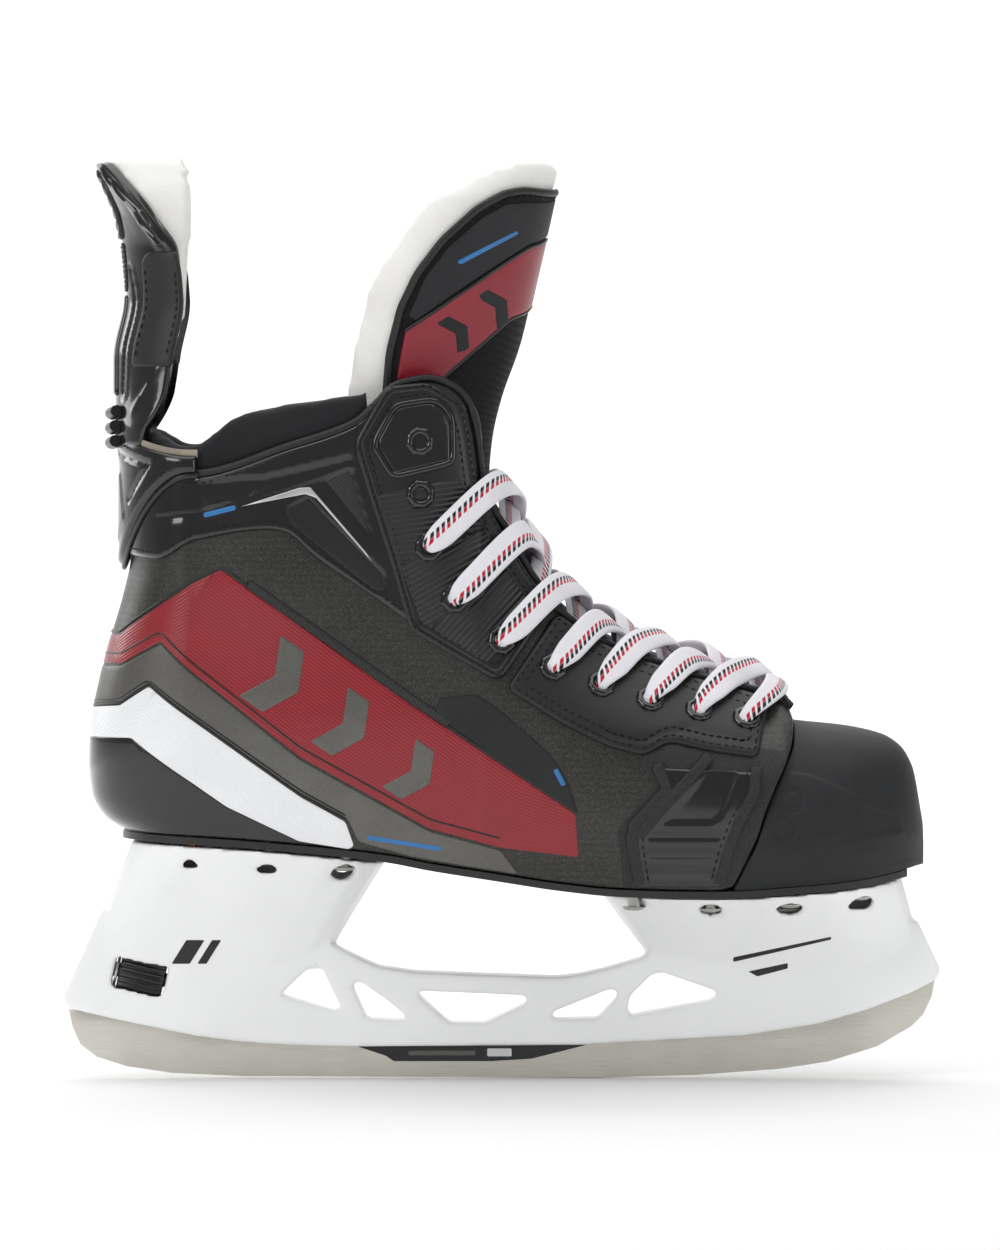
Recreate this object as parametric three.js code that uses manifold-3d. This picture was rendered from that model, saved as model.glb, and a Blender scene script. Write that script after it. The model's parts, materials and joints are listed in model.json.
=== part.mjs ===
// Ice hockey skate, right foot: a stiff boot on a holder that carries a removable steel runner.
// Millimetres. +X points to the toe, +Y to the inner (medial) side, +Z up.
// The runner's flat edge stands on Z = 0.
import * as THREE from "three";
import { mergeVertices } from "three/addons/utils/BufferGeometryUtils.js";
import Module from "manifold-3d";

const wasm = await Module();
wasm.setup();

// ---------------------------------------------------------------- Driving dimensions
const LENGTH = 289; // holder, heel end to toe end
const HEIGHT = 302; // runner edge to the top of the tongue
const WIDTH = 104; // boot across the ball of the foot
const GAP = 0.3; // between pieces that touch
const BEDDING = 1.5; // how far a piece laid on the shell is drawn into it before it is trimmed

const SHELL_WALL = 2.6;
const CUFF_THICKNESS = 1.2;
const CUFF_DROP = 1.5; // from the collar's seam down to the cuff
const FACING_THICKNESS = 1.5;
const PADDING_THICKNESS = 6;
const TOE_CAP_WALL = 2.8;
const OUTSOLE_THICKNESS = 2.4;
const FOOTBED_THICKNESS = 4;
const FOOTBED_MARGIN = 1.4; // to the inside of the wall
const FOOTBED_LIFT = 2.2; // room over the outsole for the clinched rivets

const EYELET_BORE = 4.4;
const EYELET_BARREL = 5.6;
const EYELET_FLANGE = 9.4;
const EYELET_FLANGE_THICKNESS = 0.8;
const LACE_DIAMETER = 2.4;

const TONGUE_COVER = 1.4;
const TONGUE_FELT = 7;
const GUARD_WALL = 3;
const GUARD_FELT = 6;

const HOLDER_WALL = 3;
const HOLDER_KEEL = 13; // width of the holder along its lower edge
const HEEL_FLANGE_WIDTH = 58;
const TOE_FLANGE_WIDTH = 74;
const FLANGE_THICKNESS = 3.2;
const RIVET_SHANK = 4.2;
const RIVET_HEAD = 7.6;
const RIVET_HEAD_THICKNESS = 1.2;
const RIVET_POCKET = 4; // how far the holder is open under its flange at a rivet

const RUNNER_THICKNESS = 3;
const GROOVE_DEPTH = 5;
const DIAL_DIAMETER = 15;
const DIAL_LENGTH = 15;
const DIAL_TILT = 13; // degrees that the lock's axis dips towards the toe
const BOLT_DIAMETER = 4.8;
const BOLT_TRAVEL = 3;
const CROSS_PIN = 4;

// ---------------------------------------------------------------- Grading
// The outlines below are drawn for the base size and graded to the sizes above, as a shoe pattern is.
const gradeX = LENGTH / 289;
const gradeY = WIDTH / 104;
const gradeZ = HEIGHT / 302;
const grade = (points) => points.map(([x, z]) => [x * gradeX, z * gradeZ]);
const gradeWidths = (points) => points.map(([x, y]) => [x * gradeX, y * gradeY]);
const shape = (points) => new THREE.Shape(points.map(([x, z]) => new THREE.Vector2(x, z)));
const { lerp, smoothstep, degToRad } = THREE.MathUtils;

/** A curve y(x) through a few points, smooth and with no overshoot between them (monotone cubic). */
function smoothCurve(points) {
  const n = points.length;
  const slope = points.slice(1).map((p, i) => (p[1] - points[i][1]) / (p[0] - points[i][0]));
  const tangent = points.map((_, i) => {
    if (i === 0) return slope[0];
    if (i === n - 1) return slope[n - 2];
    const [a, b] = [slope[i - 1], slope[i]];
    return a * b <= 0 ? 0 : (2 * a * b) / (a + b);
  });
  return (x) => {
    if (x <= points[0][0]) return points[0][1];
    if (x >= points[n - 1][0]) return points[n - 1][1];
    const i = points.findIndex((p) => p[0] > x) - 1;
    const width = points[i + 1][0] - points[i][0];
    const t = (x - points[i][0]) / width;
    const [p, q] = [points[i][1], points[i + 1][1]];
    const [m, k] = [tangent[i] * width, tangent[i + 1] * width];
    return (2 * t ** 3 - 3 * t ** 2 + 1) * p + (t ** 3 - 2 * t ** 2 + t) * m
      + (3 * t ** 2 - 2 * t ** 3) * q + (t ** 3 - t ** 2) * k;
  };
}

/** A point at share t (0 to 1) of the way along a polyline. */
function alongLine(points, t) {
  const steps = points.slice(1).map((p, i) => Math.hypot(p[0] - points[i][0], p[1] - points[i][1]));
  let left = t * steps.reduce((sum, d) => sum + d, 0);
  for (let i = 0; i < steps.length; i++) {
    if (left <= steps[i] || i === steps.length - 1) {
      const k = Math.min(1, left / steps[i]);
      return [lerp(points[i][0], points[i + 1][0], k), lerp(points[i][1], points[i + 1][1], k)];
    }
    left -= steps[i];
  }
}

const range = (n, from = 0, to = 1) => Array.from({ length: n + 1 }, (_, i) => lerp(from, to, i / n));

// ---------------------------------------------------------------- Solids
/** A closed triangle mesh as a manifold solid, turned so that its faces point out. */
function solidOf(geometry) {
  const plain = new THREE.BufferGeometry();
  plain.setAttribute("position", geometry.getAttribute("position").clone());
  if (geometry.index) plain.setIndex(geometry.index.clone());
  const merged = mergeVertices(plain, 1e-4);
  const triVerts = new Uint32Array(merged.index.array);
  const build = () => new wasm.Manifold(
    new wasm.Mesh({ numProp: 3, vertProperties: merged.attributes.position.array, triVerts }),
  );
  const made = build();
  if (made.volume() >= 0) return made;
  for (let i = 0; i < triVerts.length; i += 3) {
    [triVerts[i], triVerts[i + 1]] = [triVerts[i + 1], triVerts[i]];
  }
  return build();
}

/** A manifold solid back as geometry. */
function geometryOf(solid) {
  const { vertProperties, triVerts, numProp, numVert } = solid.getMesh();
  const position = new Float32Array(numVert * 3);
  for (let i = 0; i < numVert; i++) {
    position.set(vertProperties.subarray(i * numProp, i * numProp + 3), i * 3);
  }
  const geometry = new THREE.BufferGeometry();
  geometry.setAttribute("position", new THREE.BufferAttribute(position, 3));
  geometry.setIndex(new THREE.BufferAttribute(new Uint32Array(triVerts), 1));
  geometry.computeVertexNormals();
  return geometry;
}

/** Geometry from rings of points: each ring joins the next, and the two end rings are closed by fans. */
function loft(rings) {
  const count = rings[0].length;
  const points = rings.flat();
  const index = [];
  for (let r = 0; r + 1 < rings.length; r++) {
    for (let i = 0; i < count; i++) {
      const [a, b] = [r * count + i, r * count + ((i + 1) % count)];
      index.push(a, b, b + count, a, b + count, a + count);
    }
  }
  for (const [ring, flip] of [[0, true], [rings.length - 1, false]]) {
    const centre = points.length;
    const middle = new THREE.Vector3();
    rings[ring].forEach((p) => middle.add(p));
    points.push(middle.divideScalar(count));
    for (let i = 0; i < count; i++) {
      const [a, b] = [ring * count + i, ring * count + ((i + 1) % count)];
      index.push(...(flip ? [b, a, centre] : [a, b, centre]));
    }
  }
  return new THREE.BufferGeometry().setFromPoints(points).setIndex(index);
}

/**
 * A closed sheet of some thickness from a grid of { point, normal }.
 * It fills from inner to outer, along the normal.
 */
function sheet(grid, inner, outer) {
  const [rows, columns] = [grid.length, grid[0].length];
  const end = columns - 1;
  const at = (layer, i, j) => (layer * rows + i) * columns + j;
  const points = [inner, outer].flatMap((offset) => grid.flatMap(
    (row) => row.map(({ point, normal }) => point.clone().addScaledVector(normal, offset)),
  ));
  const index = [];
  const quad = (a, b, c, d) => index.push(a, b, c, a, c, d);
  for (let i = 0; i + 1 < rows; i++) {
    for (let j = 0; j + 1 < columns; j++) {
      quad(at(1, i, j), at(1, i + 1, j), at(1, i + 1, j + 1), at(1, i, j + 1));
      quad(at(0, i, j), at(0, i, j + 1), at(0, i + 1, j + 1), at(0, i + 1, j));
    }
  }
  for (let i = 0; i + 1 < rows; i++) {
    quad(at(0, i, 0), at(0, i + 1, 0), at(1, i + 1, 0), at(1, i, 0));
    quad(at(0, i, end), at(1, i, end), at(1, i + 1, end), at(0, i + 1, end));
  }
  for (let j = 0; j + 1 < columns; j++) {
    quad(at(0, 0, j), at(1, 0, j), at(1, 0, j + 1), at(0, 0, j + 1));
    quad(at(0, rows - 1, j), at(0, rows - 1, j + 1), at(1, rows - 1, j + 1), at(1, rows - 1, j));
  }
  return new THREE.BufferGeometry().setFromPoints(points).setIndex(index);
}

/** The outward normal of a surface at (a, b), from its neighbours. */
function normalAt(surface, a, b, step = 0.4) {
  const across = surface(a + step, b).sub(surface(a - step, b));
  const up = surface(a, b + step).sub(surface(a, b - step));
  return across.cross(up).normalize();
}

/** A prism of a side-view outline, centred on the XZ plane. */
function sidePrism(outline, width, holes = []) {
  const profile = shape(outline);
  profile.holes = holes.map(shape);
  const prism = new THREE.ExtrudeGeometry(profile, { depth: width, bevelEnabled: false });
  return prism.translate(0, 0, -width / 2).rotateX(Math.PI / 2);
}

/** A cylinder or cone from one point towards another. */
function rod(from, to, radius, sides = 12, endRadius = radius) {
  const axis = to.clone().sub(from);
  const cylinder = new THREE.CylinderGeometry(endRadius, radius, axis.length(), sides);
  const up = new THREE.Vector3(0, 1, 0);
  cylinder.applyQuaternion(new THREE.Quaternion().setFromUnitVectors(up, axis.clone().normalize()));
  return cylinder.translate(...from.clone().add(to).multiplyScalar(0.5).toArray());
}

/**
 * A turned piece whose axis leaves `origin` along `direction`.
 * The profile is [radius, height] pairs, closed on itself.
 */
function turned(profile, origin, direction, sides) {
  const lathe = new THREE.LatheGeometry(profile.map(([r, h]) => new THREE.Vector2(r, h)), sides);
  lathe.applyQuaternion(new THREE.Quaternion().setFromUnitVectors(new THREE.Vector3(0, 1, 0), direction));
  return lathe.translate(...origin.toArray());
}

// ---------------------------------------------------------------- The boot's skin
// The outside of the boot, as a half width over the side view. `u` is X along the side, and behind
// HEEL_TURN it carries on round the heel, as far as the back seam at HEEL_SEAM.
const HEEL_TURN = -101 * gradeX;
const HEEL_SEAM = -154 * gradeX;
const TOE_JOIN_TOP = 95.5 * gradeX;
const TOE_JOIN_BOTTOM = 74 * gradeX;
const LATERAL = -1;
const MEDIAL = 1;
const SIDES = { lateral: LATERAL, medial: MEDIAL };

const heelBack = smoothCurve(grade([
  [-125.5, 82.5], [-131.5, 87], [-135.2, 94], [-136.2, 103], [-135.8, 115], [-133, 130],
  [-128.8, 146], [-125, 159], [-122.4, 172], [-122, 198], [-124, 216],
]).map(([x, z]) => [z, x]));
const soleLine = smoothCurve(grade([
  [-134, 82.5], [-100, 81], [-69, 78.7], [-38, 75.4], [-24, 72.8], [0, 69.2], [19, 66.5],
  [38, 64.8], [70, 64.2], [98, 65.8], [116, 67.5], [136, 71],
]));
const topLine = smoothCurve(grade([
  [-134, 214], [-102, 209], [-95, 213], [-89, 218], [-74, 222], [-46, 226.5], [-36, 229.5], [-25, 230.4],
  [-16.7, 228], [-11.2, 222.5], [-8.6, 216], [-6.5, 194], [0.5, 182], [9, 167], [17.4, 155.5],
  [28.4, 147], [38, 142], [55, 136], [65, 132.5], [82, 128.5], [91, 126], [97, 119],
]));
const bellyWidth = smoothCurve(gradeWidths([
  [-134, 34], [-101, 35], [-70, 37.5], [-40, 39.5], [0, 44], [40, 50], [70, 52], [98, 50.5],
]));
const soleWidth = smoothCurve(gradeWidths([
  [-134, 26], [-101, 29], [-60, 30], [-20, 32.5], [20, 38], [60, 43.5], [98, 43],
]));
const topWidth = smoothCurve(gradeWidths([
  [-134, 33], [-101, 34], [-60, 37.5], [-40, 38], [-20, 38.5], [0, 39.5], [17, 40.5], [50, 41], [97, 38],
]));
// Beside the throat the upper rounds in towards the lace: by `drop` at the edge, from `reach` away.
const THROAT = grade([
  [-60, 244], [-16.7, 231], [-10.5, 221], [-8.6, 211], [-6.5, 194], [0.5, 182], [9, 167], [17.4, 155.5],
  [28.4, 147], [38, 142], [55, 136], [65, 132.5], [82, 128.5], [97, 125],
]);
const throatDrop = smoothCurve(gradeWidths([
  [-30, 7], [-8, 9], [10, 12], [30, 15.5], [60, 17], [97, 16],
]));
const THROAT_REACH = 34 * gradeX;
const bellyHeight = smoothCurve([
  [-134, 0.24], [-60, 0.3], [-20, 0.32], [20, 0.36], [98, 0.42],
].map(([x, h]) => [x * gradeX, h]));
const ANKLE = {
  x: -80 * gradeX,
  z: 168 * gradeZ,
  reach: 24 * gradeX,
  rise: 22 * gradeZ,
  bulge: 3 * gradeY,
};
/** How far the toe leans to the inner side. */
const toeSwing = (x) => 3.5 * gradeY * smoothstep(x, 10 * gradeX, 120 * gradeX);

/** Distance in the side view from X and Z to the throat's edge. */
function throatDistance(x, z) {
  const gaps = THROAT.slice(1).map(([bx, bz], i) => {
    const [ax, az] = THROAT[i];
    const along = ((x - ax) * (bx - ax) + (z - az) * (bz - az)) / ((bx - ax) ** 2 + (bz - az) ** 2);
    const k = THREE.MathUtils.clamp(along, 0, 1);
    return Math.hypot(x - lerp(ax, bx, k), z - lerp(az, bz, k));
  });
  return Math.min(...gaps);
}

/** Half width of the boot at X and Z. */
function halfWidth(x, z) {
  const [sole, top, belly] = [soleLine(x), topLine(x), bellyHeight(x)];
  const h = THREE.MathUtils.clamp((z - sole) / (top - sole), 0, 1);
  const low = lerp(soleWidth(x), bellyWidth(x), Math.sin(Math.min(1, h / belly) * Math.PI / 2) ** 0.8);
  const k = Math.max(0, (h - belly) / (1 - belly));
  const wall = h < belly ? low : lerp(bellyWidth(x), topWidth(x), k ** 2);
  const near = Math.max(0, 1 - throatDistance(x, z) / THROAT_REACH);
  const [dx, dz] = [(x - ANKLE.x) / ANKLE.reach, (z - ANKLE.z) / ANKLE.rise];
  return wall - throatDrop(x) * near ** 2 + ANKLE.bulge * Math.exp(-dx * dx - dz * dz);
}

/** A point on the boot's skin. */
function skin(side, u, z) {
  if (u >= HEEL_TURN) return new THREE.Vector3(u, side * halfWidth(u, z) + toeSwing(u), z);
  const turn = ((u - HEEL_SEAM) / (HEEL_TURN - HEEL_SEAM)) * Math.PI / 2;
  const back = heelBack(z);
  return new THREE.Vector3(
    back + (HEEL_TURN - back) * (1 - Math.cos(turn)),
    side * halfWidth(HEEL_TURN, z) * Math.sin(turn),
    z,
  );
}

/** A skin point with its outward normal. */
function skinPoint(side, u, z) {
  const normal = normalAt((a, b) => skin(side, a, b), u, z).multiplyScalar(-side);
  if (u <= HEEL_SEAM + 0.01) normal.setY(0).normalize();
  return { point: skin(side, u, z), normal };
}


/** Columns right round the boot, from the outer side's front to the inner side's, by the heel. */
function roundHeel(fronts, heelSteps) {
  const heel = range(heelSteps, HEEL_TURN, HEEL_SEAM).slice(1);
  const one = [...fronts, HEEL_TURN, ...heel];
  return [
    ...one.map((u) => ({ side: LATERAL, u })),
    ...one.slice(0, -1).reverse().map((u) => ({ side: MEDIAL, u })),
  ];
}

/** A grid over the skin: for each column, rows from low(u) to high(u). */
function skinGrid(columns, low, high, shares) {
  return columns.map(({ side, u }) => shares.map((s) => skinPoint(side, u, lerp(low(u), high(u), s))));
}

/** A grid over one side of the skin between two polylines in the side view. */
function panelGrid(side, rear, front, along, across) {
  return range(along).map((t) => {
    const [a, b] = [alongLine(rear, t), alongLine(front, t)];
    return range(across).map((s) => skinPoint(side, lerp(a[0], b[0], s), lerp(a[1], b[1], s)));
  });
}

// ---------------------------------------------------------------- Materials
const finish = (color, roughness, metalness = 0) => (
  new THREE.MeshStandardMaterial({ color, roughness, metalness })
);
const materials = {
  weave: finish(0x3b3a35, 0.45),
  blackGloss: finish(0x17181a, 0.2),
  blackSatin: finish(0x2a2b2e, 0.45),
  blackMatte: finish(0x333538, 0.75),
  felt: finish(0xeceae6, 0.95),
  lace: finish(0xf0eef2, 0.85),
  holder: finish(0xf3f4f4, 0.35),
  steel: finish(0xb4b1a6, 0.35, 0.9),
  copper: finish(0xc98a63, 0.35, 0.9),
  padding: finish(0x34363a, 0.8),
};

const skate = new THREE.Group();
/** Adds a named piece to the skate. */
function add(name, piece, material) {
  const geometry = piece.isBufferGeometry ? piece : geometryOf(piece);
  const mesh = new THREE.Mesh(geometryOf(solidOf(geometry)), material);
  mesh.name = name;
  skate.add(mesh);
  return mesh;
}
/** The largest body of a solid, leaving out slivers that a cut has parted from it. */
const largest = (solid) => solid.decompose().reduce((a, b) => (b.volume() > a.volume() ? b : a));
/** Cuts each of the tools from a solid. */
const cut = (solid, tools) => tools.reduce(
  (left, tool) => left.subtract(tool.isBufferGeometry ? solidOf(tool) : tool),
  solid,
);

// ---------------------------------------------------------------- Eyelets
const EYELETS = grade([
  [-27.1, 209.3], [-26.8, 192.4], [-23.9, 175.2], [-15.4, 158.6], [-0.5, 145],
  [16.1, 136], [31.7, 130], [47.6, 125], [63.5, 121.4], [79, 118.6],
]);
const LACED_FROM = 2; // the two eyelets at the top stay empty
const eyeletSeats = Object.fromEntries(Object.entries(SIDES).map(
  ([name, side]) => [name, EYELETS.map(([x, z]) => skinPoint(side, x, z))],
));
const eyeletHole = ({ point, normal }) => rod(
  point.clone().addScaledVector(normal, -3 * SHELL_WALL),
  point.clone().addScaledVector(normal, 3 * SHELL_WALL),
  EYELET_BARREL / 2 + 2 * GAP,
  8,
);
const eyeletHoles = Object.fromEntries(Object.entries(eyeletSeats).map(
  ([name, seats]) => [name, seats.map(eyeletHole)],
));

function addEyelets() {
  const outside = FACING_THICKNESS + 2 * GAP;
  const inside = -SHELL_WALL - 4 * GAP;
  const [bore, barrel, flange] = [EYELET_BORE / 2, EYELET_BARREL / 2, EYELET_FLANGE / 2];
  const lip = EYELET_FLANGE_THICKNESS;
  const rolled = barrel + 1; // the barrel's end is rolled over inside the boot
  const profile = [
    [bore, inside - lip], [rolled, inside - lip], [rolled, inside], [barrel, inside],
    [barrel, outside], [flange, outside], [flange - lip / 2, outside + lip],
    [bore, outside + lip], [bore, inside - lip],
  ];
  for (const [name, seats] of Object.entries(eyeletSeats)) {
    seats.forEach(({ point, normal }, i) => {
      const number = String(i + 1).padStart(2, "0");
      add(`eyelet_${name}_${number}`, turned(profile, point, normal, 8), materials.blackGloss);
    });
  }
}

// ---------------------------------------------------------------- Boot upper
const COLLAR_SEAM = smoothCurve(grade([
  [-134, 206], [-101, 199.5], [-69, 208.7], [-48, 216], [-41, 222], [-35, 228], [-25, 230.4],
]));
const shellTop = (x) => (x < -25 * gradeX ? Math.min(topLine(x), COLLAR_SEAM(x)) : topLine(x));
const SHELL_FRONTS = [
  60, 44, 30, 19, 10, 3, -5, -7.4, -10.5, -16, -26, -40, -54, -70, -86,
].map((x) => x * gradeX);

/** The slanted edge where the shell meets the toe cap, as X for a height. */
const toeJoin = smoothCurve(grade([
  [74, 64], [82, 80], [86.5, 94], [90.5, 102], [94.5, 112], [95.5, 121],
]).map(([x, z]) => [z, x]));

function shellGrid(lift = 0) {
  const shares = [0, 0.08, 0.2, 0.36, 0.54, 0.74, 0.9, 1];
  const [low, high] = [(x) => soleLine(x) - lift, (x) => shellTop(x) + lift];
  const grid = skinGrid(roundHeel(SHELL_FRONTS, 5), low, high, shares);
  // The front end follows the toe cap's slanted edge. Its steps fan out from the last column.
  const fan = [1, 0.5].map((k) => (side) => shares.map((s) => {
    const straight = SHELL_FRONTS[0];
    const nominal = lerp(soleLine(TOE_JOIN_BOTTOM), topLine(TOE_JOIN_TOP), s);
    const x = lerp(straight, toeJoin(nominal), k);
    return skinPoint(side, x, lerp(low(x), high(x), s));
  }));
  return [fan[0](LATERAL), fan[1](LATERAL), ...grid, fan[1](MEDIAL), fan[0](MEDIAL)];
}

function addBoot() {
  const allHoles = [...eyeletHoles.lateral, ...eyeletHoles.medial];
  add("boot_shell", cut(solidOf(sheet(shellGrid(), -SHELL_WALL, 0)), allHoles), materials.weave);

  // Everything laid on the shell starts a little way into it, and is trimmed clear of it.
  const shellRoom = solidOf(sheet(shellGrid(GAP), -SHELL_WALL - GAP, GAP));
  const trimmed = (grid, inner, outer) => largest(solidOf(sheet(grid, inner, outer)).subtract(shellRoom));

  // Collar padding: inside the shell, and standing above it as a soft roll.
  const padFronts = [-43, -48, -60, -74, -88].map((x) => x * gradeX);
  const padLow = smoothCurve(grade([[-134, 150], [-100, 150], [-60, 165], [-43, 196]]));
  const padded = skinGrid(roundHeel(padFronts, 5), padLow, topLine, [0, 0.25, 0.5, 0.7, 0.85, 1]);
  add("collar_padding", trimmed(padded, -SHELL_WALL - GAP - PADDING_THICKNESS, 0), materials.padding);

  // Facings: the upper one is ribbed and stiff, the lower one is soft leather. Both carry the eyelets.
  const upperRear = grade([
    [-38, 227], [-48.5, 209], [-43.7, 193], [-36.2, 170], [-30, 148.5], [-1, 131.5],
  ]);
  const upperFront = grade([
    [-24, 228.5], [-13.5, 221.5], [-11, 213], [-8.6, 195], [-1, 180.5], [7.5, 166.5], [15.6, 155.4],
  ]);
  const lowerRear = grade([
    [1, 129.6], [18.7, 118.6], [34.3, 111], [46, 108], [54, 112.5], [66, 109.5], [83, 107],
  ]);
  const lowerFront = grade([
    [17, 153.6], [28, 145.6], [38, 140.6], [55, 134.6], [65, 131.2], [78, 128], [87, 125],
  ]);
  const facingRooms = Object.values(SIDES).map((side) => {
    const behind = upperRear.map(([x, z], i) => (i < 4 ? [x - 3 * GAP, z] : [x, z - 3 * GAP]));
    return sheet(panelGrid(side, behind, upperFront, 12, 3), -BEDDING, 3 * FACING_THICKNESS);
  });
  const cuffFronts = [-26, -32, -37, -45, -56, -62, -68, -76, -88].map((x) => x * gradeX);
  const cuffLow = smoothCurve(grade([
    [-134, 172], [-119, 171.3], [-100, 177.5], [-76, 181], [-70, 180], [-62, 173], [-41, 158.6], [-26, 148],
  ]));
  const cuffGrid = skinGrid(roundHeel(cuffFronts, 6), cuffLow, (x) => COLLAR_SEAM(x) - CUFF_DROP, range(4));
  const cuff = cut(trimmed(cuffGrid, -BEDDING, GAP + CUFF_THICKNESS), facingRooms);
  add("ankle_cuff", largest(cuff), materials.blackSatin);

  const facings = [
    ["upper", upperRear, upperFront, 12],
    ["lower", lowerRear, lowerFront, 9],
  ];
  for (const [name, side] of Object.entries(SIDES)) {
    for (const [level, rear, front, along] of facings) {
      const facing = trimmed(panelGrid(side, rear, front, along, 3), -BEDDING, GAP + FACING_THICKNESS);
      const look = level === "upper" ? materials.blackGloss : materials.blackMatte;
      add(`facing_${level}_${name}`, largest(cut(facing, eyeletHoles[name])), look);
    }
    const vampRear = grade([[50, 104.5], [52, 97], [40.5, 86], [40, 80.5], [42.5, 66]]);
    const vampFront = grade([[84, 102.5], [83.5, 96], [78.5, 87], [75.5, 79], [72, 66]]);
    const vamp = trimmed(panelGrid(side, vampRear, vampFront, 5, 3), -BEDDING, GAP + CUFF_THICKNESS);
    add(`vamp_guard_${name}`, vamp, materials.blackGloss);
  }
}

// ---------------------------------------------------------------- Toe cap, outsole and footbed
const TOE_TIP = 138 * gradeX;
const TOE_ROUND_FROM = 92 * gradeX;
const roofLine = smoothCurve(grade([
  [70, 122], [97, 117.3], [113, 115.6], [125, 113], [131, 109.5], [135, 103], [138, 88],
]));
const noseWidth = (x, width) => {
  const k = THREE.MathUtils.clamp((x - TOE_ROUND_FROM) / (TOE_TIP + 1 - TOE_ROUND_FROM), 0, 1);
  return width * (1 - k ** 2.5) ** (1 / 2.5);
};

/** One arch of the toe cap: from the outer side's sole, over the roof, to the inner side's sole. */
function toeArch(x, join, steps, inset) {
  const squareness = 2 / 3.1;
  const width = noseWidth(x, bellyWidth(TOE_JOIN_TOP)) - inset;
  const ring = range(steps, 0, Math.PI).map((angle) => {
    const rise = Math.sin(angle) ** squareness;
    const reach = Math.sign(Math.cos(angle)) * Math.abs(Math.cos(angle)) ** squareness;
    const low = soleLine(x) + (inset ? FOOTBED_LIFT : 0);
    const z = lerp(low, roofLine(x) - inset, rise);
    const tuck = 1 - 0.12 * (1 - smoothstep(z, soleLine(x), soleLine(x) + 12));
    const back = join ? toeJoin(z) + 2 * GAP : x;
    return new THREE.Vector3(back, -reach * width * tuck + toeSwing(x), z);
  });
  return ring;
}

function addToeCap() {
  const stations = [TOE_JOIN_TOP, 106, 116, 125, 131, 135, 138].map((x, i) => (i ? x * gradeX : x));
  const outer = loft(stations.map((x, i) => toeArch(x, i === 0, 16, 0)));
  const hollowStations = [TOE_JOIN_TOP, 108, 120, 127, 132].map((x, i) => (i ? x * gradeX : x));
  const hollow = loft([
    toeArch(TOE_JOIN_TOP, true, 12, TOE_CAP_WALL).map((p) => p.setX(p.x - 30)),
    ...hollowStations.map((x, i) => toeArch(x, i === 0, 12, TOE_CAP_WALL)),
  ]);
  const opened = solidOf(hollow).add(solidOf(hollow).translate([0, 0, -4 * FOOTBED_LIFT]));
  add("toe_cap", solidOf(outer).subtract(opened), materials.blackMatte);
}

/** A plate that follows the sole line, from a list of X stations and a half width at each. */
function solePlate(stations, width, low, high) {
  const ring = (x) => [
    [-width(x), high], [width(x), high], [width(x), low], [-width(x), low],
  ].map(([y, lift]) => new THREE.Vector3(x, y + toeSwing(x), soleLine(x) + lift));
  return loft(stations.map(ring));
}

/** Half width of the sole, rounded at the heel and the toe. */
function soleOutline(x, inset) {
  const heel = THREE.MathUtils.clamp((HEEL_TURN - x) / (HEEL_TURN + 125.5 * gradeX - inset), 0, 1);
  const round = Math.sqrt(Math.max(0, 1 - heel * heel));
  const width = Math.min(soleWidth(x), soleWidth(TOE_JOIN_TOP));
  return Math.max(1.5, (noseWidth(x + inset, width) - inset) * round);
}

const SOLE_STATIONS = [-124.5, -120, -111, -101, -80, -55, -25, 0, 20, 40, 70, 97, 110, 121, 128, 132.5];
const HEEL_REST = [-86, -60]; // the footbed is flat between these two stations
const RIVETS = {
  heel: gradeWidths([[-102, 20], [-77, 21], [-52, 21]]),
  toe: gradeWidths([[43, 28], [68, 29], [94, 28], [117, 23]]),
};

function rivetSeats() {
  const pair = (end, [x, y], i) => Object.entries(SIDES).map(
    ([name, side]) => ({ name: `rivet_${end}_${name}_${i + 1}`, x, y: side * y, end, first: i === 0 }),
  );
  return Object.entries(RIVETS).flatMap(
    ([end, places]) => places.flatMap((place, i) => pair(end, place, i)),
  );
}

function addSole() {
  const shaftHoles = rivetSeats().map(({ x, y }) => rod(
    new THREE.Vector3(x, y, soleLine(x) - 12),
    new THREE.Vector3(x, y, soleLine(x) + 3),
    RIVET_SHANK / 2 + 2 * GAP,
    8,
  ));
  const stations = SOLE_STATIONS.map((x) => x * gradeX);
  const plate = solePlate(stations, (x) => soleOutline(x, 0), -GAP - OUTSOLE_THICKNESS, -GAP);
  add("outsole", cut(solidOf(plate), shaftHoles), materials.blackSatin);

  const inner = [
    -118, -112, -101, ...HEEL_REST, -35, -10, 20, 45, 75, 97, 110, 120, 127,
  ].map((x) => x * gradeX);
  const inside = (x) => soleOutline(x, SHELL_WALL + FOOTBED_MARGIN);
  const bed = solePlate(inner, inside, FOOTBED_LIFT, FOOTBED_LIFT + FOOTBED_THICKNESS);
  add("footbed", bed, materials.padding);
}

// ---------------------------------------------------------------- Tongue
// The tongue is a curved sheet. Its ridge runs from the toe cap up the throat; the wings wrap back from it.
const RIDGE = grade([
  [86, 117.5], [65, 124.5], [48, 130], [34, 135.5], [20, 145], [9, 159], [1, 175], [-4, 192],
  [-3.4, 209], [0, 224], [6, 241], [11, 262], [15, 279], [17.5, 290], [20.5, 300.5],
]).map(([x, z]) => new THREE.Vector3(x, 0, z));
const RIDGE_WINGS = [ // half width and depth of the wings at each ridge point
  [22, 4], [25, 7], [26, 9], [27, 12], [28, 17], [28.5, 25], [28, 36], [27, 45],
  [27, 50], [28, 53], [32, 55], [38, 49], [38, 40], [32, 28], [20, 11],
];
const WING_ANGLE = degToRad(80);
const TONGUE_FLEX = 9.45; // where the tongue bends, in ridge points
const ridgeCurve = new THREE.CatmullRomCurve3(RIDGE);
const wingSize = [0, 1].map((k) => smoothCurve(RIDGE_WINGS.map((w, i) => [i, w[k]])));

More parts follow.
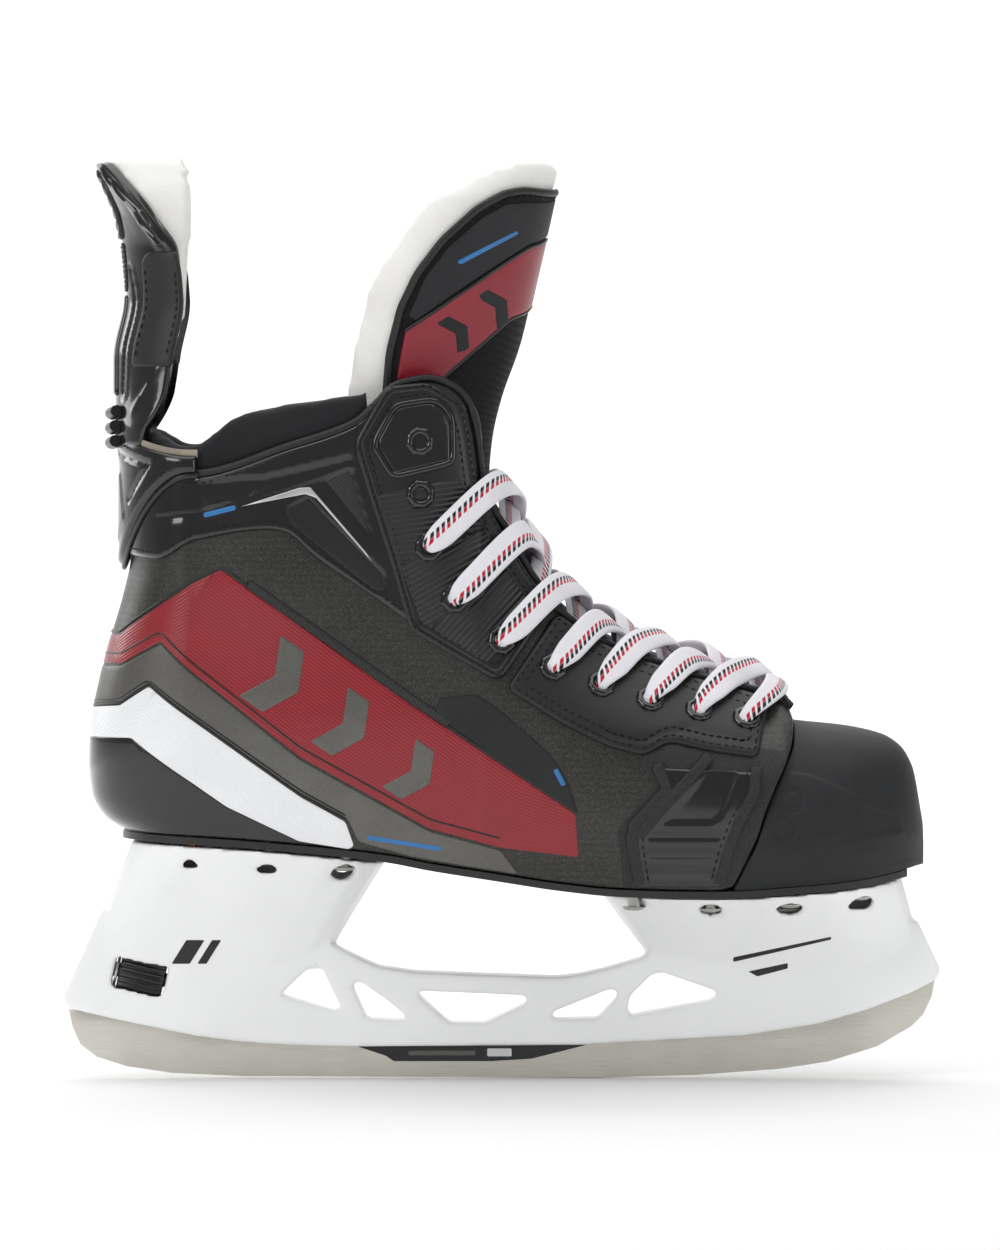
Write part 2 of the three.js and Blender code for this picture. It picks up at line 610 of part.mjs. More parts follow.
/** A point of the tongue: t counts ridge points, s runs from -1 to 1 across. */
function tonguePoint(t, s) {
  const share = THREE.MathUtils.clamp(t / (RIDGE.length - 1), 0, 1);
  const point = ridgeCurve.getPoint(share);
  const tangent = ridgeCurve.getTangent(share);
  const inward = new THREE.Vector3(-tangent.z, 0, tangent.x);
  const angle = s * WING_ANGLE;
  const across = wingSize[0](t) * gradeY * Math.sin(angle) / Math.sin(WING_ANGLE);
  const depth = wingSize[1](t) * gradeX * (1 - Math.cos(angle)) / (1 - Math.cos(WING_ANGLE));
  point.addScaledVector(inward, depth);
  point.y = across + toeSwing(point.x);
  return point;
}

function tongueGrid(rows, columns) {
  const { clamp } = THREE.MathUtils;
  const near = (a, b) => tonguePoint(clamp(a, 0, 14), b / 10);
  return rows.map((t) => columns.map((s) => ({
    point: tonguePoint(t, s),
    normal: normalAt(near, clamp(t, 0.4, 13.6), s * 10, 0.2).negate(),
  })));
}

function addTongue() {
  const felt = [-TONGUE_COVER - GAP - TONGUE_FELT, -TONGUE_COVER - GAP];
  const seam = 0.04; // half the gap at the bend, in ridge points
  const last = RIDGE.length - 1;
  const lower = range(10, 0, TONGUE_FLEX - seam);
  const upper = range(5, TONGUE_FLEX + seam, last - 0.7);
  const narrow = range(6, -0.8, 0.8);
  const wide = [-1, ...narrow, 1];
  add("tongue_lower_cover", sheet(tongueGrid(lower, narrow), -TONGUE_COVER, 0), materials.blackMatte);
  add("tongue_upper_cover", sheet(tongueGrid(upper, narrow), -TONGUE_COVER, 0), materials.blackMatte);
  add("tongue_lower_felt", sheet(tongueGrid(lower, wide), ...felt), materials.felt);
  add("tongue_upper_felt", sheet(tongueGrid([...upper, last], wide), ...felt), materials.felt);
}

// ---------------------------------------------------------------- Tendon guard
const guardBack = smoothCurve(grade([
  [-127.5, 214.5], [-127.3, 237], [-123.8, 256], [-124.6, 268], [-126.6, 282], [-130.5, 292], [-134, 299.5],
]).map(([x, z]) => [z, x]));
/** A curve over Z, from [z, value] pairs. */
const upTheGuard = (points, share) => smoothCurve(points.map(([z, v]) => [z * gradeZ, v * share]));
const guardDepth = upTheGuard([
  [214, 14], [226, 18], [243, 20], [262, 19], [272, 19], [282, 15], [292, 11], [300, 7],
], gradeX);
const guardWidth = upTheGuard([[214, 31], [240, 29], [270, 28], [290, 26], [300, 20]], gradeY);
const padRoll = upTheGuard([[240, 0], [270, 5], [290, 14], [300, 20]], gradeX);
const GUARD_ANGLE = degToRad(78);
const GUARD_FOOT = 214.5 * gradeZ;
const GUARD_TOP = 300 * gradeZ;

/** A point of the tendon guard's outside: z up, s from -1 to 1 across. */
function guardPoint(z, s) {
  const angle = s * GUARD_ANGLE;
  return new THREE.Vector3(
    guardBack(z) + guardDepth(z) * (1 - Math.cos(angle)) / (1 - Math.cos(GUARD_ANGLE)),
    guardWidth(z) * Math.sin(angle) / Math.sin(GUARD_ANGLE),
    z,
  );
}

function guardGrid(rows, columns) {
  return rows.map((z) => columns.map((s) => ({
    point: guardPoint(z, s),
    normal: normalAt((a, b) => guardPoint(a, b / 10), z, s * 10, 0.2),
  })));
}

function addTendonGuard() {
  const wing = (u) => smoothstep(u, HEEL_SEAM, -101.5 * gradeX);
  const low = (u) => lerp(168, 199, wing(u) ** 0.8) * gradeZ;
  const high = (u) => lerp(213, 205, wing(u)) * gradeZ;
  const columns = roundHeel([-99].map((x) => x * gradeX), 8);
  const base = columns.map(({ side, u }) => range(4).map(
    (s) => skinPoint(side, u, lerp(low(u), high(u), s)),
  ));
  const offset = GAP + CUFF_THICKNESS + GAP;
  add("tendon_guard_base", sheet(base, offset, offset + GUARD_WALL), materials.blackSatin);
  const rows = range(9, GUARD_FOOT, GUARD_TOP);
  const narrow = range(6, -0.8, 0.8);
  add("tendon_guard", sheet(guardGrid(rows, [-1, ...narrow, 1]), -GUARD_WALL, 0), materials.blackGloss);
  // The felt pad thickens towards the top, where it rolls forward out of the guard.
  const pad = guardGrid(rows.slice(1), narrow).map((row) => row.map(({ point, normal }) => ({
    point: point.clone().addScaledVector(normal, -GUARD_WALL - GAP),
    normal: normal.clone().multiplyScalar(-GUARD_FELT).add(new THREE.Vector3(padRoll(point.z), 0, 0)),
  })));
  add("tendon_guard_felt", sheet(pad, 0, 1), materials.felt);
}

// ---------------------------------------------------------------- Lace
/** A path that an ExtrudeGeometry follows step by step through chosen points. */
class ChosenPath extends THREE.Curve {
  constructor(points) {
    super();
    this.points = points;
  }

  getPoint(t) {
    const place = t * (this.points.length - 1);
    const i = Math.min(this.points.length - 2, Math.floor(place));
    return this.points[i].clone().lerp(this.points[i + 1], place - i);
  }

  getPointAt(t) {
    return this.getPoint(t);
  }

  getTangent(t) {
    const half = 0.5 / (this.points.length - 1);
    return this.getPoint(Math.min(1, t + half)).sub(this.getPoint(Math.max(0, t - half))).normalize();
  }

  getTangentAt(t) {
    return this.getTangent(t);
  }
}

/** How far the lace's middle runs over an eyelet, and how far under it. */
const LACE_OUT = FACING_THICKNESS + 2 * GAP + EYELET_FLANGE_THICKNESS + LACE_DIAMETER / 2 + 2 * GAP;
const LACE_IN = SHELL_WALL + 4 * GAP + EYELET_FLANGE_THICKNESS + LACE_DIAMETER / 2 + GAP;
const THROAT_WAY = [0.72, 0.7]; // from an eyelet to the throat's edge, along X and Z
const TAIL_LENGTH = 36;

/** The throat's edge beside an eyelet, with the direction that leads there from the eyelet. */
function throatEdge(name, i) {
  const [x, z] = EYELETS[i];
  const [aheadX, aheadZ] = THROAT_WAY;
  const reach = range(60, 0, 30).findLast((d) => z + aheadZ * d <= topLine(x + aheadX * d));
  const edge = skinPoint(SIDES[name], x + aheadX * reach, z + aheadZ * reach);
  const ahead = edge.point.clone().sub(eyeletSeats[name][i].point).normalize();
  return { ...edge, ahead };
}

/**
 * The lace from an eyelet to the next one opposite.
 * It passes under the facing's edge and over the tongue, and goes in from outside.
 */
function crossing(from, to, name, other, lift) {
  const start = eyeletSeats[name][from];
  const end = eyeletSeats[other][to];
  const [near, far] = [throatEdge(name, from), throatEdge(other, to)];
  const off = ({ point, normal }, distance) => point.clone().addScaledVector(normal, distance);
  const under = off(near, -LACE_IN).addScaledVector(near.ahead, -1);
  const over = off(far, LACE_OUT).addScaledVector(far.ahead, LACE_DIAMETER);
  const clear = EYELET_FLANGE * 0.6;
  const beside = skinPoint(SIDES[other], ...EYELETS[to].map((v, k) => v + THROAT_WAY[k] * clear));
  const middle = under.clone().lerp(over, 0.5).add(new THREE.Vector3(0.6, 0, 0.8).multiplyScalar(lift));
  return [
    start.point.clone().addScaledVector(start.normal, -LACE_IN),
    under,
    middle,
    over,
    beside.point.addScaledVector(beside.normal, LACE_OUT),
    end.point.clone().addScaledVector(end.normal, LACE_OUT),
  ];
}

/** One long path: a bar across the front pair, then both ends criss-cross up to the top laced pair. */
function lacePath() {
  const last = EYELETS.length - 1;
  const strand = (name, other, lift) => {
    const points = [];
    let [here, there] = [name, other];
    for (let i = last; i > LACED_FROM; i--) {
      points.push(...crossing(i, i - 1, here, there, lift));
      [here, there] = [there, here];
    }
    const { point, normal } = eyeletSeats[here][LACED_FROM];
    const inside = point.clone().addScaledVector(normal, -LACE_IN);
    const tail = inside.clone().add(new THREE.Vector3(-7, 0, -4));
    return [...points, inside, tail, tail.clone().add(new THREE.Vector3(-8, 0, -TAIL_LENGTH))];
  };
  const bar = (name) => {
    const { point, normal } = eyeletSeats[name][last];
    const edge = throatEdge(name, last);
    return [
      point.clone().addScaledVector(normal, LACE_OUT),
      edge.point.clone().addScaledVector(edge.normal, LACE_OUT),
    ];
  };
  return [
    ...strand("lateral", "medial", 4.6).reverse(), ...bar("lateral"), ...bar("medial").reverse(),
    ...strand("medial", "lateral", 8.4),
  ];
}

function addLace() {
  const path = lacePath();
  const circle = new THREE.Shape().absarc(0, 0, LACE_DIAMETER / 2, 0, 2 * Math.PI);
  const section = new THREE.Shape(circle.getSpacedPoints(6).slice(0, -1));
  const tube = new THREE.ExtrudeGeometry(section, {
    extrudePath: new ChosenPath(path), steps: path.length - 1, bevelEnabled: false,
  });
  add("lace", tube, materials.lace);
}

// ---------------------------------------------------------------- Holder
const HOLDER_LOW = grade([
  [-143.5, 23.4], [-124, 18.9], [-101, 14.2], [-85.6, 12.2], [-70, 11.2], [-48, 10.7], [25, 11.4],
  [49, 12.6], [80, 14.4], [104, 18.2], [120, 22.8], [135, 28.6], [143.2, 33],
]);
const HOLDER_HIGH = grade([
  [144.5, 36], [137, 52], [110, 56], [60, 54], [46.3, 40], [34, 36.4], [25.8, 34.5], [18, 33.6], [-6, 34.4],
  [-29, 35.4], [-41, 37.2], [-50, 41.3], [-57, 45], [-66, 56], [-132, 56], [-144.8, 27.3],
]);
const TRUSS_WINDOWS = [
  [[-73.4, 27.6], [-63.9, 36.6], [-61.3, 37.6], [-59.4, 36.6], [-53, 23], [-55.4, 22.6]],
  [[-49.5, 31], [-47.9, 32.4], [-45.7, 31.5], [-37.2, 25.4], [-31.4, 20.6], [-32.8, 19.4], [-44.6, 19.8]],
  [[-28.3, 28.2], [-26.8, 29.1], [8, 27.6], [8.3, 25], [-5.7, 18.6], [-17.4, 18.6]],
  [[16.1, 22], [36, 29.9], [38.2, 28.8], [37.7, 26.6], [31.5, 20], [16.4, 19.6]],
  [[41.4, 24.4], [42.2, 27.6], [49, 34.3], [52.5, 35.3], [70, 29.2], [71, 27.6], [69.4, 26], [41.8, 20.7]],
].map(grade);
const SOLE_SEAT = OUTSOLE_THICKNESS + 2 * GAP; // how far the holder's flanges lie under the sole line

/** One level of a pedestal, k = 0 at the keel and 1 at the flange. */
function pedestalRing(end, k, inset, lift = 0) {
  const rear = lerp(end.low[0], end.high[0], k) + inset;
  const front = lerp(end.low[1], end.high[1], k) - inset;
  const width = lerp(HOLDER_KEEL / 2, end.width / 2 * gradeY, k ** 1.35) - inset;
  const [middle, half] = [(rear + front) / 2, (front - rear) / 2];
  return range(16, 0, 2 * Math.PI).slice(0, -1).map((angle) => {
    const power = 2 / end.squareness;
    const x = middle + half * Math.sign(Math.cos(angle)) * Math.abs(Math.cos(angle)) ** power;
    const y = Math.max(0.6, width) * Math.sign(Math.sin(angle)) * Math.abs(Math.sin(angle)) ** power;
    const z = lerp(end.foot, soleLine(x) - SOLE_SEAT, k);
    return new THREE.Vector3(x, y, z + lift);
  });
}

const HEEL_END = {
  low: [-139 * gradeX, -60 * gradeX], high: [-122 * gradeX, -38 * gradeX], foot: 36 * gradeZ,
  width: HEEL_FLANGE_WIDTH, squareness: 3.4,
};
const TOE_END = {
  low: [50 * gradeX, 139.5 * gradeX], high: [32 * gradeX, 131.5 * gradeX], foot: 38 * gradeZ,
  width: TOE_FLANGE_WIDTH, squareness: 3,
};

/** A pedestal: flared walls, hollow inside, under a flange with an opening in its middle. */
function pedestal(end) {
  const flangeShare = 1 - FLANGE_THICKNESS / (soleLine(end.high[0]) - end.foot);
  const outer = loft([0, 0.3, 0.55, 0.8, flangeShare, 1].map((k) => pedestalRing(end, k, 0)));
  const cavity = loft([0.42, 0.7, flangeShare].map((k) => pedestalRing(end, k, HOLDER_WALL)));
  const well = loft([flangeShare - 0.02, 1.05].map((k) => pedestalRing(end, k, end.width / 3)));
  return solidOf(outer).subtract(solidOf(cavity)).subtract(solidOf(well));
}

// The lock: a thumb dial on a threaded bolt, whose cross pin hooks into the runner's rear tab.
const LOCK_TILT = degToRad(DIAL_TILT);
const LOCK_AXIS = new THREE.Vector3(Math.cos(LOCK_TILT), 0, -Math.sin(LOCK_TILT));
const DIAL_CENTRE = new THREE.Vector3(-119 * gradeX, 0, 34 * gradeZ);
const alongLock = (distance) => DIAL_CENTRE.clone().addScaledVector(LOCK_AXIS, distance);
const PIN_AT = 20.5 * gradeX; // from the dial's middle to the cross pin
const FORK_CHEEK = 1.8;
const FORK_WIDTH = RUNNER_THICKNESS + 4 * GAP + 2 * FORK_CHEEK;
const FORK_REAR = -12; // the fork's ends, from the pin
const FORK_FRONT = 4;
const FORK_SLOT = -9.6;

// The runner turns about its front end as it comes out.
const runnerTop = (depth) => HOLDER_LOW.map(([x, z]) => [x, z + depth]);
const REAR_TAB_LENGTH = 17 * gradeX;
const FRONT_TAB = { rear: 112 * gradeX, front: 125 * gradeX, top: 45 * gradeZ };
const PIN_CENTRE = alongLock(PIN_AT);
const REAR_TAB_TOP = PIN_CENTRE.z + 4.6;
const HOOK = 2.6; // thickness of the rear tab behind its notch
const NOTCH = {
  rear: PIN_CENTRE.x - CROSS_PIN / 2 - 3 * GAP,
  front: PIN_CENTRE.x + CROSS_PIN / 2 + BOLT_TRAVEL * Math.cos(LOCK_TILT) + 2 * GAP,
  floor: PIN_CENTRE.z - CROSS_PIN / 2 - BOLT_TRAVEL * Math.sin(LOCK_TILT) - 2 * GAP,
};
const REAR_TAB = { rear: NOTCH.rear - HOOK, front: NOTCH.rear - HOOK + REAR_TAB_LENGTH };

const box = (x0, x1, width, z0, z1) => new THREE.BoxGeometry(x1 - x0, width, z1 - z0)
  .translate((x0 + x1) / 2, 0, (z0 + z1) / 2);

function runnerOutline() {
  const low = grade([
    [142.8, 32.4], [141.8, 27], [139, 21], [135, 17], [123.7, 10.4], [107.7, 5.4], [92, 3],
    [64.5, 1], [30, 0], [-40, 0], [-86, 0.6], [-109, 1.6], [-124, 3.8], [-134, 7],
    [-139.3, 11], [-142, 17], [-143.2, 22.6],
  ]);
  const top = runnerTop(GROOVE_DEPTH - GAP).slice(1, -1);
  return [...low, [-139 * gradeX, top[0][1] - 1.5], ...top, [139.5 * gradeX, 35.2 * gradeZ]];
}

function addRunner() {
  const rearTab = box(REAR_TAB.rear, REAR_TAB.front, RUNNER_THICKNESS, 12 * gradeZ, REAR_TAB_TOP);
  const notch = box(NOTCH.rear, NOTCH.front, 4 * RUNNER_THICKNESS, NOTCH.floor, REAR_TAB_TOP + 5);
  const frontTab = box(FRONT_TAB.rear, FRONT_TAB.front, RUNNER_THICKNESS, 18 * gradeZ, FRONT_TAB.top);
  const blade = solidOf(sidePrism(runnerOutline(), RUNNER_THICKNESS)).add(solidOf(frontTab));
  add("runner", cut(blade.add(solidOf(rearTab)), [notch]), materials.steel);
}

function addHolder() {
  const keel = solidOf(sidePrism([...HOLDER_LOW, ...HOLDER_HIGH], HOLDER_KEEL, TRUSS_WINDOWS));
  const slotWidth = RUNNER_THICKNESS + 2 * GAP;
  const groove = [...runnerTop(-6), ...runnerTop(GROOVE_DEPTH).reverse()];
  groove[0] = [-150 * gradeX, groove[0][1]];
  groove[groove.length - 1] = [-150 * gradeX, groove[groove.length - 1][1]];
  const swing = 2.6; // room behind each tab as the runner swings down
  const pockets = [
    box(REAR_TAB.rear - 2 * GAP, REAR_TAB.front + swing, slotWidth, 8 * gradeZ, REAR_TAB_TOP + 2 * GAP),
    box(FRONT_TAB.rear - swing, FRONT_TAB.front + 2 * GAP, slotWidth, 14 * gradeZ, FRONT_TAB.top + 2 * GAP),
  ];
  const dialRoom = rod(
    alongLock(-DIAL_LENGTH / 2 - 2 * GAP - 1.2),
    alongLock(DIAL_LENGTH / 2 + 2 * GAP),
    DIAL_DIAMETER / 2 + 2 * GAP,
    16,
  );
  const boltRoom = rod(alongLock(-DIAL_LENGTH / 2 - 6), alongLock(PIN_AT), BOLT_DIAMETER / 2 + GAP, 12);
  const forkRoom = box(FORK_REAR - GAP, FORK_FRONT + BOLT_TRAVEL + GAP, FORK_WIDTH + 2 * GAP, -4.2, 4.2);
  forkRoom.rotateY(LOCK_TILT).translate(PIN_CENTRE.x, 0, PIN_CENTRE.z);
  const rivetTools = rivetSeats().flatMap(({ x, y }) => {
    const underFlange = soleLine(x) - SOLE_SEAT - FLANGE_THICKNESS;
    const at = (rise) => new THREE.Vector3(x, y, underFlange + rise);
    return [
      rod(at(-RIVET_POCKET), at(0), RIVET_HEAD / 2 + 2 * GAP, 8),
      rod(at(-1), at(8), RIVET_SHANK / 2 + 2 * GAP, 8),
    ];
  });
  const body = keel.add(pedestal(HEEL_END)).add(pedestal(TOE_END));
  const soleRoom = solePlate(SOLE_STATIONS.map((x) => x * gradeX), () => WIDTH, -SOLE_SEAT, 40);
  const lockRooms = [dialRoom, boltRoom, forkRoom];
  const tools = [soleRoom, sidePrism(groove, slotWidth), ...pockets, ...lockRooms, ...rivetTools];
  add("holder", cut(body, tools), materials.holder);
}

function addRivets() {
  const [head, shank] = [RIVET_HEAD / 2, RIVET_SHANK / 2];
  for (const { name, x, y, end, first } of rivetSeats()) {
    const under = soleLine(x) - SOLE_SEAT - FLANGE_THICKNESS - GAP;
    const through = FLANGE_THICKNESS + OUTSOLE_THICKNESS + 4 * GAP;
    const profile = [
      [0, -RIVET_HEAD_THICKNESS], [head * 0.6, -RIVET_HEAD_THICKNESS], [head, -0.3], [head, 0],
      [shank, 0], [shank, through + GAP], [shank + 1, through + GAP],
      [shank + 0.6, through + 0.9], [0, through + 0.9],
    ];
    const metal = end === "heel" && first ? materials.copper : materials.steel;
    add(name, turned(profile, new THREE.Vector3(x, y, under), new THREE.Vector3(0, 0, 1), 8), metal);
  }
}

function addLock() {
  const ribs = 14;
  const outline = new THREE.Shape(range(2 * ribs, 0, 2 * Math.PI).slice(0, -1).map((angle, i) => {
    const radius = DIAL_DIAMETER / 2 - (i % 2 ? 0.8 : 0);
    return new THREE.Vector2(radius * Math.cos(angle), radius * Math.sin(angle));
  }));
  outline.holes = [new THREE.Path().absarc(0, 0, BOLT_DIAMETER / 2 + GAP, 0, 2 * Math.PI, true)];
  const toLock = (geometry, distance) => geometry
    .applyQuaternion(new THREE.Quaternion().setFromUnitVectors(new THREE.Vector3(0, 0, 1), LOCK_AXIS))
    .translate(...alongLock(distance).toArray());
  const grip = { depth: DIAL_LENGTH, bevelEnabled: false, curveSegments: 6 };
  const dial = new THREE.ExtrudeGeometry(outline, grip);
  add("lock_dial", toLock(dial, -DIAL_LENGTH / 2), materials.blackSatin);

  const washer = new THREE.Shape().absarc(0, 0, DIAL_DIAMETER / 2 - 2, 0, 2 * Math.PI);
  washer.holes = [new THREE.Path().absarc(0, 0, BOLT_DIAMETER / 2 + GAP, 0, 2 * Math.PI, true)];
  const ring = new THREE.ExtrudeGeometry(washer, { depth: 0.8, bevelEnabled: false, curveSegments: 8 });
  add("lock_washer", toLock(ring, -DIAL_LENGTH / 2 - 1.3), materials.steel);

  const [rear, front] = [-DIAL_LENGTH / 2 - 3, PIN_AT + FORK_REAR + 1];
  const shank = rod(alongLock(rear), alongLock(front), BOLT_DIAMETER / 2, 12);
  const fork = box(FORK_REAR, FORK_FRONT, FORK_WIDTH, -3.4, 3.4);
  fork.rotateY(LOCK_TILT).translate(PIN_CENTRE.x, 0, PIN_CENTRE.z);
  const slot = box(FORK_SLOT, 9, RUNNER_THICKNESS + 4 * GAP, -6, 6);
  slot.rotateY(LOCK_TILT).translate(PIN_CENTRE.x, 0, PIN_CENTRE.z);
  const half = new THREE.Vector3(0, FORK_WIDTH / 2 - 0.2, 0);
  const pin = rod(PIN_CENTRE.clone().sub(half), PIN_CENTRE.clone().add(half), CROSS_PIN / 2, 10);
  const bolt = solidOf(shank).add(solidOf(fork)).subtract(solidOf(slot)).add(solidOf(pin));
  add("lock_bolt", bolt, materials.steel);
}

addBoot();
addEyelets();
addToeCap();
addSole();
addTongue();
addTendonGuard();
addLace();
addHolder();
addRivets();
addRunner();
addLock();

export default skate;
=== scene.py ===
import json
import logging
import math
from dataclasses import dataclass, field
from enum import Enum
from functools import lru_cache
from typing import Callable, Iterable, Sequence

import bmesh
import bpy
import numpy as np
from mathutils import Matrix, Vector, geometry
from mathutils.bvhtree import BVHTree

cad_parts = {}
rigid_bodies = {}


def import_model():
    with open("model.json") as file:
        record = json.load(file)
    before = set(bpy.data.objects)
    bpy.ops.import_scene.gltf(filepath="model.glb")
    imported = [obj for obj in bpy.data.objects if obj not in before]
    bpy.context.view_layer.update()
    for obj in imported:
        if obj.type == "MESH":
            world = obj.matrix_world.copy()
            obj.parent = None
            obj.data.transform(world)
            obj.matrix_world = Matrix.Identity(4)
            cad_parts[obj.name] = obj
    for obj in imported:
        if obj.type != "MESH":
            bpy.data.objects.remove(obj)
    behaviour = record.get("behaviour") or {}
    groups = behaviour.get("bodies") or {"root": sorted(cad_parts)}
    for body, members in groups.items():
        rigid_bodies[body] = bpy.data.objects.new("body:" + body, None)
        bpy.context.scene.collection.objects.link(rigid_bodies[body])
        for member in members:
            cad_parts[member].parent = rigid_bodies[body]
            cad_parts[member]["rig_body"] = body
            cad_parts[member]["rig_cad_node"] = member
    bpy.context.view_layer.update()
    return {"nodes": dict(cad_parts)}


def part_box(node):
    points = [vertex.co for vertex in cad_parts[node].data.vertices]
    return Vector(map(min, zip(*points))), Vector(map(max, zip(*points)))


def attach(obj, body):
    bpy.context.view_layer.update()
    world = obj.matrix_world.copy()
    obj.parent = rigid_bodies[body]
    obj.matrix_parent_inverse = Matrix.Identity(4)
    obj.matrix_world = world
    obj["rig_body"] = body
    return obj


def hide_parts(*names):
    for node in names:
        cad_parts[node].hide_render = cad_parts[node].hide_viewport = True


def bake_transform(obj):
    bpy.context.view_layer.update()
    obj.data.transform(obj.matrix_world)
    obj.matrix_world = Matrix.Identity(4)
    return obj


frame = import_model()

log = logging.getLogger("skate")
Outline = Sequence[tuple[float, float]]
Height = Callable[[np.ndarray, np.ndarray], np.ndarray]

MM = 0.001
SKIN_UV = "skin_uv"
UV_PER_MM = 0.01  # one UV unit is 100 mm


class Side(Enum):
    """The two sides of the boot, as the sign of Y."""

    LATERAL = -1.0
    MEDIAL = 1.0


def graded_scale() -> np.ndarray:
    """Metres in the frame for each millimetre of the base pattern, along X, Y and Z.

    Returns:
        Three factors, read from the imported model's own boxes.
    """
    holder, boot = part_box("holder"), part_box("boot_shell")
    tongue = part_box("tongue_upper_felt")
    base = np.array([289.3, 107.1, 301.4])
    real = np.array([holder[1].x - holder[0].x, boot[1].y - boot[0].y, tongue[1].z])
    return real / base


SCALE = graded_scale()


# ------------------------------------------------------------------ Curves and outlines
class SmoothCurve:
    """A curve y(x) through a few points, smooth and with no overshoot between them."""

    def __init__(self, points: Outline) -> None:
        """Fits the curve.

        Args:
            points: (x, y) pairs with rising x.
        """
        self.x, self.y = np.array(points, float).T
        slope = np.diff(self.y) / np.diff(self.x)
        product = slope[:-1] * slope[1:]
        total = np.where(product > 0, slope[:-1] + slope[1:], 1.0)
        inner = np.where(product > 0, 2 * product / total, 0.0)
        self.tangent = np.concatenate(([slope[0]], inner, [slope[-1]]))

    def __call__(self, at: np.ndarray | float) -> np.ndarray:
        """The curve's height, held level beyond its ends.

        Args:
            at: where to read the curve.

        Returns:
            The heights, in the shape of `at`.
        """
        at = np.clip(at, self.x[0], self.x[-1])
        i = np.clip(np.searchsorted(self.x, at, side="right") - 1, 0, len(self.x) - 2)
        width = self.x[i + 1] - self.x[i]
        t = (at - self.x[i]) / width
        rise, fall = self.tangent[i] * width, self.tangent[i + 1] * width
        return (
            (2 * t**3 - 3 * t**2 + 1) * self.y[i]
            + (t**3 - 2 * t**2 + t) * rise
            + (3 * t**2 - 2 * t**3) * self.y[i + 1]
            + (t**3 - t**2) * fall
        )


def lerp(a: float, b: float, t: np.ndarray | float) -> np.ndarray | float:
    """The value at share t of the way from a to b."""
    return a + (b - a) * t


def smoothstep(x: np.ndarray | float, low: float, high: float) -> np.ndarray:
    """0 below low and 1 above high, with a smooth rise between them."""
    t = np.clip((np.asarray(x, float) - low) / (high - low), 0, 1)
    return t * t * (3 - 2 * t)


def segment_distance(a: np.ndarray, b: np.ndarray, line: Outline, closed: bool = False) -> np.ndarray:
    """Distance from points to a polyline.

    Args:
        a: first coordinates.
        b: second coordinates.
        line: the polyline's points.
        closed: whether its end joins its start.

    Returns:
        The shortest distance for each point.
    """
    knots = np.array(line, float)
    ends = np.roll(knots, -1, axis=0) if closed else knots[1:]
    starts = knots if closed else knots[:-1]
    best = np.full(np.shape(a), np.inf)
    for start, end in zip(starts, ends):
        run = end - start
        length = max(float(run @ run), 1e-12)
        t = np.clip(((a - start[0]) * run[0] + (b - start[1]) * run[1]) / length, 0, 1)
        best = np.minimum(best, np.hypot(a - start[0] - t * run[0], b - start[1] - t * run[1]))
    return best


def inside(a: np.ndarray, b: np.ndarray, outline: Outline) -> np.ndarray:
    """Which points lie inside a closed outline.

    Args:
        a: first coordinates.
        b: second coordinates.
        outline: the outline's corners.

    Returns:
        A mask in the shape of `a`.
    """
    knots = np.array(outline, float)
    found = np.zeros(np.shape(a), bool)
    for (x0, y0), (x1, y1) in zip(knots, np.roll(knots, -1, axis=0)):
        if y0 == y1:
            continue
        crossing = (b > min(y0, y1)) & (b <= max(y0, y1))
        found ^= crossing & (a < x0 + (b - y0) * (x1 - x0) / (y1 - y0))
    return found


def signed_distance(a: np.ndarray, b: np.ndarray, outline: Outline) -> np.ndarray:
    """Distance to a closed outline, positive inside it."""
    gap = segment_distance(a, b, outline, closed=True)
    return np.where(inside(a, b, outline), gap, -gap)


def rounded(outline: Outline, radius: float) -> list[tuple[float, float]]:
    """An outline with its corners rounded.

    Args:
        outline: the corners.
        radius: how far along each edge the rounding starts.

    Returns:
        The denser outline.
    """
    knots = np.array(outline, float)
    made: list[tuple[float, float]] = []
    for i, here in enumerate(knots):
        before, after = knots[i - 1], knots[(i + 1) % len(knots)]
        back, ahead = before - here, after - here
        reach = min(radius, 0.45 * np.linalg.norm(back), 0.45 * np.linalg.norm(ahead))
        start = here + back / np.linalg.norm(back) * reach
        end = here + ahead / np.linalg.norm(ahead) * reach
        for t in (0, 0.25, 0.5, 0.75, 1):
            point = (1 - t) ** 2 * start + 2 * t * (1 - t) * here + t**2 * end
            made.append((float(point[0]), float(point[1])))
    return made


def resampled(line: Outline, spacing: float, closed: bool = False) -> np.ndarray:
    """A polyline with points about one spacing apart, its corners kept.

    Args:
        line: the polyline's points.
        spacing: the wanted gap.
        closed: whether its end joins its start.

    Returns:
        The points, one per row.
    """
    knots = np.array(line, float)
    if closed:
        knots = np.vstack([knots, knots[:1]])
    made = []
    for start, end in zip(knots[:-1], knots[1:]):
        steps = max(1, int(round(np.linalg.norm(end - start) / spacing)))
        made.extend(start + (end - start) * k / steps for k in range(steps))
    if not closed:
        made.append(knots[-1])
    return np.array(made)


def evenly(line: np.ndarray, spacing: float) -> np.ndarray:
    """Points at even steps along a polyline in the plane or in space.

    Args:
        line: the points of the polyline, one per row.
        spacing: the widest step.

    Returns:
        The new points, one per row.
    """
    steps = np.linalg.norm(np.diff(line, axis=0), axis=1)
    travel = np.concatenate(([0], np.cumsum(steps)))
    count = max(2, int(travel[-1] / spacing) + 1)
    at = np.linspace(0, travel[-1], count)
    return np.stack([np.interp(at, travel, line[:, k]) for k in range(line.shape[1])], axis=1)


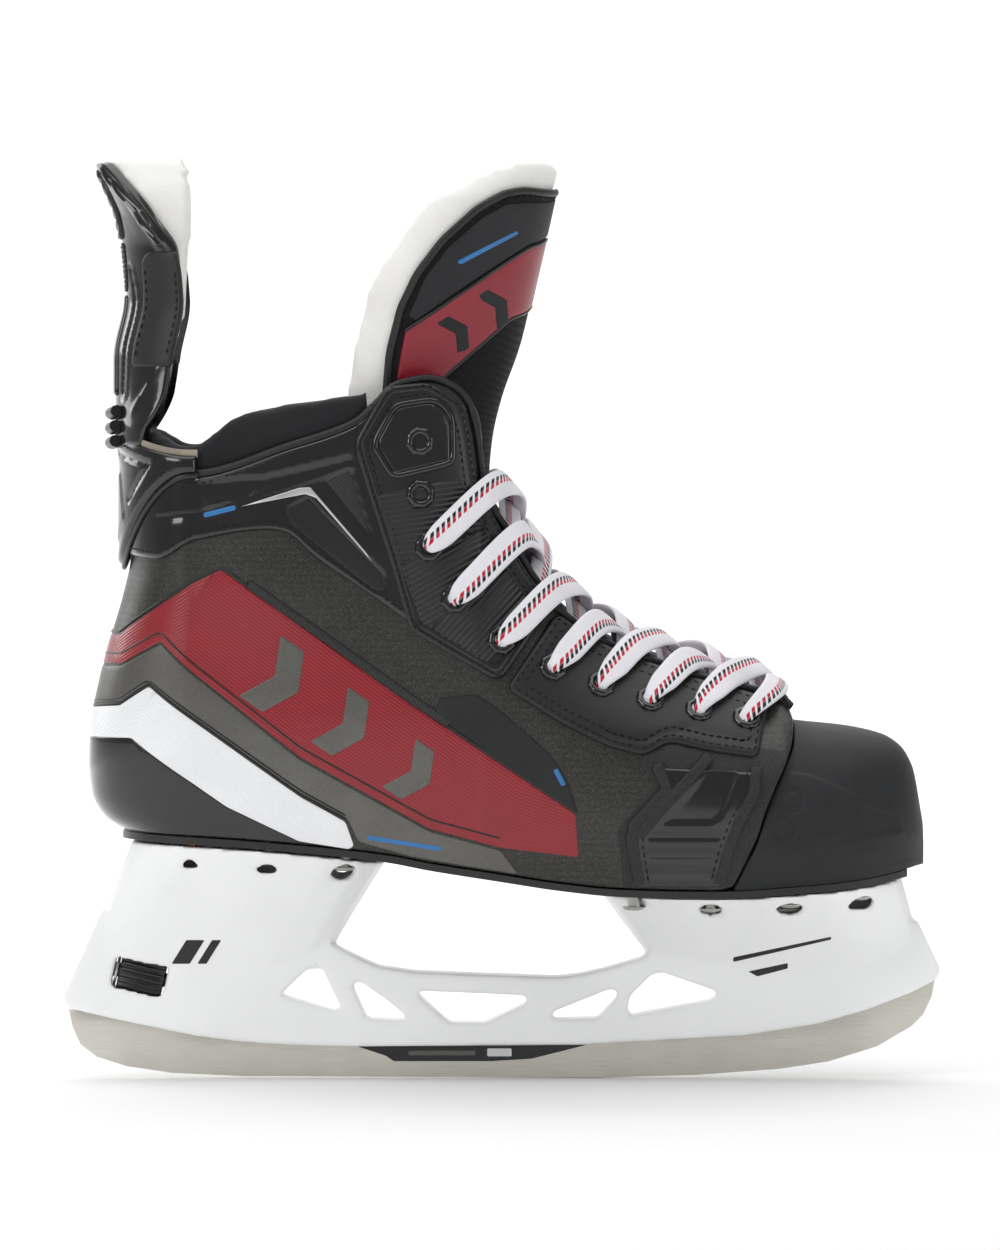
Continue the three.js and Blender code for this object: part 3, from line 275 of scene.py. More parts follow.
def catmull(points: np.ndarray, per_span: int) -> np.ndarray:
    """A smooth curve through points in space.

    Args:
        points: the points, one per row.
        per_span: how many steps each span takes.

    Returns:
        The curve's points, the given ones among them.
    """
    padded = np.vstack([2 * points[0] - points[1], points, 2 * points[-1] - points[-2]])
    made = []
    for a, b, c, d in zip(padded[:-3], padded[1:-2], padded[2:-1], padded[3:]):
        for t in np.arange(per_span) / per_span:
            made.append(
                0.5 * (2 * b + (c - a) * t + (2 * a - 5 * b + 4 * c - d) * t**2 + (3 * b - a - 3 * c + d) * t**3)
            )
    made.append(points[-1])
    return np.array(made)


# ------------------------------------------------------------------ Surfaces
class Surface:
    """A surface drawn by two coordinates, both about a millimetre long on it."""

    outward = 1.0

    def point(self, a: np.ndarray, b: np.ndarray) -> np.ndarray:
        """Points at the coordinates, one per row."""
        raise NotImplementedError

    def normal(self, a: np.ndarray, b: np.ndarray, step: float = 0.5) -> np.ndarray:
        """Outward normals, from the surface's neighbours.

        Args:
            a: first coordinates.
            b: second coordinates.
            step: how far apart the neighbours are.

        Returns:
            Unit normals, one per row.
        """
        across = self.point(a + step, b) - self.point(a - step, b)
        up = self.point(a, b + step) - self.point(a, b - step)
        made = np.cross(across, up) * self.outward
        return made / np.maximum(np.linalg.norm(made, axis=1, keepdims=True), 1e-9)

    def lifted(self, a: np.ndarray, b: np.ndarray, offset: np.ndarray | float) -> np.ndarray:
        """Points that stand off the surface.

        Args:
            a: first coordinates.
            b: second coordinates.
            offset: how far they stand off, for all or for each.

        Returns:
            The points, one per row.
        """
        rise = np.broadcast_to(np.asarray(offset, float), np.shape(a))
        return self.point(a, b) + self.normal(a, b) * rise[:, None]


HEEL_TURN = -101.0
HEEL_SEAM = -154.0
THROAT_REACH = 34.0
THROAT = [
    (-60, 244), (-16.7, 231), (-10.5, 221), (-8.6, 211), (-6.5, 194), (0.5, 182), (9, 167),
    (17.4, 155.5), (28.4, 147), (38, 142), (55, 136), (65, 132.5), (82, 128.5), (97, 125),
]

heel_back = SmoothCurve([
    (82.5, -125.5), (87, -131.5), (94, -135.2), (103, -136.2), (115, -135.8), (130, -133),
    (146, -128.8), (159, -125), (172, -122.4), (198, -122), (216, -124),
])
sole_line = SmoothCurve([
    (-134, 82.5), (-100, 81), (-69, 78.7), (-38, 75.4), (-24, 72.8), (0, 69.2), (19, 66.5),
    (38, 64.8), (70, 64.2), (98, 65.8), (116, 67.5), (136, 71),
])
top_line = SmoothCurve([
    (-134, 214), (-102, 209), (-95, 213), (-89, 218), (-74, 222), (-46, 226.5), (-36, 229.5),
    (-25, 230.4), (-16.7, 228), (-11.2, 222.5), (-8.6, 216), (-6.5, 194), (0.5, 182), (9, 167),
    (17.4, 155.5), (28.4, 147), (38, 142), (55, 136), (65, 132.5), (82, 128.5), (91, 126), (97, 119),
])
belly_width = SmoothCurve([
    (-134, 34), (-101, 35), (-70, 37.5), (-40, 39.5), (0, 44), (40, 50), (70, 52), (98, 50.5),
])
sole_width = SmoothCurve([
    (-134, 26), (-101, 29), (-60, 30), (-20, 32.5), (20, 38), (60, 43.5), (98, 43),
])
top_width = SmoothCurve([
    (-134, 33), (-101, 34), (-60, 37.5), (-40, 38), (-20, 38.5), (0, 39.5), (17, 40.5), (50, 41),
    (97, 38),
])
throat_drop = SmoothCurve([(-30, 7), (-8, 9), (10, 12), (30, 15.5), (60, 17), (97, 16)])
belly_height = SmoothCurve([(-134, 0.24), (-60, 0.3), (-20, 0.32), (20, 0.36), (98, 0.42)])
collar_seam = SmoothCurve([
    (-134, 206), (-101, 199.5), (-69, 208.7), (-48, 216), (-41, 222), (-35, 228), (-25, 230.4),
])
toe_join = SmoothCurve([(64, 74), (80, 82), (94, 86.5), (102, 90.5), (112, 94.5), (121, 95.5)])


def toe_swing(x: np.ndarray | float) -> np.ndarray:
    """How far the toe leans to the inner side at X."""
    return 3.5 * smoothstep(x, 10, 120)


def shell_top(x: np.ndarray) -> np.ndarray:
    """The shell's upper edge: the collar seam at the back, and the throat in front."""
    return np.where(x < -25, np.minimum(top_line(x), collar_seam(x)), top_line(x))


class BootSkin(Surface):
    """The outside of the boot, unrolled.

    The first coordinate is 0 at the back seam and grows round the heel and forward on the inner
    side; it is negative on the outer side. The second is the height.
    """

    outward = -1.0

    def half_width(self, x: np.ndarray, z: np.ndarray) -> np.ndarray:
        """Half width of the boot at X and Z.

        Args:
            x: places along the boot.
            z: heights.

        Returns:
            The half widths.
        """
        sole, top, belly = sole_line(x), top_line(x), belly_height(x)
        h = np.clip((z - sole) / (top - sole), 0, 1)
        swell = np.sin(np.minimum(1, h / belly) * np.pi / 2) ** 0.8
        low = lerp(sole_width(x), belly_width(x), swell)
        k = np.maximum(0, (h - belly) / (1 - belly))
        wall = np.where(h < belly, low, lerp(belly_width(x), top_width(x), k**2))
        near = np.maximum(0, 1 - segment_distance(x, z, THROAT) / THROAT_REACH)
        ankle = 3 * np.exp(-(((x + 80) / 24) ** 2) - ((z - 168) / 22) ** 2)
        return wall - throat_drop(x) * near**2 + ankle

    def point(self, a: np.ndarray, b: np.ndarray) -> np.ndarray:
        """Points at the unrolled coordinates, one per row.

        Args:
            a: the coordinates round from the back seam, under 0 on one side.
            b: the heights.

        Returns:
            The points, one per row.
        """
        a, b = np.broadcast_arrays(np.asarray(a, float), np.asarray(b, float))
        u = HEEL_SEAM + np.abs(a)
        side = np.where(a < 0, -1.0, 1.0)
        turn = np.clip((u - HEEL_SEAM) / (HEEL_TURN - HEEL_SEAM), 0, 1) * np.pi / 2
        back = heel_back(b)
        ahead = u >= HEEL_TURN
        x = np.where(ahead, u, back + (HEEL_TURN - back) * (1 - np.cos(turn)))
        width = self.half_width(np.maximum(u, HEEL_TURN), b)
        y = side * width * np.where(ahead, 1.0, np.sin(turn)) + toe_swing(np.maximum(u, HEEL_TURN))
        return np.stack([x, y, b], axis=-1)

    def unroll(self, x: float, z: float) -> float:
        """How far round from the back seam a side-view point lies.

        Args:
            x: the point's place along the boot.
            z: its height.

        Returns:
            The unrolled coordinate.
        """
        if x >= HEEL_TURN:
            return x - HEEL_SEAM
        back = float(heel_back(z))
        cosine = 1 - (x - back) / (HEEL_TURN - back)
        return math.acos(min(1.0, max(0.0, cosine))) / (math.pi / 2) * (HEEL_TURN - HEEL_SEAM)

    def unrolled(self, points: Outline) -> list[tuple[float, float]]:
        """Side-view points in unrolled coordinates, on the inner side."""
        return [(self.unroll(x, z), z) for x, z in points]


SKIN = BootSkin()


def on_side(points: Outline, side: Side) -> list[tuple[float, float]]:
    """Unrolled points of one side of the boot."""
    return [(a * side.value, b) for a, b in points]


def round_heel(upper: Outline, lower: Outline) -> list[tuple[float, float]]:
    """The outline of a piece that wraps the heel from side to side.

    Args:
        upper: the upper edge in the side view, from the back seam forward.
        lower: the lower edge, from the back seam forward.

    Returns:
        The closed outline in unrolled coordinates.
    """
    over, under = SKIN.unrolled(upper), SKIN.unrolled(lower)
    over[0], under[0] = (0.0, over[0][1]), (0.0, under[0][1])
    half = over + under[::-1]
    other = [(-a, b) for a, b in half[::-1]]
    return half[:-1] + other[:-1]


# ------------------------------------------------------------------ Meshes
def make_mesh(name: str, points: np.ndarray, faces: Sequence[Sequence[int]], uv: np.ndarray | None = None,
              crease: float = 40.0) -> bpy.types.Object:
    """A mesh object from points in millimetres of the base pattern.

    Args:
        name: the piece's name.
        points: the points, one per row.
        faces: the corners of each face.
        uv: a coordinate pair in millimetres for each point.
        crease: the angle in degrees above which an edge is sharp.

    Returns:
        The new object, its faces turned outwards.
    """
    mesh = bpy.data.meshes.new(name)
    mesh.from_pydata((points * SCALE).tolist(), [], [list(map(int, f)) for f in faces])
    if uv is not None:
        corners = np.zeros(len(mesh.loops), np.int32)
        mesh.loops.foreach_get("vertex_index", corners)
        layer = mesh.uv_layers.new(name=SKIN_UV)
        layer.data.foreach_set("uv", (uv[corners] * UV_PER_MM).astype(np.float32).ravel())
    work = bmesh.new()
    work.from_mesh(mesh)
    bmesh.ops.recalc_face_normals(work, faces=work.faces)
    work.to_mesh(mesh)
    work.free()
    mesh.shade_smooth()
    mesh.set_sharp_from_angle(angle=math.radians(crease))
    made = bpy.data.objects.new(name, mesh)
    bpy.context.scene.collection.objects.link(made)
    return made


def grid_faces(rows: int, columns: int, closed: bool = False, start: int = 0) -> list[tuple[int, ...]]:
    """Quads over a grid of points.

    Args:
        rows: how many rows of points.
        columns: how many points in each.
        closed: whether each row joins its own start.
        start: the first point's number.

    Returns:
        The quads.
    """
    made = []
    for i in range(rows - 1):
        for j in range(columns if closed else columns - 1):
            k = (j + 1) % columns
            a, b = start + i * columns, start + (i + 1) * columns
            made.append((a + j, a + k, b + k, b + j))
    return made


def make_loft(name: str, rings: Sequence[np.ndarray], uv: np.ndarray | None = None,
              crease: float = 40.0) -> bpy.types.Object:
    """A closed solid through rings of points, its ends closed.

    Args:
        name: the piece's name.
        rings: the rings, each with the same number of points.
        uv: a coordinate pair for each point.
        crease: the angle in degrees above which an edge is sharp.

    Returns:
        The new object.
    """
    count = len(rings[0])
    faces = grid_faces(len(rings), count, closed=True)
    last = (len(rings) - 1) * count
    faces += [tuple(range(count)), tuple(range(last, last + count))]
    return make_mesh(name, np.vstack(rings), faces, uv, crease)


@dataclass
class Panel:
    """A piece laid on a surface: an outline filled with a fine mesh, with a rounded edge and relief.

    Attributes:
        name: the piece's name.
        surface: what it is laid on.
        outline: its corners, in the surface's coordinates.
        thickness: how far it stands up, inside its edge.
        base: where its edge starts, off the surface.
        under: how far its underside lies below its base.
        edge: how far in from the outline the edge is rounded.
        corner: how far along an edge each corner's rounding starts.
        spacing: the mesh's step.
        relief: height added at each coordinate.
        coordinates: the finish's own coordinates, where they aren't the surface's.
        pillow: whether the underside is rounded too, as on a stuffed piece.
    """

    name: str
    surface: Surface
    outline: Outline
    thickness: float
    base: float = 0.0
    under: float = 0.6
    edge: float = 0.7
    corner: float = 1.2
    spacing: float = 1.3
    relief: Height | None = None
    coordinates: Callable[[np.ndarray, np.ndarray], np.ndarray] | None = None
    pillow: bool = False

    def build(self) -> bpy.types.Object:
        """The panel's mesh, closed all round.

        Returns:
            The new object.
        """
        ring = resampled(rounded(self.outline, self.corner), self.spacing, closed=True)
        keep = np.linalg.norm(ring - np.roll(ring, 1, axis=0), axis=1) > 0.15 * self.spacing
        ring = ring[keep]
        low, high = ring.min(0), ring.max(0)
        step = self.spacing * math.sqrt(3) / 2
        rows = np.arange(low[1], high[1], step)
        inner = []
        for i, b in enumerate(rows):
            a = np.arange(low[0] + (i % 2) * self.spacing / 2, high[0], self.spacing)
            inner.append(np.stack([a, np.full(len(a), b)], axis=1))
        rim = self.rim_points(ring)
        field_points = np.vstack(inner)
        gap = segment_distance(*field_points.T, ring, closed=True)
        clear = (gap > self.clear_of_rim()) & inside(*field_points.T, ring)
        flat = np.vstack([ring, rim, field_points[clear]])
        count = len(ring)
        edges = [(i, (i + 1) % count) for i in range(count)]
        made = geometry.delaunay_2d_cdt([Vector(p) for p in flat], edges, [], 1, 1e-5)
        flat, faces = np.array([tuple(v) for v in made[0]]), made[2]
        return self.solid(flat, faces)

    def clear_of_rim(self) -> float:
        """How far from the outline the plain field of points starts."""
        return max(0.55 * self.spacing, self.edge + 0.4 * self.spacing)

    def rim_points(self, ring: np.ndarray) -> np.ndarray:
        """Points just inside the outline, which carry the rounded edge.

        Args:
            ring: the outline's points.

        Returns:
            The extra points.
        """
        ahead = np.roll(ring, -1, axis=0) - np.roll(ring, 1, axis=0)
        ahead /= np.maximum(np.linalg.norm(ahead, axis=1, keepdims=True), 1e-9)
        area = np.sum(ring[:, 0] * np.roll(ring[:, 1], -1) - np.roll(ring[:, 0], -1) * ring[:, 1])
        inward = np.stack([-ahead[:, 1], ahead[:, 0]], axis=1) * np.sign(area)
        made = []
        for share in (0.15, 0.5, 1.0):
            points = ring + inward * self.edge * share
            gap = segment_distance(*points.T, ring, closed=True)
            made.append(points[(gap > 0.8 * self.edge * share) & inside(*points.T, ring)])
        return np.vstack(made)

    def solid(self, flat: np.ndarray, faces: Sequence[Sequence[int]]) -> bpy.types.Object:
        """Raises the flat mesh into a closed solid on the surface.

        Args:
            flat: the flat points.
            faces: their triangles.

        Returns:
            The new object.
        """
        a, b = flat.T
        outline = resampled(rounded(self.outline, self.corner), self.spacing, closed=True)
        depth = segment_distance(a, b, outline, closed=True)
        share = np.clip(depth / self.edge, 0, 1)
        top = self.base + self.thickness * np.sqrt(1 - (1 - share) ** 2)
        if self.relief is not None:
            top = top + self.relief(a, b) * smoothstep(depth, 0, self.edge)
        over = self.surface.lifted(a, b, top)
        fall = self.under * np.sqrt(1 - (1 - share) ** 2) if self.pillow else self.under
        below = self.surface.lifted(a, b, self.base - fall)
        count = len(flat)
        solid = [tuple(f) for f in faces] + [tuple(i + count for i in reversed(f)) for f in faces]
        used: dict[tuple[int, int], int] = {}
        for f in faces:
            for i, j in zip(f, list(f[1:]) + [f[0]]):
                used[(i, j)] = used.get((i, j), 0) + 1
        solid += [(j, i, i + count, j + count) for (i, j) in used if (j, i) not in used]
        uv = self.coordinates(a, b) if self.coordinates else flat
        return make_mesh(self.name, np.vstack([over, below]), solid, np.vstack([uv, uv]))


def band_coordinates(line: Outline) -> Callable[[np.ndarray, np.ndarray], np.ndarray]:
    """Coordinates that follow a line: along it, and across it.

    Args:
        line: the line's points on one side; the other side mirrors them.

    Returns:
        A function from surface coordinates to those coordinates.
    """
    knots = np.array(line, float)
    steps = np.linalg.norm(np.diff(knots, axis=0), axis=1)
    travel = np.concatenate(([0], np.cumsum(steps)))

    def follow(a: np.ndarray, b: np.ndarray) -> np.ndarray:
        """Along and across the line at each coordinate.

        Args:
            a: the first coordinates.
            b: the second coordinates.

        Returns:
            How far along the line and how far across it, one row each.
        """
        a = np.abs(a)
        best = np.full(len(a), np.inf)
        made = np.zeros((len(a), 2))
        for i, (start, end) in enumerate(zip(knots[:-1], knots[1:])):
            run = (end - start) / steps[i]
            forward = (a - start[0]) * run[0] + (b - start[1]) * run[1]
            t = np.clip(forward, 0, steps[i])
            gap = np.hypot(a - start[0] - t * run[0], b - start[1] - t * run[1])
            across = (b - start[1]) * run[0] - (a - start[0]) * run[1]
            closer = gap < best - 1e-9
            best = np.where(closer, gap, best)
            made[closer] = np.stack([travel[i] + forward, across], axis=1)[closer]
        return made

    return follow


def make_sweep(name: str, path: np.ndarray, up: np.ndarray, section: Callable[[int], np.ndarray],
               closed: bool = False) -> bpy.types.Object:
    """A section carried along a path, its ends closed.

    Args:
        name: the piece's name.
        path: the path's points.
        up: which way is up at each of them.
        section: (across, up) offsets of the section's points at a step of the path.
        closed: whether the path joins its own start.

    Returns:
        The new object.
    """
    if closed:
        ahead = np.roll(path, -1, axis=0) - np.roll(path, 1, axis=0)
    else:
        ahead = np.gradient(path, axis=0)
    ahead /= np.maximum(np.linalg.norm(ahead, axis=1, keepdims=True), 1e-9)
    across = np.cross(ahead, up)
    across /= np.maximum(np.linalg.norm(across, axis=1, keepdims=True), 1e-9)
    over = np.cross(across, ahead)
    travel = np.concatenate(([0], np.cumsum(np.linalg.norm(np.diff(path, axis=0), axis=1))))
    rings, uv = [], []
    for i in range(len(path)):
        shape = section(i)
        rings.append(path[i] + shape[:, :1] * across[i] + shape[:, 1:] * over[i])
        uv.append(np.stack([np.full(len(shape), travel[i]), shape[:, 0]], axis=1))
    count = len(rings[0])
    faces = grid_faces(len(rings), count, closed=True)
    if closed:
        last = (len(rings) - 1) * count
        faces += [(last + j, last + (j + 1) % count, (j + 1) % count, j) for j in range(count)]
    else:
        last = (len(rings) - 1) * count
        faces += [tuple(range(count)), tuple(range(last, last + count))]
    return make_mesh(name, np.vstack(rings), faces, np.vstack(uv), crease=60)


def round_section(width: float, height: float, sides: int = 10) -> np.ndarray:
    """An oval section of (across, up) offsets."""
    angle = np.linspace(0, 2 * np.pi, sides, endpoint=False)
    return np.stack([width / 2 * np.cos(angle), height / 2 * np.sin(angle)], axis=1)


def make_piping(name: str, surface: Surface, line: Outline, width: float, height: float,
                lift: float = 0.0) -> bpy.types.Object:
    """A round bead laid along a line on a surface.

    Args:
        name: the piece's name.
        surface: what it lies on.
        line: its path, in the surface's coordinates.
        width: across the bead.
        height: through the bead.
        lift: where its middle lies off the surface.

    Returns:
        The new object.
    """
    flat = evenly(np.array(line, float), 1.2)
    for _ in range(3):
        flat[1:-1] = 0.25 * flat[:-2] + 0.5 * flat[1:-1] + 0.25 * flat[2:]
    path = surface.lifted(*flat.T, lift)
    shape = round_section(width, height)
    return make_sweep(name, path, surface.normal(*flat.T), lambda _: shape)


def make_stitches(name: str, surface: Surface, lines: Iterable[Outline], lift: float = 0.0, pitch: float = 2.6,
                  length: float = 1.9, width: float = 0.62) -> bpy.types.Object:
    """Rows of sewn stitches on a surface.

    Args:
        name: the piece's name.
        surface: what they are sewn into.
        lines: the rows, in the surface's coordinates.
        lift: the surface of the piece that they lie on.
        pitch: from one stitch to the next.
        length: of one stitch.
        width: of the thread.

    Returns:
        The new object, one mesh of small capsules.
    """
    points, faces = [], []
    rings, sides = 5, 6
    angle = np.linspace(0, 2 * np.pi, sides, endpoint=False)
    shares = np.linspace(-1, 1, rings)
    for line in lines:
        flat = evenly(np.array(line, float), pitch)
        ahead = np.gradient(flat, axis=0)
        ahead /= np.linalg.norm(ahead, axis=1, keepdims=True)
        for (a, b), (da, db) in zip(flat[1:-1], ahead[1:-1]):
            start = len(points) * rings * sides
            at = np.linspace(-length / 2, length / 2, rings)
            spine = surface.lifted(a + da * at, b + db * at, lift + 0.1 - 0.28 * shares**2)
            out = surface.normal(np.full(rings, a), np.full(rings, b))
            run = spine[-1] - spine[0]
            across = np.cross(run / np.linalg.norm(run), out[0])
            radius = width / 2 * np.sqrt(1 - (0.85 * shares) ** 2)
            body = (
                spine[:, None]
                + across * (radius[:, None] * np.cos(angle))[:, :, None]
                + out[:, None] * (radius[:, None] * np.sin(angle))[:, :, None]
            )
            points.append(body.reshape(-1, 3))
            faces += grid_faces(rings, sides, closed=True, start=start)
            last = start + (rings - 1) * sides
            faces += [tuple(range(start, start + sides)), tuple(range(last, last + sides))]
    return make_mesh(name, np.vstack(points), faces, crease=80)


def make_turned(name: str, profile: Outline, origin: np.ndarray, axis: np.ndarray, sides: int = 32,
                radial: Callable[[np.ndarray, float, float], np.ndarray] | None = None) -> bpy.types.Object:
    """A turned piece.

    Args:
        name: the piece's name.
        profile: (radius, height) pairs of its section, closed on itself.
        origin: where its axis starts.
        axis: the way its axis points.
        sides: how many steps go round.
        radial: what is added to the radius, from angle, radius and height.

    Returns:
        The new object.
    """
    turn = Vector((0, 0, 1)).rotation_difference(Vector(axis))
    to_axis = np.array(turn.to_matrix())
    angle = np.linspace(0, 2 * np.pi, sides, endpoint=False)
    rings = []
    for r, h in profile:
        radius = r + (radial(angle, r, h) if radial else 0.0 * angle)
        ring = np.stack([radius * np.cos(angle), radius * np.sin(angle), np.full(sides, h)], axis=1)
        rings.append(ring @ to_axis.T + origin)
    count = len(rings)
    faces = grid_faces(count, sides, closed=True)
    last = (count - 1) * sides
    faces += [(last + j, last + (j + 1) % sides, (j + 1) % sides, j) for j in range(sides)]
    made = make_mesh(name, np.vstack(rings), faces, crease=50)
    clean = bmesh.new()
    clean.from_mesh(made.data)
    bmesh.ops.remove_doubles(clean, verts=clean.verts, dist=1e-7)
    bmesh.ops.dissolve_degenerate(clean, edges=clean.edges, dist=1e-7)
    clean.to_mesh(made.data)
    clean.free()
    return made


def apply_modifiers(piece: bpy.types.Object) -> None:
    """Makes a piece's modifiers part of its mesh.

    Args:
        piece: the mesh object.
    """
    shown = piece.evaluated_get(bpy.context.evaluated_depsgraph_get())
    made = bpy.data.meshes.new_from_object(shown)
    piece.modifiers.clear()
    piece.data = made


def joined(name: str, pieces: Sequence[bpy.types.Object]) -> bpy.types.Object:
    """Several new pieces as one object.

    Args:
        name: the new object's name.
        pieces: the objects that go into it and are then removed.

    Returns:
        The new object.
    """
    work = bmesh.new()
    for piece in pieces:
        work.from_mesh(piece.data)
    mesh = bpy.data.meshes.new(name)
    work.to_mesh(mesh)
    work.free()
    for piece in pieces:
        bpy.data.objects.remove(piece)
    mesh.shade_smooth()
    made = bpy.data.objects.new(name, mesh)
    bpy.context.scene.collection.objects.link(made)
    return made


# ------------------------------------------------------------------ Finishes
def linear(red: int, green: int, blue: int) -> tuple[float, float, float, float]:
    """A paint colour, given from 0 to 255 as on a screen, as linear light.

    Args:
        red: its red, 0 to 255.
        green: its green.
        blue: its blue.

    Returns:
        Red, green, blue and an alpha of 1.
    """
    def one(value: int) -> float:
        """One channel."""
        share = value / 255
        return share / 12.92 if share <= 0.04045 else ((share + 0.055) / 1.055) ** 2.4

    return one(red), one(green), one(blue), 1.0


class Graph:
    """A node tree that is filled by short calls."""

    def __init__(self, tree: bpy.types.NodeTree) -> None:
        """Starts on a tree."""
        self.tree = tree

    def add(self, kind: str, inputs: dict[str | int, object] | None = None, **settings: object) -> bpy.types.Node:
        """A new node.

        Args:
            kind: the node's type, without its ShaderNode prefix.
            inputs: a value or another node's output for each named or numbered input.
            settings: the node's own settings.

        Returns:
            The node.
        """
        node = self.tree.nodes.new("ShaderNode" + kind)
        for key, value in settings.items():
            setattr(node, key, value)
        for key, value in (inputs or {}).items():
            if isinstance(value, bpy.types.NodeSocket):
                self.tree.links.new(value, node.inputs[key])
            else:
                node.inputs[key].default_value = value
        return node

    def math(self, operation: str, a: object, b: object = 0.0, c: object = 0.0) -> bpy.types.NodeSocket:
        """The result of one sum.

        Args:
            operation: the Math node's operation.
            a: its first input.
            b: its second input.
            c: its third input.

        Returns:
            The output.
        """
        return self.add("Math", {0: a, 1: b, 2: c}, operation=operation).outputs[0]


def new_group(name: str, inputs: dict[str, tuple[str, float]], outputs: Sequence[str]) -> Graph:
    """An empty shader node group with its sockets.

    Args:
        name: the group's name.
        inputs: for each input, its socket kind and starting value.
        outputs: the names of its outputs, all of them values.

    Returns:
        The group's graph.
    """
    tree = bpy.data.node_groups.new(name, "ShaderNodeTree")
    for label, (kind, value) in inputs.items():
        socket = tree.interface.new_socket(name=label, in_out="INPUT", socket_type=f"NodeSocket{kind}")
        if kind == "Float":
            socket.default_value = value
    for label in outputs:
        tree.interface.new_socket(name=label, in_out="OUTPUT", socket_type="NodeSocketFloat")
    return Graph(tree)


@lru_cache
def grain_group() -> bpy.types.NodeTree:
    """Moulded or leather grain: pebbles of one size, with a slow change of tone over them.

    Returns:
        The group's tree.
    """
    graph = new_group("grain", {"Vector": ("Vector", 0), "Size": ("Float", 1)}, ["Height", "Tone", "Fleck"])
    source = graph.tree.nodes.new("NodeGroupInput")
    scale = graph.math("DIVIDE", 1.0, source.outputs["Size"])
    place = {"Vector": source.outputs["Vector"]}
    pebble = graph.add("TexVoronoi", {**place, "Scale": scale, "Smoothness": 0.6}, feature="SMOOTH_F1")
    fine = graph.add("TexNoise", {**place, "Scale": graph.math("MULTIPLY", scale, 2.3), "Detail": 3.0})
    slow = graph.add("TexNoise", {**place, "Scale": graph.math("MULTIPLY", scale, 0.04), "Detail": 4.0})
    height = graph.math("MULTIPLY_ADD", fine.outputs[0], 0.6, graph.math("MULTIPLY", pebble.outputs[0], 0.4))
    out = graph.tree.nodes.new("NodeGroupOutput")
    tones = graph.add("MapRange", {0: slow.outputs[0], 1: 0.35, 2: 0.65}).outputs[0]
    fleck = graph.add("MapRange", {0: fine.outputs[0], 1: 0.52, 2: 0.7}).outputs[0]
    for label, value in (("Height", height), ("Tone", tones), ("Fleck", fleck)):
        graph.tree.links.new(value, out.inputs[label])
    return graph.tree


@lru_cache
def weave_group() -> bpy.types.NodeTree:
    """A twill of crossing threads, laid at 45 degrees.

    Returns:
        The group's tree.
    """
    graph = new_group("weave", {"Vector": ("Vector", 0), "Pitch": ("Float", 1)}, ["Height", "Thread"])
    source = graph.tree.nodes.new("NodeGroupInput")
    turned = graph.add("VectorRotate", {"Vector": source.outputs["Vector"], "Angle": math.radians(45)},
                       rotation_type="Z_AXIS")
    parts = graph.add("SeparateXYZ", {0: turned.outputs[0]})
    x = graph.math("DIVIDE", parts.outputs[0], source.outputs["Pitch"])
    y = graph.math("DIVIDE", parts.outputs[1], source.outputs["Pitch"])
    step = graph.math("ADD", graph.math("FLOOR", x), graph.math("MULTIPLY", graph.math("FLOOR", y), 3.0))
    over = graph.math("LESS_THAN", graph.math("FLOORED_MODULO", step, 4.0), 1.5)
    warp = graph.math("ABSOLUTE", graph.math("SINE", graph.math("MULTIPLY", x, math.pi)))
    weft = graph.math("ABSOLUTE", graph.math("SINE", graph.math("MULTIPLY", y, math.pi)))
    height = graph.add("Mix", {0: over, 2: weft, 3: warp}).outputs[0]
    out = graph.tree.nodes.new("NodeGroupOutput")
    graph.tree.links.new(height, out.inputs["Height"])
    graph.tree.links.new(over, out.inputs["Thread"])
    return graph.tree


@lru_cache
def ribs_group() -> bpy.types.NodeTree:
    """Parallel ribs across the second coordinate.

    Returns:
        The group's tree.
    """
    graph = new_group("ribs", {"Vector": ("Vector", 0), "Pitch": ("Float", 1), "Slant": ("Float", 0)}, ["Height"])
    source = graph.tree.nodes.new("NodeGroupInput")
    turned = graph.add("VectorRotate", {"Vector": source.outputs["Vector"], "Angle": source.outputs["Slant"]},
                       rotation_type="Z_AXIS")
    across = graph.add("SeparateXYZ", {0: turned.outputs[0]}).outputs[1]
    turns = graph.math("DIVIDE", across, source.outputs["Pitch"])
    wave = graph.math("SINE", graph.math("MULTIPLY", turns, 2 * math.pi))
    out = graph.tree.nodes.new("NodeGroupOutput")
    graph.tree.links.new(graph.math("MULTIPLY_ADD", wave, 0.5, 0.5), out.inputs["Height"])
    return graph.tree


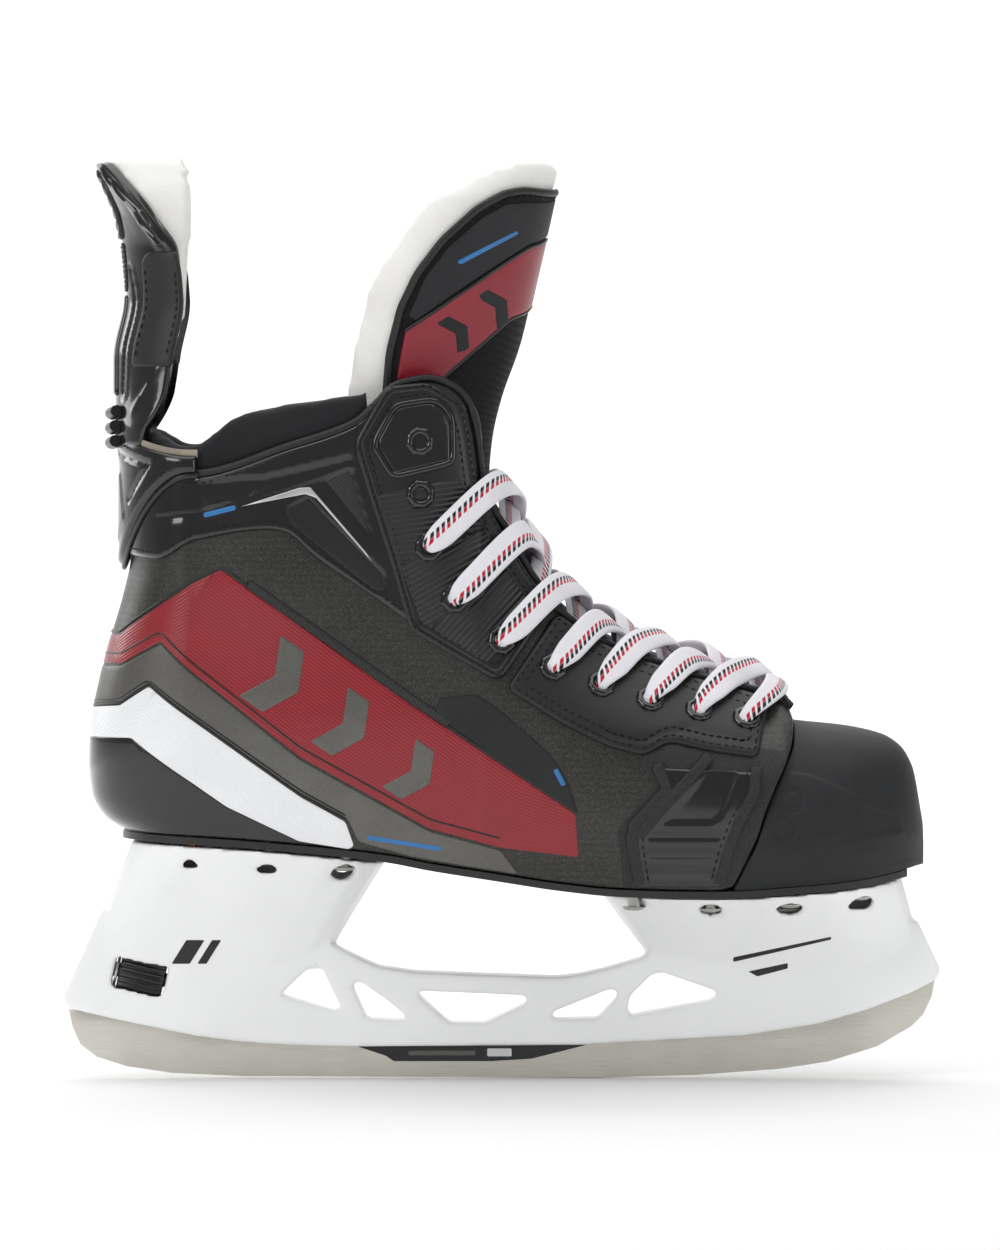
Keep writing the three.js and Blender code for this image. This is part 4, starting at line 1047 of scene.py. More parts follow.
@lru_cache
def use_group() -> bpy.types.NodeTree:
    """Signs of use: edges rubbed bare, dust in the corners, and smears that dull the gloss.

    Returns:
        The group's tree.
    """
    graph = new_group("use", {"Vector": ("Vector", 0), "Wear": ("Float", 0), "Dust": ("Float", 0)},
                      ["Edge", "Dust", "Smear"])
    source = graph.tree.nodes.new("NodeGroupInput")
    bend = graph.add("NewGeometry").outputs["Pointiness"]
    rough = graph.add("TexNoise", {"Vector": source.outputs["Vector"], "Scale": 0.35, "Detail": 6.0}).outputs[0]
    cloudy = graph.add("TexNoise", {"Vector": source.outputs["Vector"], "Scale": 0.03, "Detail": 3.0}).outputs[0]
    edge = graph.add("MapRange", {0: bend, 1: 0.55, 2: 0.68}).outputs[0]
    hollow = graph.add("MapRange", {0: bend, 1: 0.49, 2: 0.4}).outputs[0]
    broken = graph.add("MapRange", {0: rough, 1: 0.4, 2: 0.6}).outputs[0]
    out = graph.tree.nodes.new("NodeGroupOutput")
    worn = graph.math("MULTIPLY", graph.math("MULTIPLY", edge, broken), source.outputs["Wear"])
    dusty = graph.math("MULTIPLY", graph.math("MULTIPLY_ADD", hollow, 0.8, graph.math("MULTIPLY", rough, 0.2)),
                       source.outputs["Dust"])
    graph.tree.links.new(worn, out.inputs["Edge"])
    graph.tree.links.new(dusty, out.inputs["Dust"])
    graph.tree.links.new(cloudy, out.inputs["Smear"])
    return graph.tree


class Place(Enum):
    """What a finish's pattern follows."""

    SKIN = "the piece's own coordinates"
    SPACE = "the frame"


class Motif(Enum):
    """A pattern that only one finish has."""

    NONE = "none"
    TRACER = "coloured tracer threads along the lace"
    # metal flakes: partly the flakes' own colour, partly painted glints
    SPARKLE = "metal flakes"
    BRUSHED = "brushing along the runner"


@dataclass(frozen=True)
class Finish:
    """One finish of the skate, and the numbers that make it.

    Attributes:
        name: the finish's name.
        colour: red, green and blue, from 0 to 255.
        roughness: of the surface under any coat.
        metallic: 1 on bare metal.
        coat: weight of the clear coat.
        coat_roughness: of that coat.
        sheen: weight of the cloth sheen.
        specular: the surface's reflectance.
        place: what the patterns follow.
        grain: size and depth of the grain in millimetres.
        weave: pitch and depth of the twill in millimetres; the threads of one direction carry painted shade.
        ribs: pitch, depth and slant in degrees of the ribs.
        variation: how far the tone wanders.
        fleck: how far the grain's high points lighten.
        shade: how far the painted shade darkens the hollows between ribs.
        wear: how far edges are rubbed.
        dust: how far corners hold dust.
        motif: a pattern of its own.
    """

    name: str
    colour: tuple[int, int, int]
    roughness: float
    metallic: float = 0.0
    coat: float = 0.0
    coat_roughness: float = 0.08
    sheen: float = 0.0
    specular: float = 0.5
    place: Place = Place.SPACE
    grain: tuple[float, float] = (0.6, 0.02)
    weave: tuple[float, float] | None = None
    ribs: tuple[float, float, float] | None = None
    variation: float = 0.12
    fleck: float = 0.0
    shade: float = 0.3
    wear: float = 0.25
    dust: float = 0.15
    motif: Motif = Motif.NONE

    def material(self) -> bpy.types.Material:
        """The finish as a material, made once.

        Returns:
            The material.
        """
        label = f"skate_{self.name}"
        found = bpy.data.materials.get(label)
        if found:
            return found
        made = bpy.data.materials.new(label)
        made.use_nodes = True
        made.node_tree.nodes.clear()
        self.fill(Graph(made.node_tree))
        return made

    def fill(self, graph: Graph) -> None:
        """Builds the material's nodes.

        Args:
            graph: the material's graph.
        """
        place = self.vector(graph)
        grain = graph.add("Group", node_tree=grain_group())
        graph.tree.links.new(place, grain.inputs["Vector"])
        grain.inputs["Size"].default_value = self.grain[0]
        use = graph.add("Group", node_tree=use_group())
        graph.tree.links.new(place, use.inputs["Vector"])
        use.inputs["Wear"].default_value = self.wear
        use.inputs["Dust"].default_value = self.dust
        height = graph.math("MULTIPLY", grain.outputs["Height"], self.grain[1])
        base = linear(*self.colour)
        dark = tuple(c * (1 - self.variation) for c in base[:3]) + (1.0,)
        light = tuple(min(1.0, c * (1 + self.variation)) for c in base[:3]) + (1.0,)
        colour = self.mix(graph, grain.outputs["Tone"], dark, light)
        if self.fleck:
            pale = tuple(c + self.fleck * (1 - c) for c in base[:3]) + (1.0,)
            colour = self.mix(graph, grain.outputs["Fleck"], colour, pale)
        if self.weave:
            weave = graph.add("Group", node_tree=weave_group())
            graph.tree.links.new(place, weave.inputs["Vector"])
            weave.inputs["Pitch"].default_value = self.weave[0]
            height = graph.math("MULTIPLY_ADD", weave.outputs["Height"], self.weave[1], height)
            # painted shade: threads running one way are darkened 35% towards black, standing in for how light falls on
            # the crossing threads
            painted_shade = graph.add("Mix", {0: 0.35, 6: colour, 7: (0.0, 0.0, 0.0, 1.0)}, data_type="RGBA").outputs[2]
            colour = self.mix(graph, weave.outputs["Thread"], painted_shade, colour)
        if self.ribs:
            ribs = graph.add("Group", node_tree=ribs_group())
            graph.tree.links.new(place, ribs.inputs["Vector"])
            ribs.inputs["Pitch"].default_value = self.ribs[0]
            ribs.inputs["Slant"].default_value = math.radians(self.ribs[2])
            height = graph.math("MULTIPLY_ADD", ribs.outputs["Height"], self.ribs[1], height)
            # painted shade: the hollows between ribs are darkened towards black by the share in shade
            painted_shade = graph.add("Mix", {0: self.shade, 6: colour, 7: (0.0, 0.0, 0.0, 1.0)}, data_type="RGBA").outputs[2]
            colour = self.mix(graph, ribs.outputs["Height"], painted_shade, colour)
        roughness: object = graph.math("MULTIPLY_ADD", use.outputs["Smear"], 0.2, self.roughness - 0.1)
        roughness = graph.math("MULTIPLY_ADD", use.outputs["Edge"], 0.25, roughness)
        colour, roughness, height = self.add_motif(graph, place, colour, roughness, height)
        rubbed = tuple(c + 0.06 * (1 - c) for c in base[:3]) + (1.0,)
        colour = self.mix(graph, use.outputs["Edge"], colour, rubbed)
        colour = self.mix(graph, use.outputs["Dust"], colour, linear(92, 90, 86))
        bump = graph.add("Bump", {"Height": height, "Distance": MM, "Strength": 1.0})
        shader = graph.add("BsdfPrincipled", {
            "Base Color": colour, "Roughness": roughness, "Metallic": self.metallic,
            "Coat Weight": self.coat, "Coat Roughness": self.coat_roughness,
            "Sheen Weight": self.sheen, "Specular IOR Level": self.specular, "Normal": bump.outputs[0],
        })
        out = graph.add("OutputMaterial")
        graph.tree.links.new(shader.outputs[0], out.inputs[0])

    def vector(self, graph: Graph) -> bpy.types.NodeSocket:
        """The coordinates that the patterns follow, in millimetres.

        Args:
            graph: the material's graph.

        Returns:
            The output that holds them.
        """
        if self.place is Place.SKIN:
            source = graph.add("UVMap", uv_map=SKIN_UV).outputs[0]
            factor = 1 / UV_PER_MM
        else:
            source = graph.add("TexCoord").outputs["Object"]
            factor = 1 / MM
        return graph.add("VectorMath", {0: source, "Scale": factor}, operation="SCALE").outputs[0]

    def mix(self, graph: Graph, share: object, a: object, b: object) -> bpy.types.NodeSocket:
        """One colour turning into another by a share."""
        return graph.add("Mix", {0: share, 6: a, 7: b}, data_type="RGBA", clamp_factor=True).outputs[2]

    def add_motif(self, graph: Graph, place: object, colour: object, roughness: object,
                  height: object) -> tuple[object, object, object]:
        """Adds the finish's own pattern.

        Args:
            graph: the material's nodes.
            place: the coordinates in millimetres.
            colour: the colour so far.
            roughness: the roughness so far.
            height: the height so far.

        Returns:
            The colour, roughness and height with the pattern.
        """
        if self.motif is Motif.SPARKLE:
            # painted glints: lighter cells in the colour stand partly for the flakes' own colour and partly for light
            # caught by them
            flake = graph.add("TexVoronoi", {"Vector": place, "Scale": 3.2}).outputs["Color"]
            bright = graph.add("SeparateXYZ", {0: flake}).outputs[0]
            shine = graph.add("MapRange", {0: bright, 1: 0.55, 2: 1.0}).outputs[0]
            colour = self.mix(graph, graph.math("MULTIPLY", shine, 0.1), colour, linear(178, 172, 158))
        if self.motif is Motif.BRUSHED:
            spread = graph.add("VectorMath", {0: place, 1: (0.02, 1.0, 1.5)}, operation="MULTIPLY").outputs[0]
            lines = graph.add("TexNoise", {"Vector": spread, "Scale": 4.0, "Detail": 5.0}).outputs[0]
            roughness = graph.math("MULTIPLY_ADD", lines, 0.25, roughness)
            height = graph.math("MULTIPLY_ADD", lines, 0.02, height)
            colour = self.mix(graph, graph.math("MULTIPLY", lines, 0.4), colour, linear(120, 117, 108))
        if self.motif is Motif.TRACER:
            colour, height = self.tracer(graph, place, colour, height)
        return colour, roughness, height

    def tracer(self, graph: Graph, place: object, colour: object, height: object) -> tuple[object, object]:
        """Red and black threads that run along the lace, off its middle, over its knitted rows.

        Args:
            graph: the material's nodes.
            place: along and across the lace, in millimetres.
            colour: the colour so far.
            height: the height so far.

        Returns:
            The colour and height with the threads.
        """
        parts = graph.add("SeparateXYZ", {0: place})
        along, across = parts.outputs[0], parts.outputs[1]
        for offset, paint in ((0.7, linear(196, 20, 48)), (2.0, linear(14, 14, 18))):
            slant = graph.math("MULTIPLY_ADD", across, 0.9, along)
            dash = graph.math("LESS_THAN", graph.math("FLOORED_MODULO", graph.math("DIVIDE", slant, 2.5), 1.0), 0.6)
            line = graph.math("LESS_THAN", graph.math("ABSOLUTE", graph.math("SUBTRACT", across, offset)), 0.62)
            colour = self.mix(graph, graph.math("MULTIPLY", dash, line), colour, paint)
        rows = graph.math("SINE", graph.math("MULTIPLY", graph.math("ADD", along, graph.math("ABSOLUTE", across)), 6.5))
        columns = graph.math("SINE", graph.math("MULTIPLY", across, 8.5))
        knit = graph.math("MULTIPLY", rows, columns)
        return colour, graph.math("MULTIPLY_ADD", knit, 0.07, height)


FINISHES = {
    f.name: f
    for f in (
        Finish("shell_twill", (34, 33, 29), 0.42, metallic=0.2, coat=0.25, coat_roughness=0.25, place=Place.SKIN,
               weave=(0.75, 0.03), grain=(0.5, 0.01), motif=Motif.SPARKLE, wear=0.1),
        Finish("red_film", (150, 6, 26), 0.34, coat=0.35, coat_roughness=0.15, place=Place.SKIN,
               ribs=(1.05, 0.09, 0.0), variation=0.05, wear=0.05, dust=0.02, shade=0.25),
        Finish("silver_film", (98, 97, 93), 0.42, metallic=0.6, coat=0.3, coat_roughness=0.2,
               motif=Motif.SPARKLE, variation=0.08, wear=0.05, dust=0.02),
        Finish("white_film", (246, 247, 249), 0.4, coat=0.3, coat_roughness=0.15, place=Place.SKIN,
               ribs=(1.15, 0.1, 0.0), variation=0.02, wear=0.0, dust=0.03, shade=0.06),
        Finish("black_gloss", (7, 7, 8), 0.2, coat=0.6, coat_roughness=0.06, grain=(1.4, 0.01), wear=0.1, dust=0.06),
        Finish("black_satin", (13, 13, 15), 0.38, coat=0.2, coat_roughness=0.2, grain=(0.5, 0.03), wear=0.12,
               dust=0.08),
        Finish("black_rib", (13, 13, 14), 0.42, coat=0.15, place=Place.SKIN, ribs=(1.7, 0.3, 90.0), dust=0.08),
        Finish("black_fine_rib", (12, 12, 13), 0.45, coat=0.1, place=Place.SKIN, ribs=(1.0, 0.12, 90.0), dust=0.08),
        Finish("black_grit", (12, 12, 13), 0.5, grain=(0.55, 0.2), fleck=0.05, dust=0.08),
        Finish("black_leather", (19, 19, 21), 0.5, grain=(1.0, 0.07), coat=0.08, coat_roughness=0.3, dust=0.08),
        Finish("black_matte", (34, 35, 37), 0.62, grain=(0.45, 0.03), wear=0.1, specular=0.35, dust=0.08),
        Finish("tongue_cloth", (11, 11, 13), 0.85, sheen=0.1, place=Place.SKIN, weave=(0.8, 0.12), specular=0.3),
        Finish("tongue_grey", (32, 33, 36), 0.55, grain=(0.4, 0.03), specular=0.35),
        Finish("tongue_red", (140, 12, 34), 0.4, coat=0.2, grain=(0.5, 0.02), variation=0.05, dust=0.02),
        Finish("collar_lining", (22, 23, 26), 0.8, sheen=0.15, grain=(0.7, 0.1), specular=0.3),
        Finish("white_felt", (248, 247, 243), 0.95, sheen=0.3, grain=(0.9, 0.22), variation=0.03, wear=0.0, dust=0.05),
        Finish("lace_knit", (240, 238, 244), 0.85, sheen=0.2, place=Place.SKIN, grain=(0.5, 0.04), variation=0.02,
               wear=0.0, dust=0.03, motif=Motif.TRACER),
        Finish("thread", (6, 6, 7), 0.6, grain=(0.3, 0.05), specular=0.3),
        Finish("holder_nylon", (250, 251, 251), 0.32, grain=(0.8, 0.012), specular=0.5, variation=0.015, wear=0.0,
               dust=0.06),
        Finish("runner_steel", (230, 227, 218), 0.34, metallic=1.0, variation=0.03, motif=Motif.BRUSHED, wear=0.0,
               dust=0.03),
        Finish("rivet_steel", (178, 176, 172), 0.3, metallic=1.0, wear=0.1),
        Finish("rivet_copper", (205, 130, 92), 0.28, metallic=1.0, wear=0.1),
        Finish("eyelet_enamel", (8, 8, 9), 0.16, coat=0.6, coat_roughness=0.05, grain=(0.7, 0.02), wear=0.2, dust=0.05),
        Finish("print_black", (12, 12, 13), 0.4, coat=0.2, dust=0.0),
        Finish("print_blue", (40, 112, 176), 0.4, coat=0.2, wear=0.0, dust=0.0),
        Finish("print_silver", (214, 214, 214), 0.28, metallic=0.7, coat=0.3, wear=0.0, dust=0.0),
        Finish("sole_carbon", (18, 18, 19), 0.4, coat=0.3, place=Place.SPACE, weave=(1.6, 0.04), dust=0.08),
        Finish("lining_beige", (150, 140, 124), 0.8, sheen=0.2, grain=(0.5, 0.06)),
    )
}


def dress(piece: bpy.types.Object, finish: str, slot: str, *replaced: str, body: str = "boot",
          smooth_levels: int = 0) -> bpy.types.Object:
    """Gives a piece its finish and its body, and hides the CAD nodes it stands for.

    Args:
        piece: the piece.
        finish: the finish's name.
        slot: the record's material slot; not used.
        replaced: the CAD nodes it stands for.
        body: the body that it rides on, or "" for a piece left on no body.
        smooth_levels: how many times it is subdivided.

    Returns:
        The piece.
    """
    piece.data.materials.clear()
    piece.data.materials.append(FINISHES[finish].material())
    if smooth_levels:
        piece.modifiers.new("smooth", "SUBSURF").levels = smooth_levels
        piece.modifiers["smooth"].render_levels = smooth_levels
    if body:
        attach(piece, body)
    if replaced:
        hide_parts(*replaced)
    log.info("%s: %d faces, %s, on %s", piece.name, len(piece.data.polygons), finish, body or "two bodies")
    return piece


# ------------------------------------------------------------------ Outlines used by several pieces
def strip(path: Outline, width: float) -> list[tuple[float, float]]:
    """The outline of a strip of even width along a path.

    Args:
        path: the strip's middle line.
        width: the strip's width.

    Returns:
        The closed outline.
    """
    knots = np.array(path, float)
    ahead = np.gradient(knots, axis=0)
    ahead /= np.linalg.norm(ahead, axis=1, keepdims=True)
    across = np.stack([-ahead[:, 1], ahead[:, 0]], axis=1) * width / 2
    return [tuple(p) for p in np.vstack([knots + across, (knots - across)[::-1]])]


def shrunk(outline: Outline, inset: float, step: float = 1.5) -> np.ndarray:
    """A closed line that runs inside an outline.

    Args:
        outline: the closed outline.
        inset: how far inside it the line runs.
        step: the gap between the line's points.

    Returns:
        The line's points, the first one again at the end.
    """
    ring = resampled(rounded(outline, 2.0), step, closed=True)
    ring = ring[np.linalg.norm(ring - np.roll(ring, 1, axis=0), axis=1) > 0.2 * step]
    ahead = np.roll(ring, -1, axis=0) - np.roll(ring, 1, axis=0)
    ahead /= np.maximum(np.linalg.norm(ahead, axis=1, keepdims=True), 1e-9)
    area = np.sum(ring[:, 0] * np.roll(ring[:, 1], -1) - np.roll(ring[:, 0], -1) * ring[:, 1])
    moved = ring + np.stack([-ahead[:, 1], ahead[:, 0]], axis=1) * np.sign(area) * inset
    clear = segment_distance(*moved.T, ring, closed=True) > 0.93 * inset
    kept = moved[clear]
    return np.vstack([kept, kept[:1]])


def plateau(outline: Outline, rise: float, slope: float = 1.2) -> Height:
    """Relief that stands up inside an outline, the same on both sides of the boot.

    Args:
        outline: the closed outline on the outer side.
        rise: how far it stands up.
        slope: how wide its edge is.

    Returns:
        The relief.
    """
    def height(a: np.ndarray, b: np.ndarray) -> np.ndarray:
        """The rise at each coordinate."""
        return rise * smoothstep(signed_distance(np.abs(a), b, outline), -slope / 2, slope / 2)

    return height


def ridge(line: Outline, rise: float, width: float) -> Height:
    """Relief that follows a line, up or, where the rise is negative, down.

    Args:
        line: the relief's middle line on the outer side.
        rise: how far it stands up.
        width: how wide it is.

    Returns:
        The relief.
    """
    def height(a: np.ndarray, b: np.ndarray) -> np.ndarray:
        """The rise at each coordinate."""
        return rise * np.exp(-((segment_distance(np.abs(a), b, line) / (width / 2)) ** 2))

    return height


def total(*parts: Height) -> Height:
    """Several reliefs added together."""
    return lambda a, b: sum(part(a, b) for part in parts)


def tags(side: Side) -> str:
    """A side's name as it stands in a node's name."""
    return side.name.lower()


def collar_run(drop: float, front: float) -> list[tuple[float, float]]:
    """Unrolled points under the collar seam, from the back seam forward, on the inner side."""
    return [(u - HEEL_SEAM, float(collar_seam(u)) - drop) for u in np.linspace(HEEL_SEAM, front, 40)]


def both_ways(half: Outline) -> list[tuple[float, float]]:
    """A line from the back seam forward, joined to its mirror image on the outer side."""
    return [(-a, b) for a, b in reversed(half)] + list(half)[1:]


# ------------------------------------------------------------------ Boot shell and its bands
@dataclass
class BootShell:
    """The one-piece composite shell, with the coloured films laid on it."""

    wall: float = 2.6
    film: float = 0.25
    line_width: float = 0.7
    block_length: float = 17.0
    block_height: float = 24.0
    block_pitch: float = 27.0
    red_top: Outline = ((-135.7, 144.6), (-128.5, 146.2), (-125.3, 146.2), (-91.5, 168), (-29.4, 124.2), (23.6, 89.4))
    red_low: Outline = (
        (-134.1, 136.5), (-124.3, 137.2), (-111.3, 144.6), (-65.8, 107.2), (-23.6, 83.9), (-0.8, 78), (24.8, 75.2),
    )
    white_top: Outline = (
        (-135.7, 121.9), (-125, 123.5), (-115.2, 130), (-65.8, 94.2), (-51.2, 86.1), (-48.5, 78.2),
    )
    white_low: Outline = ((-136.3, 112.1), (-133.4, 112.8), (-121.1, 113.1), (-90.2, 91), (-66.5, 79.6))

    def build(self) -> None:
        """Builds the shell, its films, lines and blocks."""
        self.shell()
        self.bands()
        self.lines()
        for side in Side:
            self.patch(side)
            self.blocks(side)

    def shell(self) -> None:
        """The shell itself, from the sole line up to the collar seam and the throat."""
        us = np.concatenate([np.arange(HEEL_SEAM, HEEL_TURN, 3.0), np.arange(HEEL_TURN, 95.4, 2.5)])
        upper = [(u - HEEL_SEAM, float(shell_top(u))) for u in us]
        front = [(float(toe_join(z)) - HEEL_SEAM, z) for z in np.linspace(119, 66, 14)]
        lower = [(u - HEEL_SEAM, float(sole_line(u))) for u in us[us < 72][::-1]]
        half = upper + front + lower
        other = [(-a, b) for a, b in half[::-1]]
        outline = half[:-1] + other[:-1]
        lip = 0.6
        made = Panel("boot_shell", SKIN, outline, lip, base=-lip, under=self.wall - lip, edge=0.8, corner=0.6,
                     spacing=1.9).build()
        dress(made, "shell_twill", "shell_weave", "boot_shell")

    def bands(self) -> None:
        """The red, silver, white and black films that wrap the heel."""
        red = band_coordinates(SKIN.unrolled([(-125, 141.5), (-101.5, 156.5), (-47, 115.5), (0, 84), (25, 76)]))
        white = band_coordinates(SKIN.unrolled([(-125, 118), (-118.5, 121.5), (-79, 93), (-57, 78)]))
        silver_low = [(x, z + 1.3) for x, z in self.white_top[:-2]] + [(-50.5, 87.2), (-47, 79.6)]
        silver_low += [(x, float(sole_line(x)) + 0.8) for x in (-30, -10, 5)]
        silver_top = [(x, z - 0.9) for x, z in self.red_low[:-1]]
        sole = [(x, float(sole_line(x)) + 0.5) for x in (-118, -100, -85, -68)]
        films = (
            ("band_red", round_heel(self.red_top, self.red_low), red, "red_film", "black_gloss"),
            ("band_silver", round_heel(silver_top, silver_low), None, "silver_film", "shell_weave"),
            ("band_white", round_heel(self.white_top, list(self.white_low) + [(-50, 77)]), white, "white_film",
             "holder_nylon"),
            ("heel_counter", round_heel(self.white_low, [(-131.5, 87), (-126, 83.2)] + sole), None, "black_gloss",
             "black_gloss"),
        )
        for name, outline, coordinates, finish, slot in films:
            made = Panel(name, SKIN, outline, self.film, edge=0.35, corner=1.0, spacing=1.6,
                         coordinates=coordinates, under=0.4).build()
            dress(made, finish, slot)

    def lines(self) -> None:
        """The thin raised lines that edge the bands."""
        def moved(line: Outline, rise: float) -> list[tuple[float, float]]:
            """A line shifted up or down, from the back seam forward."""
            made = SKIN.unrolled([(x, z + rise) for x, z in line])
            return [(0.0, made[0][1])] + made[1:]

        runs = (
            moved(self.red_top, 1.0),
            moved(self.red_low[:-1], 3.2),
            moved(self.white_top[:-1], 0.7),
            moved(self.white_top[:-1], 2.2),
        )
        beads = [
            make_piping(f"line_{i}", SKIN, both_ways(run), self.line_width, 0.5, lift=0.2)
            for i, run in enumerate(runs)
        ]
        dress(joined("band_lines", beads), "print_black", "black_gloss")

    def patch(self, side: Side) -> None:
        """The ribbed strip over the red band's peak, and the matte flank panel ahead of it.

        Args:
            side: the side of the boot.
        """
        rib = on_side(SKIN.unrolled(strip([(-83, 163.8), (-60, 147.6), (-29.4, 126), (-17, 118)], 3.2)), side)
        follow = band_coordinates(SKIN.unrolled([(-91.5, 170), (-29.4, 126), (24, 91)]))
        made = Panel(f"flank_rib_{tags(side)}", SKIN, rib, 0.7, edge=0.8, spacing=1.0, coordinates=follow).build()
        dress(made, "black_fine_rib", "black_matte")
        corners = [(-22, 121.5), (-20.5, 126.6), (-8.6, 127.9), (-3, 124.5), (14.8, 109.4), (20.6, 101.5),
                   (24.6, 89.5), (-2, 107)]
        panel = on_side(SKIN.unrolled(corners), side)
        dress(Panel(f"flank_panel_{tags(side)}", SKIN, panel, 0.6, edge=0.6, spacing=1.4).build(), "black_matte",
              "black_matte")
        dash = on_side(SKIN.unrolled(strip([(17.2, 103.8), (20, 98.6)], 1.6)), side)
        dress(Panel(f"flank_dash_{tags(side)}", SKIN, dash, 0.12, base=0.62, edge=0.2, corner=0.5, under=0.3,
                    spacing=0.8).build(), "print_blue", "shell_weave")
        low = on_side(SKIN.unrolled(strip([(-44, 81), (-20, 77.4)], 1.4)), side)
        dress(Panel(f"sole_dash_{tags(side)}", SKIN, low, 0.12, base=0.25, edge=0.2, corner=0.5, under=0.4,
                    spacing=0.8).build(), "print_blue", "shell_weave")

    def blocks(self, side: Side) -> None:
        """A row of plain forward arrows on the red band.

        Args:
            side: the side of the boot.
        """
        start, run = np.array([-79.0, 137.0]), np.array([0.822, -0.569])
        up = np.array([-run[1], run[0]])
        half, length = self.block_height / 2, self.block_length
        tip = 0.5 * half
        stem = 0.55 * length
        shape = ((0, half), (stem, half), (stem + tip, 0), (stem, -half), (0, -half), (tip, 0))
        for i in range(3):
            size = 1.0 - 0.1 * i
            centre = start + run * self.block_pitch * i * 1.02
            corners = [tuple(centre + run * x * size + up * y * size) for x, y in shape]
            outline = on_side(SKIN.unrolled(corners), side)
            made = Panel(f"band_arrow_{tags(side)}_{i + 1}", SKIN, outline, 0.2, base=self.film, edge=0.3,
                         corner=0.8, under=0.3, spacing=1.3).build()
            dress(made, "silver_film", "shell_weave")


# ------------------------------------------------------------------ Ankle cuff and collar
@dataclass
class AnkleCuff:
    """The glossy cuff round the ankle, with its sewn borders and printed marks."""

    thickness: float = 1.2
    base: float = 0.3
    front: float = -29.0
    seam_drop: float = 1.5
    low: SmoothCurve = field(default_factory=lambda: SmoothCurve([
        (-134, 172), (-119, 171.3), (-100, 177.5), (-76, 181), (-70, 180), (-62, 173), (-41, 158.6), (-26, 148),
    ]))
    inset: Outline = (
        (-70.6, 187.6), (-63, 191.4), (-58.2, 186.1), (-38.6, 166.5), (-38.2, 161.4), (-42, 161.4), (-68.7, 182.8),
    )
    wedge: Outline = ((-57.5, 196.6), (-49.5, 200.4), (-43, 179))

    def build(self) -> None:
        """Builds the cuff, its inlays and its stitching."""
        upper = collar_run(self.seam_drop, self.front)
        lower = [(u - HEEL_SEAM, float(self.low(u))) for u in np.linspace(HEEL_SEAM, self.front, 44)]
        half = upper + lower[::-1]
        outline = half[:-1] + [(-a, b) for a, b in half[::-1]][:-1]
        relief = total(
            plateau(SKIN.unrolled([(-99, 196.5), (-77, 198), (-49, 204.5), (-47, 215), (-70, 207), (-99, 199)]), 0.5),
            ridge(SKIN.unrolled([(-96, 189), (-81, 191.6), (-49, 201.6)]), 0.35, 1.8),
            ridge(SKIN.unrolled([(-112, 184), (-96, 186), (-82, 192)]), -0.3, 2.2),
            plateau(SKIN.unrolled(self.inset), -0.4),
            plateau(SKIN.unrolled(self.wedge), -0.5),
        )
        made = Panel("ankle_cuff", SKIN, outline, self.thickness, base=self.base, under=1.2, edge=1.0, corner=1.5,
                     spacing=1.25, relief=relief).build()
        dress(made, "black_gloss", "black_gloss", "ankle_cuff")
        self.stitching(upper, lower)
        for side in Side:
            self.marks(side)

    def stitching(self, upper: Outline, lower: Outline) -> None:
        """Sews a row along the cuff's upper edge and one along its lower edge.

        Args:
            upper: the cuff's upper edge.
            lower: the cuff's lower edge.
        """
        over = both_ways([(a, b - 2.2) for a, b in upper])
        under = both_ways([(a, b + 2.3) for a, b in lower])
        made = make_stitches("cuff_stitching", SKIN, [over, under], lift=self.base + self.thickness)
        dress(made, "thread", "black_matte")

    def marks(self, side: Side) -> None:
        """The ribbed wedge, the black inlay, and the silver and blue strokes on one side.

        Args:
            side: the side of the boot.
        """
        top = self.base + self.thickness
        parts = (
            ("cuff_inlay", self.inset, 0.3, top - 0.45, "black_satin", None),
            ("cuff_wedge", self.wedge, 0.35, top - 0.55, "black_fine_rib",
             band_coordinates(SKIN.unrolled([(-57, 196), (-42, 178)]))),
            ("cuff_dash", strip([(-97, 185.4), (-86.5, 188)], 1.6), 0.15, top, "print_blue", None),
        )
        for name, corners, thickness, base, finish, coordinates in parts:
            outline = on_side(SKIN.unrolled(corners), side)
            made = Panel(f"{name}_{tags(side)}", SKIN, outline, thickness, base=base, edge=0.4, corner=0.8,
                         under=0.4, spacing=1.1, coordinates=coordinates).build()
            dress(made, finish, "black_gloss")
        stroke = [(-85, 188.2), (-64, 192.4), (-60.5, 191.2), (-42, 170.2), (-44.2, 173.6), (-62.4, 194.6),
                  (-66, 194.4)]
        outline = on_side(SKIN.unrolled(stroke), side)
        made = Panel(f"cuff_stroke_{tags(side)}", SKIN, outline, 0.18, base=top, edge=0.3, corner=0.6, under=0.5,
                     spacing=0.8).build()
        dress(made, "print_silver", "steel")


